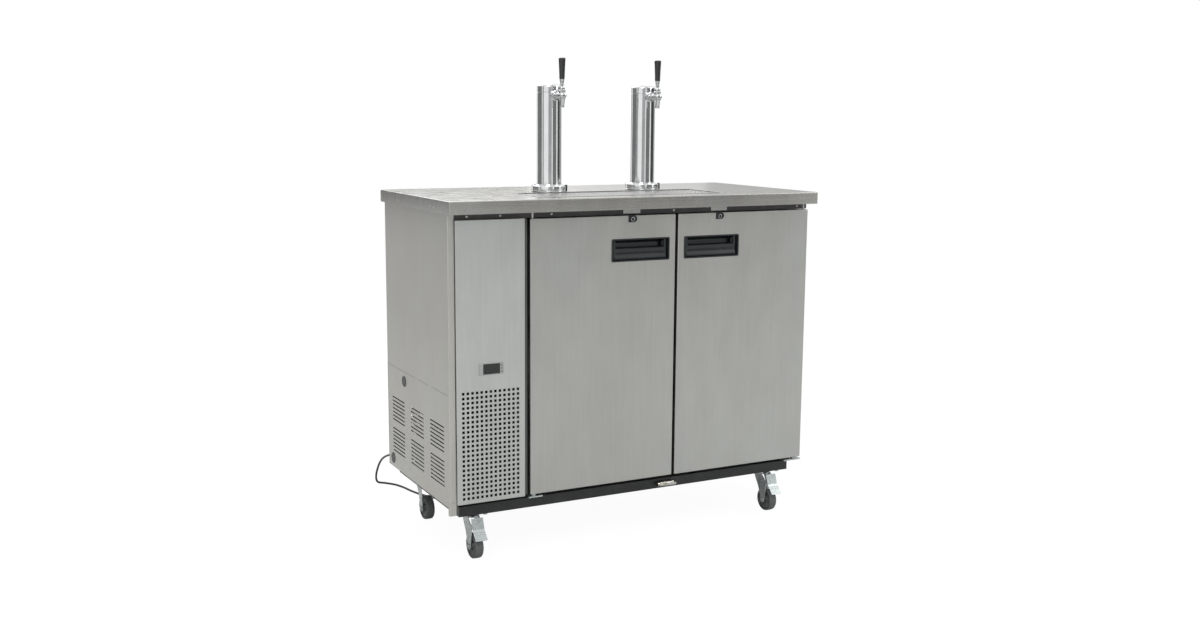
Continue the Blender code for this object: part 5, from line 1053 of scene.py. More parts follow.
def framed(width, height, section, place, corner=0.004):
    """A frame round a rectangle: each point of the section is an inset and a height."""
    part = bmesh.new()
    inset, rise = section[0]
    outline = rounded_outline(width - inset * 2, height - inset * 2, corner, 3)
    verts = [part.verts.new((x, y, rise)) for x, y in outline]
    edges = [part.edges.new(pair) for pair in zip(verts, verts[1:] + verts[:1])]
    for (inset, rise), (next_inset, next_rise) in zip(section, section[1:] + section[:1]):
        grown = bmesh.ops.extrude_edge_only(part, edges=edges)["geom"]
        verts = {g for g in grown if isinstance(g, bmesh.types.BMVert)}
        edges = [e for e in part.edges if set(e.verts) <= verts]
        shares = ((width - next_inset * 2) / (width - inset * 2),
                  (height - next_inset * 2) / (height - inset * 2), 1)
        bmesh.ops.scale(part, vec=shares, verts=list(verts))
        bmesh.ops.translate(part, vec=(0, 0, next_rise - rise), verts=list(verts))
    bmesh.ops.remove_doubles(part, verts=part.verts, dist=WELD)
    bmesh.ops.recalc_face_normals(part, faces=part.faces)
    return moved(part, place)


rim_size = (tray_high - tray_low).xy + Vector((RIM_REACH, RIM_REACH)) * 2
rim_at = Vector(((tray_low.x + tray_high.x) / 2, (tray_low.y + tray_high.y) / 2, counter_high.z))
rim = framed(rim_size.x, rim_size.y, RIM_SECTION, Matrix.Translation(rim_at))
piece("tray_rim", rim, TRAY_RIM, "cabinet", "stainless_counter")

# %% Screw the counter to the body
COUNTER_SCREWS_Z = 1.0300
COUNTER_SCREWS_Y = (0.174, 0.134, -0.150, -0.180)
screws = [
    screw_head(at((sign * (counter_high.x - COUNTER_END_PLAY), y, COUNTER_SCREWS_Z), side), 0.0036, 0.0008)
    for side, sign in SIDES for y in COUNTER_SCREWS_Y
]
piece("counter_screws", merged(*screws), SCREW_STEEL, "cabinet", "stainless")

# %% [markdown]
# ## Perforated front panel
# The machine bay breathes through 13 by 23 square holes punched in a shallow pan of steel. The pan is a
# flat sheet cut along every hole's edges, with folded returns, and Solidify gives it the thickness of real
# sheet, so the holes show their edges.

# %% Punch and fold the front panel
panel_low, panel_high = span("front_panel")
SHEET = 0.0012
HOLE_MIDDLE = (-0.4869, 0.3481)
HOLE_COUNTS = (13, 23)
HOLE_PITCHES = (0.0141, 0.01401)
HOLE_SIZE = (0.0080, 0.0080)
bezel_low, bezel_high = span("controller")
CUTOUT_EDGE = 0.0035


def folded_pan(low, high, front, depth, holes, fold=0.0016):
    """A sheet facing -Y with returns folded back along its four sides."""
    part = sheet((low[0], low[1]), (high[0], high[1]), holes, Matrix.Translation((0, front, 0)))
    rim = [e for e in part.edges if e.is_boundary and all(
        min(abs(v.co.x - low[0]), abs(v.co.x - high[0])) < WELD
        or min(abs(v.co.z - low[1]), abs(v.co.z - high[1])) < WELD
        for v in e.verts)]
    grown = bmesh.ops.extrude_edge_only(part, edges=rim)["geom"]
    bmesh.ops.translate(part, vec=(0, depth, 0),
                        verts=[v for v in grown if isinstance(v, bmesh.types.BMVert)])
    bmesh.ops.recalc_face_normals(part, faces=part.faces)
    sharp = [e for e in part.edges if e.is_manifold and e.calc_face_angle() > 1
             and abs(e.verts[0].co.y - e.verts[1].co.y) < WELD]
    return bevelled(part, sharp, fold, 3)


holes = list(grid_holes(HOLE_MIDDLE, HOLE_COUNTS, HOLE_PITCHES, HOLE_SIZE))
window = ((bezel_low.x + CUTOUT_EDGE, bezel_low.z + CUTOUT_EDGE),
          (bezel_high.x - CUTOUT_EDGE, bezel_high.z - CUTOUT_EDGE))
front = folded_pan((panel_low.x, panel_low.z), (panel_high.x, panel_high.z), panel_low.y,
                   panel_high.y - panel_low.y, [*holes, window])
piece("front_panel_sheet", front, PANEL_STEEL, "cabinet", "stainless", ("front_panel",), SHEET)
print("holes in the panel:", len(holes))

# %% Hang a near-black mat behind the holes as painted shade
MAT_EDGE = 0.0100
MAT_BACK = 0.0026
mat_low = Vector((panel_low.x + MAT_EDGE, panel_high.y + 0.0020,
                  HOLE_MIDDLE[1] - HOLE_COUNTS[1] / 2 * HOLE_PITCHES[1] - MAT_EDGE))
mat_high = Vector((-0.4105, mat_low.y + MAT_BACK,
                   HOLE_MIDDLE[1] + HOLE_COUNTS[1] / 2 * HOLE_PITCHES[1] + MAT_EDGE))
piece("front_panel_hole_shade", block(mat_low, mat_high, 0.0008, 2), HOLE_SHADE_MAT, "cabinet", "black_plastic")

# %% Fix the strip behind the last column of holes
STRIP_X = (-0.4095, -0.3810)
strip = block((STRIP_X[0], panel_high.y + 0.0006, panel_low.z + 0.004),
              (STRIP_X[1], panel_high.y + 0.0018, panel_high.z - 0.004), 0.0003, 1)
piece("front_panel_strip", strip, RAIL_PAINT, "cabinet", "stainless")

# %% Close the gap beside the left door
GAP_STRIP_X = (-0.3786, -0.3674)
GAP_STRIP_Y = (-0.2520, -0.2496)
gap_strip = block((GAP_STRIP_X[0], GAP_STRIP_Y[0], panel_low.z + 0.002),
                  (GAP_STRIP_X[1], GAP_STRIP_Y[1], panel_high.z - 0.002), 0.0006, 2)
piece("front_gap_strip", gap_strip, PLUG_PLASTIC, "cabinet", "black_plastic")

# %% [markdown]
# ## Left side and corner post
# The left end is an upper sheet whose front edge is bent round the corner into a flange that runs down to
# the foot, and a lower service sheet under a seam, with slits that let the compressor breathe. An open
# outline drawn upwards gives the bent sheet, and Solidify its thickness.

# %% Bend the upper sheet and the corner post
side_low, side_high = span("side_panel_upper")
service_low, service_high = span("side_panel_lower")
POST_EDGE = -0.2442
CORNER_ROUND = 0.0030
SEAM_Z = 0.4985
HEM = 0.0035


def drawn_up(outline, low, high):
    """An open outline in XY drawn up into a standing sheet."""
    part = bmesh.new()
    verts = [part.verts.new((x, y, low)) for x, y in outline]
    edges = [part.edges.new(pair) for pair in zip(verts, verts[1:])]
    grown = bmesh.ops.extrude_edge_only(part, edges=edges)["geom"]
    bmesh.ops.translate(part, vec=(0, 0, high - low),
                        verts=[v for v in grown if isinstance(v, bmesh.types.BMVert)])
    return part


corner = list(arc((side_low.x + CORNER_ROUND, side_low.y + CORNER_ROUND), CORNER_ROUND, 180, 270, 5))
post = [(side_low.x, POST_EDGE), *corner, (side_high.x - 0.0012, side_low.y),
        (side_high.x, side_low.y + 0.0010)]
upper = drawn_up([(side_low.x, side_high.y), *post], SEAM_Z, side_high.z)
foot = drawn_up(post, side_low.z, SEAM_Z)
bent = merged(upper, foot)
bmesh.ops.remove_doubles(bent, verts=bent.verts, dist=WELD)
bmesh.ops.recalc_face_normals(bent, faces=bent.faces)
outward = [f for f in bent.faces if abs(f.normal.x) > 0.9]
if outward[0].normal.x > 0:
    bmesh.ops.reverse_faces(bent, faces=bent.faces)
piece("side_sheet_upper", bent, SIDE_STEEL, "cabinet", "stainless", ("side_panel_upper",), 0.0011)
hem = block((side_low.x - 0.0004, POST_EDGE, SEAM_Z),
            (side_low.x + 0.0006, side_high.y - 0.002, SEAM_Z + HEM), 0.0004, 2)
piece("side_seam_hem", hem, SIDE_STEEL, "cabinet", "stainless")

# %% Slit the service sheet
SLIT_LENGTH = 0.114
SLIT_COLUMNS = (-0.1563, 0.0150, 0.1863)
SLIT_TOP = 0.3985
SLIT_PITCH = 0.0120
SLIT_GROUP_DROP = 0.1015
SLIT_WIDTH = 0.0046
slits = [
    (y, SLIT_TOP - group * SLIT_GROUP_DROP - row * SLIT_PITCH)
    for y in SLIT_COLUMNS for group in range(2) for row in range(7)
]
# the sheet is drawn facing the front and turned to face left, where its own X runs towards the front
turned_left = Matrix.Translation((service_low.x + 0.0004, 0, 0)) @ Matrix.Rotation(-QUARTER, 4, "Z")
openings = [((-y - SLIT_LENGTH / 2, z - SLIT_WIDTH / 2), (-y + SLIT_LENGTH / 2, z + SLIT_WIDTH / 2)) for y,
            z in slits]
service = sheet((-service_high.y + 0.001, service_low.z), (-POST_EDGE - 0.0004, SEAM_Z - 0.0012), openings,
                turned_left)
piece("side_sheet_lower", service, SIDE_STEEL, "cabinet", "stainless", ("side_panel_lower",), 0.0011)


def slit_lip(y, z):
    """The tongue that the punch folds inwards and down behind a slit."""
    x = service_low.x + 0.0014
    part = bmesh.new()
    corners = [(x, y - SLIT_LENGTH / 2, z + SLIT_WIDTH / 2), (x, y + SLIT_LENGTH / 2, z + SLIT_WIDTH / 2)]
    edge = part.edges.new([part.verts.new(c) for c in corners])
    for step in ((0.0016, -0.0006), (0.0022, -0.0022), (0.0014, -0.0040)):
        grown = bmesh.ops.extrude_edge_only(part, edges=[edge])["geom"]
        bmesh.ops.translate(part, vec=(step[0], 0, step[1]),
                            verts=[v for v in grown if isinstance(v, bmesh.types.BMVert)])
        edge = next(e for e in grown if isinstance(e, bmesh.types.BMEdge)
                    and abs(e.verts[0].co.x - e.verts[1].co.x) < WELD
                    and abs(e.verts[0].co.z - e.verts[1].co.z) < WELD)
    bmesh.ops.recalc_face_normals(part, faces=part.faces)
    return part


lips = merged(*[slit_lip(y, z) for y, z in slits])
piece("side_slit_lips", lips, SIDE_STEEL, "cabinet", "stainless", thickness=0.0008)
print("slits:", len(slits))

# %% Close the spare holes with domed caps
CAPS = ((0.1294, 0.4680), (0.2457, 0.1970))
CAP_RADIUS = 0.0175
caps = []
for y, z in CAPS:
    dome = [(0, 0), (CAP_RADIUS, 0), (CAP_RADIUS, 0.0008), (CAP_RADIUS * 0.93, 0.0018)]
    dome += [(CAP_RADIUS * 0.72, 0.0024), (CAP_RADIUS * 0.70, 0.0017), (CAP_RADIUS * 0.35, 0.0014),
             (0, 0.0013)]
    caps.append(lathe(dome, at((service_low.x + 0.0004, y, z), "left"), 40))
piece("side_caps", merged(*caps), PLUG_PLASTIC, "cabinet", "black_plastic")

# %% Drive the small screws of the left end
POST_SCREW = (-0.6020, 0.1870)
left_screws = [screw_head(at((POST_SCREW[0], side_low.y, POST_SCREW[1]), "front"), 0.0032, 0.0009)]
for y, z in ((-0.225, 0.482), (0.262, 0.482), (-0.225, 0.182), (0.262, 0.182 + 0.05)):
    left_screws.append(screw_head(at((service_low.x + 0.0004, y, z), "left"), 0.0034, 0.0009))
piece("side_screws", merged(*left_screws), SCREW_STEEL, "cabinet", "stainless")

# %% [markdown]
# ## Rail over the doors
# Under the counter runs a dark rail. Two steel strike plates on it catch the locks, and a few screws hold
# the rail. The plates are thin sheets a hair in front of the rail's face.

# %% Fit the strikes and the rail screws
rail_low = span("top_rail")[0]
LEFT_LOCK_X = -0.0285
RIGHT_LOCK_X = 0.2785
LOCKS_Z = 0.9815
lock_axes = {}
for side, sign in SIDES:
    lock_axes[side] = Vector((LEFT_LOCK_X if sign < 0 else RIGHT_LOCK_X, 0, LOCKS_Z))
STRIKE_HALF = 0.0290
STRIKE_FROM = 0.9982
STRIKE_TO = 1.0113
strikes = []
for side, axis in lock_axes.items():
    plate = block((axis.x - STRIKE_HALF, rail_low.y - 0.0007, STRIKE_FROM),
                  (axis.x + STRIKE_HALF, rail_low.y + 0.0012, STRIKE_TO), 0.0004, 2)
    strikes.append(plate)
piece("lock_strikes", merged(*strikes), DOOR_STEEL, "cabinet", "stainless")
RAIL_SCREWS = (-0.553, -0.4516, -0.291, 0.118, 0.575)
strike_screws = [axis.x + way * 0.0235 for axis in lock_axes.values() for way in (-1, 1)]
rail_screws = [screw_head(at((x, rail_low.y + 0.0016, 1.0040), "front"), 0.0034, 0.0012) for x in RAIL_SCREWS]
rail_screws += [screw_head(at((x, rail_low.y - 0.0006, 1.0060), "front"), 0.0022, 0.0005)
                for x in strike_screws]
piece("rail_screws", merged(*rail_screws), SCREW_STEEL, "cabinet", "stainless")

# %% [markdown]
# ## Doors
# Each door is a steel pan over foam with a white inner liner. The pan starts as a rounded cube. The recess
# for the handle and the slot for the lock's cam are pushed into it after four cuts each, so the door
# stays one clean closed shape. The liner is a shallow tray with rounded raised borders inside the gasket.

# %% Cut a pocket into a face
DOOR_ROUND = 0.0030


def pocket(part, axis, outward, low, high, depth):
    """Push a rectangle of the outermost face inwards. The corners give the two other axes."""
    across = [a for a in range(3) if a != axis]
    for a in across:
        for cut in (low[a], high[a]):
            cut_across(part, a, cut)
    floor = [
        f for f in part.faces
        if f.normal[axis] * outward > 0.99
        and all(low[a] < f.calc_center_median()[a] < high[a] for a in across)
    ]
    way = [0, 0, 0]
    way[axis] = -outward * depth
    pushed(part, floor, way)


# %% Make the two doors
DOOR_TOP = 0.9930
HANDLE_RIM = 0.0042
CAM_REACH = 0.0215
CAM_HALF = 0.0086
CAM_SLOT_Y = (-0.2475, -0.2405)
CAM_SLOT_LOW = 0.9729


def door_span(side):
    """The door without the hinge pin that stands on it."""
    low, high = span(f"door_{side}_panel")
    return low, Vector((high.x, high.y, DOOR_TOP))


def door_shell(side, sign):
    low, high = door_span(side)
    part = block(low, high)
    front_edges = [e for e in part.edges if all(v.co.y < low.y + WELD for v in e.verts)]
    back_edges = [e for e in part.edges if e not in front_edges]
    bevelled(part, front_edges + back_edges, DOOR_ROUND, 4)
    handle_low, handle_high = span(f"door_{side}_handle")
    inset = Vector((HANDLE_RIM, 0, HANDLE_RIM))
    pocket(part, 1, -1, handle_low + inset, handle_high - inset, 0.0305)
    axis = lock_axes[side]
    slot_low = Vector((axis.x - (CAM_REACH if sign < 0 else CAM_HALF), CAM_SLOT_Y[0], 0))
    slot_high = Vector((axis.x + (CAM_HALF if sign < 0 else CAM_REACH), CAM_SLOT_Y[1], 0))
    pocket(part, 2, 1, slot_low, slot_high, high.z - CAM_SLOT_LOW)
    return part


for side, sign in SIDES:
    piece(f"door_{side}_shell", door_shell(side, sign), DOOR_STEEL, f"door_{side}", "stainless",
          (f"door_{side}_panel",))

# %% Stand the upper hinge pins on the doors
HINGE_INSET = 0.0112
pin = [(0, 0), (0.0062, 0), (0.0062, 0.0008), (0.0038, 0.0010), (0.0038, 0.0235), (0.0030, 0.0250),
       (0, 0.0250)]
for side, sign in SIDES:
    low, high = door_span(side)
    x = low.x + HINGE_INSET if sign < 0 else high.x - HINGE_INSET
    piece(f"door_{side}_hinge_pin", lathe(pin, at((x, low.y + HINGE_INSET, DOOR_TOP - 0.0001)), 24),
          SCREW_STEEL, f"door_{side}", "stainless")

# %% Form the inner liners
LINER_INSET = 0.0345
for side, sign in SIDES:
    low, high = door_span(side)
    x0, x1, z0, z1 = low.x + LINER_INSET, high.x - LINER_INSET, low.z + LINER_INSET, high.z - LINER_INSET
    width, height = x1 - x0, z1 - z0
    middle = Vector(((x0 + x1) / 2, high.y + 0.0002, (z0 + z1) / 2))
    outline = rounded_outline(width, height, 0.020, 6)
    slim = (width - 0.020) / width, (height - 0.020) / height
    inner = (width - 0.070) / width, (height - 0.070) / height
    stations = [(0.0, 1, 1), (0.0060, 1 - 0.002 / width, 1 - 0.002 / height), (0.0080, *slim),
                (0.0080, inner[0], inner[1]),
                (0.0040, inner[0] * 0.985, inner[1] * 0.992)]
    liner = drawn(outline, stations, Matrix.Translation(middle) @ FACING["back"])
    piece(f"door_{side}_liner", liner, LINER_PLASTIC, f"door_{side}", "white_plastic")

# %% [markdown]
# ## Gaskets
# A magnetic gasket is a soft extrusion: a bellows that lets it move, under a flat lip that holds the
# magnet. Its section runs round the door as a frame with mitred corners. Drawing the section's points as
# rounded rectangles, each extruded from the last, gives the whole frame at once.

# %% Wrap the gaskets round the doors
GASKET_SECTION = (
    (0.0000, 0.0000), (0.0000, 0.0016), (0.0022, 0.0026), (0.0004, 0.0044), (0.0004, 0.0060),
    (0.0014, 0.0112),
    (0.0032, 0.0118), (0.0118, 0.0118), (0.0136, 0.0112), (0.0146, 0.0060), (0.0146, 0.0044),
    (0.0128, 0.0026),
    (0.0150, 0.0016), (0.0150, 0.0000),
)


for side, sign in SIDES:
    low, high = span(f"door_{side}_gasket")
    middle = Vector(((low.x + high.x) / 2, low.y, (low.z + high.z) / 2))
    gasket = framed(high.x - low.x, high.z - low.z, GASKET_SECTION,
                    Matrix.Translation(middle) @ FACING["back"])
    piece(f"door_{side}_seal", gasket, GASKET_RUBBER, f"door_{side}", "gasket_rubber",
          (f"door_{side}_gasket",))

# %% [markdown]
# ## Pocket handles
# A black moulded cup is let into each door. Seen from the front it has a thin frame, a deep dark upper
# pocket for the fingers and a lower scoop that leads the hand in. The cup is drawn inwards from a rounded
# rectangle, step by step, which gives walls with draft and soft corners.

# %% Mould the handles
CUP_FRAME = 0.0044
CUP_WALL = 0.0046
CUP_BACK = 0.0310
CUP_DEPTH = 0.0285
SCOOP = ((0.0070, 0.0052), (0.0030, 0.0066), (0.0036, 0.0110), (0.0062, 0.0170), (0.0082, 0.0235),
         (0.0086, 0.0300), (0.0074, 0.0345),
         (0.0066, 0.0368), (0.0072, 0.0386), (0.0092, 0.0394), (0.0112, 0.0386), (0.0124, 0.0350),
         (0.0150, 0.0240), (0.0200, 0.0120), (0.0230, 0.0052))
# X runs back, Y runs up and Z faces right
UPRIGHT = Matrix(((0, 0, 1, 0), (1, 0, 0, 0), (0, 1, 0, 0), (0, 0, 0, 1)))
for side, sign in SIDES:
    low, high = span(f"door_{side}_handle")
    width, height = high.x - low.x, high.z - low.z
    middle = Vector(((low.x + high.x) / 2, low.y, (low.z + high.z) / 2))
    face = Matrix.Translation(middle) @ FACING["front"]
    outline = rounded_outline(width, height, 0.0035, 4)

    def inset(by):
        return 1 - 2 * by / width, 1 - 2 * by / height

    stations = [
        (-CUP_BACK, *inset(CUP_WALL + 0.0020)), (-CUP_BACK + 0.0020, *inset(CUP_WALL)),
        (-0.0019, *inset(CUP_WALL)),
        (-0.0019, 1, 1), (-0.0007, 1, 1), (-0.0001, *inset(0.0007)), (0.0, *inset(0.0016)),
        (-0.0002, *inset(CUP_FRAME - 0.0006)),
        (-0.0010, *inset(CUP_FRAME)), (-0.0120, *inset(CUP_FRAME + 0.0012)),
        (-0.0190, *inset(CUP_FRAME + 0.0024)),
        (-0.0240, *inset(CUP_FRAME + 0.0046)), (-0.0272, *inset(CUP_FRAME + 0.0082)),
        (-CUP_DEPTH, *inset(CUP_FRAME + 0.0130)),
    ]
    cup = drawn(outline, stations, face)
    piece(f"door_{side}_cup", cup, HANDLE_PLASTIC, f"door_{side}", "black_plastic", (f"door_{side}_handle",))
    reach = width - 2 * (CUP_FRAME + 0.0060)
    scoop_at = Matrix.Translation((middle.x - reach / 2, low.y, low.z)) @ UPRIGHT
    piece(f"door_{side}_scoop", prism(list(SCOOP), reach, scoop_at, 0.0006, 1), HANDLE_PLASTIC,
          f"door_{side}", "black_plastic")
    ends = []
    for way in (-1, 1):
        x = middle.x + way * (reach / 2 - 0.0012)
        post = [(0, 0.0012), (0.0050, 0.0012), (0.0056, 0.0020), (0.0056, height - CUP_FRAME * 2 - 0.0020),
                (0.0050, height - CUP_FRAME * 2 - 0.0012),
                (0, height - CUP_FRAME * 2 - 0.0012)]
        ends.append(lathe(post, at((x, low.y + 0.0118, low.z + CUP_FRAME)), 28))
    piece(f"door_{side}_cup_ends", merged(*ends), HANDLE_PLASTIC, f"door_{side}", "black_plastic")

# %% [markdown]
# ## Locks
# A small cam lock sits over each handle, on a dark plate that is square on the left and round on the
# right. The plate is screwed to the door and stays. The barrel, its ring and the key slot turn with the
# cam behind, which swings up into the strike, so these ride on the lock's own body.

# %% Turn the locks
LOCK_RADIUS = 0.0093
CAM_FRONT = -0.2460
CAM_SHEET = 0.0036
CAM_LENGTH = 0.0200
CAM_HALF_WIDTH = 0.0048
PLATE_LEFT = 0.0150
PLATE_RIGHT = 0.0145
PLATE_HALF = 0.0102
PLATE_RISE = 0.0010
PLATE_SHEET = 0.0006
face_y = span("door_left_panel")[0].y
for side, sign in SIDES:
    axis = lock_axes[side]
    front = at((axis.x, face_y, axis.z), "front")
    ring = [(0, -0.0160), (LOCK_RADIUS - 0.0006, -0.0160), (LOCK_RADIUS - 0.0002, -0.0150),
            (LOCK_RADIUS - 0.0002, 0.0001)]
    ring += [(LOCK_RADIUS, 0.0003), (LOCK_RADIUS - 0.0002, 0.0010), (LOCK_RADIUS - 0.0012, 0.0014)]
    ring += [(LOCK_RADIUS - 0.0022, 0.0012), (LOCK_RADIUS - 0.0027, 0.0003), (0, 0.0003)]
    neck = [(0, 0.0150), (0.0052, 0.0150), (0.0052, 0.0206), (0, 0.0206)]
    neck_place = at((axis.x, face_y, axis.z), "back")
    cam_outline = [(-CAM_HALF_WIDTH, -CAM_HALF_WIDTH),
                   *[(CAM_LENGTH - CAM_HALF_WIDTH + x, y) for x,
                     y in arc((0, 0), CAM_HALF_WIDTH, -90, 90, 8)],
                   (-CAM_HALF_WIDTH, CAM_HALF_WIDTH)]
    cam_place = Matrix.Translation((axis.x, CAM_FRONT + CAM_SHEET, axis.z)) @ FACING["front"]
    if sign < 0:
        cam_place = cam_place @ Matrix.Rotation(math.pi, 4, "Z")
    cam = prism(cam_outline, CAM_SHEET, cam_place, 0.0005, 1)
    plate = [(-PLATE_LEFT, -PLATE_HALF),
             *[(PLATE_RIGHT - PLATE_HALF + x, y) for x, y in arc((0, 0), PLATE_HALF, -90, 90, 12)],
             (-PLATE_LEFT, PLATE_HALF)]
    plate_at = at((axis.x, face_y, axis.z + PLATE_RISE), "front")
    lock = merged(lathe(ring, front, 40), lathe(neck, neck_place, 24), cam)
    piece(f"door_{side}_lock_barrel", lock, LOCK_PLATE, f"lock_{side}", "stainless", (f"door_{side}_lock",))
    dark = [(0, 0.0003), (0.0066, 0.0003), (0.0064, 0.0009), (0.0045, 0.0010), (0, 0.0010)]
    bright = [(0.0046, 0.0006), (0.0062, 0.0006), (0.0062, 0.0012), (0.0056, 0.0014), (0.0046, 0.0012)]
    piece(f"door_{side}_lock_ring", lathe(bright, front, 36, closed=True), TAP_CHROME, f"lock_{side}",
          "stainless")
    slot = block((axis.x - 0.0030, face_y - 0.0014, axis.z - 0.0007),
                 (axis.x + 0.0030, face_y - 0.0008, axis.z + 0.0007), 0.0002, 1)
    piece(f"door_{side}_lock_face", lathe(dark, front, 32), HANDLE_PLASTIC, f"lock_{side}", "black_plastic")
    piece(f"door_{side}_lock_key_slot", slot, LOCK_PLATE, f"lock_{side}", "stainless")
    piece(f"door_{side}_lock_plate", prism(plate, PLATE_SHEET, plate_at, 0.0003, 2), HANDLE_PLASTIC,
          f"door_{side}", "black_plastic")

# %% [markdown]
# ## Controller
# The thermostat is a plastic frame clipped into the front panel, with a dark window and small keys. The
# packed keys move, so they stay. The frame and window are drawn outwards from rounded rectangles, and the
# lamps on the left are three small raised dashes.

# %% Build the controller
bezel_middle = (bezel_low + bezel_high) / 2
bezel_width, bezel_height = bezel_high.x - bezel_low.x, bezel_high.z - bezel_low.z
bezel_face = Matrix.Translation((bezel_middle.x, panel_low.y, bezel_middle.z)) @ FACING["front"]
outline = rounded_outline(bezel_width, bezel_height, 0.0035, 5)
frame_steps = [(0.0001, 1, 1), (0.0018, 1, 1), (0.0028, 1 - 0.0014 / bezel_width, 1 - 0.0014 / bezel_height),
               (0.0032, 1 - 0.0040 / bezel_width, 1 - 0.0040 / bezel_height)]
bezel = drawn(outline, frame_steps, bezel_face)
case = block((bezel_low.x + 0.0045, panel_low.y + 0.0002, bezel_low.z + 0.0045),
             (bezel_high.x - 0.0045, bezel_high.y, bezel_high.z - 0.0045), 0.0008, 1)
piece("controller_bezel", merged(bezel, case), GREY_PLASTIC, "cabinet", "grey_plastic", ("controller",))
WINDOW = (0.0520, 0.0300)
window_steps = [(0.0026, 1, 1), (0.00335, 1, 1), (0.0036, 0.988, 0.980)]
glass = drawn(rounded_outline(*WINDOW, 0.0012, 3), window_steps, bezel_face)
piece("controller_window", glass, DISPLAY, "cabinet", "black_plastic")
marks = [
    block((bezel_low.x + 0.0042, bezel_low.y - 0.0002, bezel_middle.z + row * 0.0090 - 0.0009),
          (bezel_low.x + 0.0088, bezel_low.y + 0.0004, bezel_middle.z + row * 0.0090 + 0.0009), 0.0002, 1)
    for row in (-1, 0, 1)
]
piece("controller_lamps", merged(*marks), KEY_PLASTIC, "cabinet", "grey_plastic")

# %% [markdown]
# ## Drip grate
# Glasses stand on a punched plate over the tray. It has 42 by 9 slots and rolled-down edges, made the same
# way as the perforated panel and laid flat. A wire grid would also do, but the photograph shows dark slots.

# %% Punch the drip grate
grate_low, grate_high = span("drip_grate")
GRATE_COUNTS = (42, 9)
GRATE_PITCHES = (0.0144, 0.0205)
GRATE_SLOT = (0.0084, 0.0140)
GRATE_SHEET = 0.0005
lying = Matrix.Translation((0, 0, grate_high.z)) @ Matrix.Rotation(-QUARTER, 4, "X")
grate_middle = (0, (grate_low.y + grate_high.y) / 2)
plate = folded_pan((grate_low.x, grate_low.y), (grate_high.x, grate_high.y), 0, grate_high.z - grate_low.z,
                   list(grid_holes(grate_middle, GRATE_COUNTS, GRATE_PITCHES, GRATE_SLOT)), 0.0014)
piece("grate_plate", moved(plate, lying), BRIGHT_SHEET, "grate", "stainless", ("drip_grate",), GRATE_SHEET)

# %% [markdown]
# ## Draught towers
# Each tower is a polished tube 76 mm across on a stepped foot ring, with a cap over its top. All three are
# turned shapes, so each is one profile spun round. The foot's steps and the thin dark line under the cap
# are what the eye reads as separate parts.

# %% Turn the columns and the caps
TOWER_Y = 0.0270
COLUMN_RADIUS = 0.0380
COLUMN_BORE = 0.0355
FOOT_PROFILE = (
    (0.0538, 0.0004), (0.0550, 0.0014), (0.0550, 0.0030), (0.0545, 0.0036), (0.0545, 0.0168),
    (0.0541, 0.0180),
    (0.0532, 0.0188), (0.0500, 0.0194), (0.0452, 0.0206), (0.0420, 0.0219), (0.0402, 0.0226),
    (0.0390, 0.0228),
)
TOWER_X = {"left": -0.1660, "right": 0.1660}
for side, x in TOWER_X.items():
    low, high = span(f"tower_{side}_column")
    top = high.z - counter_high.z
    profile = [(COLUMN_BORE, 0.0004), *FOOT_PROFILE, (COLUMN_RADIUS, 0.0226), (COLUMN_RADIUS, top * 0.5),
               (COLUMN_RADIUS, top - 0.0006), (COLUMN_RADIUS - 0.0006, top), (COLUMN_BORE, top)]
    place = Matrix.Translation((x, TOWER_Y, counter_high.z))
    piece(f"tower_{side}_tube", lathe(profile, place, 96, closed=True), CHROME, "cabinet", "polished_steel",
          (f"tower_{side}_column",))
    cap_low, cap_high = span(f"tower_{side}_cap")
    rise = cap_high.z - cap_low.z
    cap = [(0, 0), (0.0350, 0), (0.0350, 0.0014), (0.0372, 0.0016), (0.0372, 0.0024), (COLUMN_RADIUS, 0.0026),
           (COLUMN_RADIUS, 0.0032), (0.03785, 0.0186), (0.0372, 0.0212), (0.0352, 0.0236), (0.0310, 0.0252),
           (0.0240, 0.0264),
           (0.0130, rise - 0.0003), (0, rise - 0.0001)]
    piece(f"tower_{side}_lid", lathe(cap, Matrix.Translation((x, TOWER_Y, cap_low.z)), 96), CHROME, "cabinet",
          "polished_steel", (f"tower_{side}_cap",))

# %% Screw the foot rings down
FOOT_SCREW_RADIUS = 0.0535
foot_screws, foot_clips = [], []
for x in TOWER_X.values():
    for angle in (38, 142, 218):
        turn = Matrix.Translation((x, TOWER_Y,
                                   counter_high.z + 0.0100)) @ Matrix.Rotation(math.radians(angle), 4, "Z")
        foot_screws.append(screw_head(turn @ Matrix.Translation((FOOT_SCREW_RADIUS, 0, 0))
                                      @ FACING["right"], 0.0030, 0.0016))
    turn = Matrix.Translation((x, TOWER_Y, counter_high.z)) @ Matrix.Rotation(math.radians(-33), 4, "Z")
    for shift in (-0.0062, 0.0062):
        clip = block((0.0480, shift - 0.0030, 0.0006), (0.0563, shift + 0.0030, 0.0212), 0.0024, 3)
        foot_clips.append(moved(clip, turn))
piece("tower_foot_screws", merged(*foot_screws), SCREW_STEEL, "cabinet", "polished_steel")
piece("tower_foot_clips", merged(*foot_clips), HANDLE_PLASTIC, "cabinet", "black_plastic")

# %% [markdown]
# ## Taps
# A tap is a stack of turned brass forms under chrome: a collar against the tower, a slotted coupling nut,
# a barrel, a spout that leans back and a cup on top where the lever sits in a ball. Turned parts are
# lathed along their own axes and merged. Only the nut needs its slots, so it is drawn from an outline.

# %% Turn the fixed part of a tap
TAP_Z = 1.3435
LEVER_Y = -0.0620
LEVER_Z = 1.3630


def scalloped(radius, depth, count, steps=72):
    """A circle with rounded notches."""
    for step in range(steps):
        angle = step / steps * math.tau
        notch = max(0.0, math.cos(angle * count)) ** 4
        yield (math.cos(angle) * (radius - depth * notch), math.sin(angle) * (radius - depth * notch))


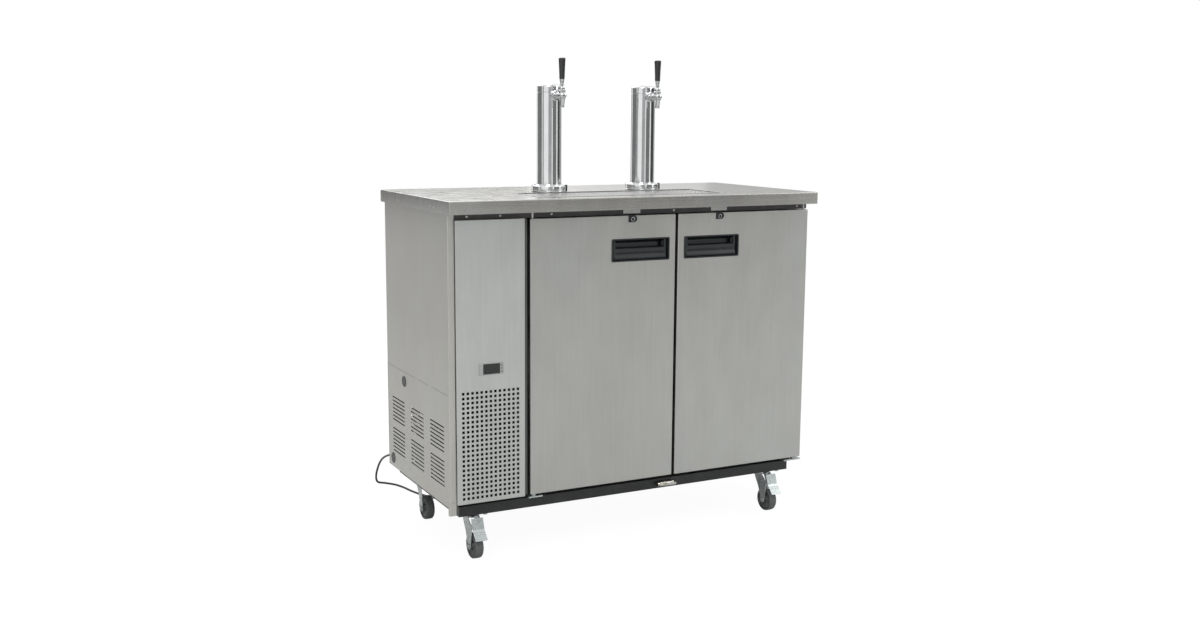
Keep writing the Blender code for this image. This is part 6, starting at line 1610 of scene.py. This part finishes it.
def tap_body(x):
    forward = at((x, TOWER_Y, TAP_Z), "front")
    collar = [(0, 0.0366), (0.0150, 0.0366), (0.0160, 0.0376), (0.0160, 0.0418), (0.0152, 0.0434),
              (0.0128, 0.0443),
              (0.0112, 0.0452), (0, 0.0452)]
    nut = prism(list(scalloped(0.0150, 0.0016, 6)), 0.0118, forward @ Matrix.Translation((0, 0, 0.0452)),
                0.0008, 2)
    barrel = [(0, 0.0560), (0.0106, 0.0560), (0.0112, 0.0580), (0.0115, 0.0598), (0.0112, 0.0628),
              (0.0098, 0.0648),
              (0.0090, 0.0680), (0.0090, 0.0740), (0.0096, 0.0770), (0.0110, 0.0806), (0.0115, 0.0850),
              (0.0115, 0.0940),
              (0.0108, 0.0985), (0.0090, 0.1015), (0.0060, 0.1028), (0, 0.1031)]
    bonnet = [(0, 0.0040), (0.0100, 0.0040), (0.0100, 0.0112), (0.0108, 0.0118), (0.0108, 0.0146),
              (0.0100, 0.0153),
              (0.0090, 0.0162), (0.0087, 0.0185), (0.0090, 0.0215), (0.0090, 0.0236), (0.0084, 0.0251),
              (0.0078, 0.0254),
              (0.0072, 0.0250), (0.0070, 0.0200), (0.0064, 0.0155), (0.0044, 0.0124), (0, 0.0118)]
    root = Vector((x, TOWER_Y - 0.0955, TAP_Z))
    mouth = Vector((x, TOWER_Y - 0.0890, TAP_Z - 0.0351))
    way = mouth - root
    reach = way.length
    spout_place = Matrix.Translation(root) @ way.to_track_quat("Z", "Y").to_matrix().to_4x4()
    spout = [(0, 0.0020), (0.0074, 0.0020), (0.0080, 0.0070), (0.0082, 0.0095), (0.0078, 0.0125),
             (0.0074, 0.0150),
             (0.0072, 0.0225), (0.0069, 0.0290), (0.0070, 0.0318), (0.0073, 0.0330), (0.0072, reach - 0.0008),
             (0.0066, reach - 0.0001), (0.0048, reach - 0.0001), (0.0045, reach - 0.0008), (0.0045, 0.0140),
             (0, 0.0130)]
    return merged(
        lathe(collar, forward, 48), nut, lathe(barrel, forward, 48),
        lathe(bonnet, at((x, LEVER_Y, TAP_Z)), 48), lathe(spout, spout_place, 36),
    )


for side, x in TOWER_X.items():
    piece(f"tower_{side}_tap", tap_body(x), TAP_CHROME, "cabinet", "polished_steel",
          (f"tower_{side}_faucet",))

# %% Turn the levers and the knobs
KNOB_FROM = 0.0287
KNOB_TO = 0.0920
for side, x in TOWER_X.items():
    pivot = at((x, LEVER_Y, LEVER_Z))
    lever = [(0, -0.0216), (0.0014, -0.0212), (0.0022, -0.0197), (0.0015, -0.0180), (0.0018, -0.0150),
             (0.0022, -0.0075),
             *[(max(r, 0.0022), z) for r, z in arc((0, 0), 0.0061, -68, 62, 10)], (0.0030, 0.0064),
             (0.0030, 0.0102),
             (0.0062, 0.0104), (0.0068, 0.0110), (0.0068, 0.0130), (0.0062, 0.0136), (0.0050, 0.0139),
             (0.0050, 0.0146),
             (0.0060, 0.0150), (0.0058, 0.0172), (0.0060, 0.0205), (0.0066, 0.0245), (0.0073, 0.0276),
             (0.0072, 0.0286),
             (0, 0.0286)]
    piece(f"tower_{side}_lever", lathe(lever, pivot, 40), TAP_CHROME, f"tap_handle_{side}", "polished_steel",
          (f"tower_{side}_handle",))
    knob = [(0, KNOB_FROM), (0.0076, KNOB_FROM), (0.0080, 0.0292), (0.0082, 0.0330), (0.0085, 0.0450),
            (0.0092, 0.0620),
            (0.0100, 0.0780), (0.0105, 0.0862), (0.0106, 0.0893), (0.0103, 0.0906), (0.0092, 0.0915),
            (0.0060, 0.0919),
            (0, KNOB_TO - 0.0001)]
    piece(f"tower_{side}_knob", lathe(knob, pivot, 48), KNOB_PLASTIC, f"tap_handle_{side}", "black_knob")

for side in TOWER_X:
    dress(f"tower_{side}_beer_line", HOSE_PLASTIC)

# %% [markdown]
# ## Casters
# Each caster is a plate with bolts, a ball race, a pressed fork and a solid rubber wheel on an axle. The
# front pair has a brake pedal. The fork leg is a flat outline from the crown to a round eye, drawn through
# the thickness of its sheet. The wheel is spun round its axle with a moulded core and a crowned tread.

# %% Turn the wheels
WHEEL_RADIUS = 0.0380
WHEEL_HALF = 0.0138
TYRE_INSIDE = 0.0288
TYRE_SECTION = (
    (TYRE_INSIDE, 0.0100), (0.0300, 0.0122), (0.0316, 0.0134), (0.0332, WHEEL_HALF), (0.0350, 0.0134),
    (0.0368, 0.0116),
    (0.0376, 0.0090), (0.0379, 0.0050), (WHEEL_RADIUS, 0.0000),
)
CORE_SECTION = (
    (0.0046, 0.0152), (0.0112, 0.0152), (0.0124, 0.0146), (0.0128, 0.0100), (0.0140, 0.0082),
    (0.0200, 0.0074),
    (0.0262, 0.0080), (0.0286, 0.0098), (0.0291, 0.0098), (0.0291, 0.0060),
)


def both_sides(section):
    """A half section of radius and reach along the axle, mirrored into a closed one."""
    far = [(r, -w) for r, w in reversed(section) if w > 0]
    return [*section, *far]


wheels = {}
for end in ("front", "rear"):
    for side, sign in SIDES:
        name = f"{end}_{side}"
        low, high = span(f"caster_{name}_wheel")
        axle = Vector(((low.x + high.x) / 2, (low.y + high.y) / 2, 0.038026))
        wheels[name] = axle
        place = at(axle, "right")
        rubber = tyre_rubber(f"tyre_{name}", axle, 0.0345, 0.0372)
        piece(f"caster_{name}_tyre", lathe(both_sides(TYRE_SECTION), place, 64, closed=True), rubber,
              f"wheel_{name}",
              "wheel_rubber", (f"caster_{name}_wheel",))
        piece(f"caster_{name}_core", lathe(both_sides(CORE_SECTION), place, 48, closed=True), PLUG_PLASTIC,
              f"wheel_{name}", "wheel_rubber")

# %% Press the forks
FORK_SHEET = 0.0030
FORK_INSIDE = 0.0160
CROWN_TOP = 0.1247
CROWN_SHEET = 0.0030
CROWN_RADIUS = 0.0238
EYE_RADIUS = 0.0108
LEG_TOP_HALF = 0.0205
TRAIL = 0.0300
PEDAL_PIN = Vector((0, -0.0130, 0.0615))


def leg_outline(end):
    """A fork leg seen from the side, measured from the axle, with Z up."""
    top = CROWN_TOP - 0.038026
    eye = list(arc((0, 0), EYE_RADIUS, 180 + 14, 360 + 20, 10))
    front = [(TRAIL - LEG_TOP_HALF, top)]
    if end == "front":
        ear = list(arc((PEDAL_PIN.y, PEDAL_PIN.z), 0.0078, 80, 200, 6))
        front = [(TRAIL - LEG_TOP_HALF + 0.004, top), *ear]
    else:
        front += [(0.0035, top - 0.020)]
    back = [(0.0250, 0.0400), (TRAIL + 0.0140, top - 0.0180), (TRAIL + LEG_TOP_HALF - 0.002, top - 0.006),
            (TRAIL + LEG_TOP_HALF, top)]
    return [*front, *eye, *back]


for name, axle in wheels.items():
    end, side = name.split("_")
    swivel = Vector((axle.x, axle.y + TRAIL, 0))
    parts = []
    for way in (-1, 1):
        inner = axle.x + way * FORK_INSIDE
        start = inner if way > 0 else inner - FORK_SHEET
        parts.append(prism(leg_outline(end), FORK_SHEET,
                           Matrix.Translation((start, axle.y, axle.z)) @ UPRIGHT, 0.0007, 2))
    crown = [(0, 0), (CROWN_RADIUS - 0.0010, 0), (CROWN_RADIUS, 0.0010), (CROWN_RADIUS, 0.0040),
             (CROWN_RADIUS - 0.0012, 0.0050), (0, 0.0050)]
    parts.append(lathe(crown, at((swivel.x, swivel.y, CROWN_TOP - 0.0050)), 40))
    kingpin = [(0, 0), (0.0046, 0), (0.0046, 0.0150), (0, 0.0150)]
    parts.append(lathe(kingpin, at((swivel.x, swivel.y, CROWN_TOP - 0.0020)), 16))
    parts.append(block((axle.x - FORK_INSIDE, axle.y + TRAIL - LEG_TOP_HALF + 0.001, CROWN_TOP - CROWN_SHEET),
                       (axle.x + FORK_INSIDE, axle.y + TRAIL + LEG_TOP_HALF - 0.001, CROWN_TOP - 0.0002),
                       0.0006, 1))
    if end == "front":
        pin = [(0, 0), (0.0027, 0), (0.0027, FORK_INSIDE * 2 + 0.004), (0, FORK_INSIDE * 2 + 0.004)]
        pin_at = axle + PEDAL_PIN - Vector((FORK_INSIDE + 0.002, 0, 0))
        parts.append(lathe(pin, at(pin_at, "right"), 16))
    piece(f"caster_{name}_yoke", merged(*parts), ZINC, f"fork_{name}", "zinc", (f"caster_{name}_fork",))
    bolt = [(0, 0), (0.0040, 0), (0.0040, 0.0380), (0, 0.0380)]
    bolt_parts = [lathe(bolt, at(axle - Vector((0.0190, 0, 0)), "right"), 20)]
    for way, facing in ((-1, "left"), (1, "right")):
        head = prism([(math.cos(math.radians(a)) * 0.0074, math.sin(math.radians(a)) * 0.0074)
                      for a in range(15, 375, 60)],
                     0.0032, at(axle + Vector((way * (FORK_INSIDE + FORK_SHEET), 0, 0)), facing), 0.0006, 2)
        bolt_parts.append(head)
    piece(f"caster_{name}_axle", merged(*bolt_parts), SCREW_STEEL, f"fork_{name}", "zinc")

# %% Press the brake pedals
PEDAL_HALF = 0.0185
PEDAL_SHEET = 0.0024
STRIP = ((-0.0042, 0.0258), (-0.0094, 0.0110), (-0.0150, -0.0044), (-0.0172, -0.0074), (-0.0206, -0.0112),
         (-0.0330, -0.0236), (-0.0408, -0.0322))


def ribbon(points, thick):
    """The outline of a bent strip, from the middle line of its section."""
    line = [Vector(p) for p in points]
    near, far = [], []
    for index, point in enumerate(line):
        before, after = line[max(index - 1, 0)], line[min(index + 1, len(line) - 1)]
        way = (after - before).normalized()
        side = Vector((-way.y, way.x)) * thick / 2
        near.append(tuple(point + side))
        far.append(tuple(point - side))
    return near + far[::-1]


for side, sign in SIDES:
    axle = wheels[f"front_{side}"]
    pivot_at = axle + PEDAL_PIN
    plate = prism(ribbon(STRIP, PEDAL_SHEET), PEDAL_HALF * 2,
                  Matrix.Translation(pivot_at - Vector((PEDAL_HALF, 0, 0))) @ UPRIGHT, 0.0006, 2)
    ribs = []
    a, b = Vector((0, -0.0212, -0.0106)), Vector((0, -0.0402, -0.0304))
    for rib in range(4):
        spot = pivot_at + a.lerp(b, 0.12 + rib * 0.25)
        ribs.append(pipe([spot + Vector((-0.0160, 0, 0)), spot + Vector((0.0160, 0, 0))], 0.0008, 8))
    piece(f"caster_front_{side}_brake", merged(plate, *ribs), ZINC, f"pedal_{side}", "zinc",
          (f"caster_front_{side}_pedal",))
    arm = prism([(0.0060, -0.0020), (0.0040, 0.0062), (-0.0080, 0.0120), (-0.0126, -0.0010),
                 (-0.0160, -0.0072), (-0.0060, -0.0052)],
                0.0218, Matrix.Translation((pivot_at.x - 0.0109, pivot_at.y, pivot_at.z)) @ UPRIGHT, 0.0008,
                1)
    barrel = [(0.0033, 0), (0.0066, 0), (0.0069, 0.0004), (0.0069, 0.0214), (0.0066, 0.0218),
              (0.0033, 0.0218)]
    tube = lathe(barrel, at(pivot_at - Vector((0.0109, 0, 0)), "right"), 28, closed=True)
    to_wheel = math.atan2(-PEDAL_PIN.z, -PEDAL_PIN.y) - math.radians(15)
    along = Vector((math.cos(to_wheel), math.sin(to_wheel)))
    across = Vector((-along.y, along.x)) * 0.0030
    tip = along * 0.0236
    shoe = prism([tuple(across), tuple(-across), tuple(tip - across), tuple(tip + across)], 0.0216,
                 Matrix.Translation((pivot_at.x - 0.0108, pivot_at.y, pivot_at.z)) @ UPRIGHT, 0.0006, 1)
    piece(f"caster_front_{side}_brake_arm", merged(arm, tube, shoe), ZINC, f"pedal_{side}", "zinc")

# %% Bolt the plates and the races under the base
for side, sign in SIDES:
    low, high = span(f"caster_rail_{side}")
    middle_x = (low.x + high.x) / 2
    parts = [block((middle_x - 0.0250, low.y, 0.1380), (middle_x + 0.0250, high.y, high.z), 0.0012, 2)]
    bolts = []
    for end in ("front", "rear"):
        swivel = wheels[f"{end}_{side}"] + Vector((0, TRAIL, 0))
        plate = block((swivel.x - 0.0380, swivel.y - 0.0460, 0.1350),
                      (swivel.x + 0.0380, swivel.y + 0.0460, 0.1382), 0.0006, 2)
        race = [(0.0052, 0.1250), (0.0205, 0.1250), (0.0222, 0.1262), (0.0226, 0.1290), (0.0212, 0.1304),
                (0.0212, 0.1316),
                (0.0236, 0.1330), (0.0244, 0.1352), (0.0052, 0.1352)]
        parts += [plate, lathe(race, at((swivel.x, swivel.y, 0)), 40, closed=True)]
        for dx in (-0.030, 0.030):
            for dy in (-0.037, 0.037):
                head = [(math.cos(math.radians(a)) * 0.0072, math.sin(math.radians(a)) * 0.0072)
                        for a in range(0, 360, 60)]
                bolts.append(prism(head, 0.0045, at((swivel.x + dx, swivel.y + dy, 0.1350), "down"), 0.0006,
                                   2))
    piece(f"caster_rail_{side}_channel", merged(*parts), ZINC, "cabinet", "zinc", (f"caster_rail_{side}",))
    piece(f"caster_rail_{side}_bolts", merged(*bolts), SCREW_STEEL, "cabinet", "zinc")

# %% [markdown]
# ## Drain valve
# A small nickel ball valve hangs in front of the base, with a flat lever on its stem. Its hexagon ends,
# round body and threaded stub are turned and merged.

# %% Turn the drain valve
lever_low, lever_high = span("drain_lever")
VALVE_AT = Vector((0.0995, -0.2603, 0.1530))
hexagon = [(math.cos(math.radians(a)) * 0.0078, math.sin(math.radians(a)) * 0.0078)
           for a in range(30, 390, 60)]
valve_body = [(0, -0.0200), (0.0070, -0.0200), (0.0074, -0.0100), (0.0080, -0.0060), (0.0080, 0.0060),
              (0.0074, 0.0100),
              (0.0070, 0.0200), (0, 0.0200)]
outlet = [(0.0042, -0.0286), (0.0062, -0.0286), (0.0066, -0.0280), (0.0056, -0.0262), (0.0066, -0.0244),
          (0.0056, -0.0226),
          (0.0066, -0.0208), (0.0066, -0.0180), (0.0042, -0.0180)]
stub = [(0, 0), (0.0062, 0), (0.0062, 0.0092), (0, 0.0092)]
along = at(VALVE_AT, "right")
valve = merged(
    lathe(valve_body, along, 36),
    prism(hexagon, 0.0075, along @ Matrix.Translation((0, 0, -0.0200)), 0.0006, 2),
    prism(hexagon, 0.0085, along @ Matrix.Translation((0, 0, 0.0200)), 0.0006, 2),
    lathe(outlet, along, 28, closed=True),
    lathe(stub, at(VALVE_AT, "back"), 24),
    lathe([(0, 0), (0.0033, 0), (0.0033, 0.0128), (0, 0.0128)], at(VALVE_AT, "front"), 20),
)
piece("drain_valve_body", valve, NICKEL, "cabinet", "nickel", ("drain_valve",))
reach = lever_high.x - VALVE_AT.x
tail = VALVE_AT.x - lever_low.x
bar = [*arc((-tail + 0.0040, 0), 0.0040, 90, 270, 6), *arc((reach - 0.0038, 0), 0.0038, -90, 90, 6)]
handle = prism(bar, lever_high.y - lever_low.y - 0.0016,
               at((VALVE_AT.x, lever_high.y, VALVE_AT.z), "front"), 0.0006, 2)
piece("drain_lever_bar", handle, BRIGHT_SHEET, "drain_lever", "stainless", ("drain_lever",))

# %% [markdown]
# ## Machine bay and evaporator
# Behind the perforated panel sit the compressor, its copper tubes and the condenser. Inside the
# compartment a white cover holds the evaporator's fan. Most of it shows only through the holes or an open
# door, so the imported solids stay, and pieces are added where the eye would miss them.

# %% Run the copper tubes
TUBE_RADIUS = 0.0032
tube_routes = (
    [(-0.4948, 0.1360, 0.3250), (-0.4948, 0.1360, 0.3480), (-0.4930, 0.1300, 0.3640),
     (-0.4900, 0.1000, 0.3720),
     (-0.4860, 0.0400, 0.3740), (-0.4820, -0.0400, 0.3800), (-0.4780, -0.1000, 0.3980),
     (-0.4760, -0.1340, 0.4300)],
    [(-0.4600, 0.1700, 0.3200), (-0.4500, 0.1760, 0.3420), (-0.4340, 0.1800, 0.3800),
     (-0.4240, 0.1800, 0.4600),
     (-0.4200, 0.1780, 0.5600), (-0.4100, 0.1700, 0.6600), (-0.3900, 0.1500, 0.7200)],
)
tubes = [pipe(smooth_line(route, 8), TUBE_RADIUS, 10) for route in tube_routes]
piece("refrigerant_tubes", merged(*tubes), COPPER, "cabinet", "brass")
weld = [(0.0742, 0.2380), (0.0758, 0.2390), (0.0762, 0.2410), (0.0758, 0.2430), (0.0742, 0.2440)]
piece("compressor_weld", lathe(weld, at((-0.4948, 0.1360, 0)), 64, closed=True), MOTOR_PAINT, "cabinet",
      "black_enamel")

# %% Guard the evaporator fan
cover_low, cover_high = span("evaporator_cover")
FAN_Y = 0.0396
FAN_Z = 0.7964
rings = []
for radius in (0.020, 0.034, 0.048, 0.062, 0.076):
    section = [(radius + math.cos(math.radians(a)) * 0.0011, math.sin(math.radians(a)) * 0.0011)
               for a in range(0, 360, 60)]
    rings.append(lathe(section, at((cover_high.x - 0.0022, FAN_Y, FAN_Z), "right"), 48, closed=True))
for turn in range(4):
    angle = math.radians(45 + turn * 90)
    way = Vector((0, math.cos(angle), math.sin(angle)))
    centre = Vector((cover_high.x - 0.0012, FAN_Y, FAN_Z))
    rings.append(pipe([centre + way * 0.018, centre + way * 0.0815], 0.0011, 8))
piece("evaporator_guard", merged(*rings), SCREW_STEEL, "cabinet", "polished_steel")
cover_screws = [screw_head(at((cover_high.x, y, z), "right"), 0.0032, 0.0012)
                for y in (cover_low.y + 0.012, cover_high.y - 0.012)
                for z in (cover_low.z + 0.012, cover_high.z - 0.012)]
piece("evaporator_screws", merged(*cover_screws), SCREW_STEEL, "cabinet", "polished_steel")

# %% Screw the lower hinges on
hinge_screws = []
for side, sign in SIDES:
    low, high = span(f"hinge_bracket_{side}")
    for x in (low.x + 0.010, low.x + 0.026):
        hinge_screws.append(screw_head(at((x, low.y + 0.012, low.z + 0.0035)), 0.0034, 0.0012))
piece("hinge_screws", merged(*hinge_screws), SCREW_STEEL, "cabinet", "zinc")

# %% [markdown]
# ## Sizes and finish
# The dressed model must not outgrow the imported one, so the box of everything it shows is measured.

# %% Measure the dressed model's box
low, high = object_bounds()
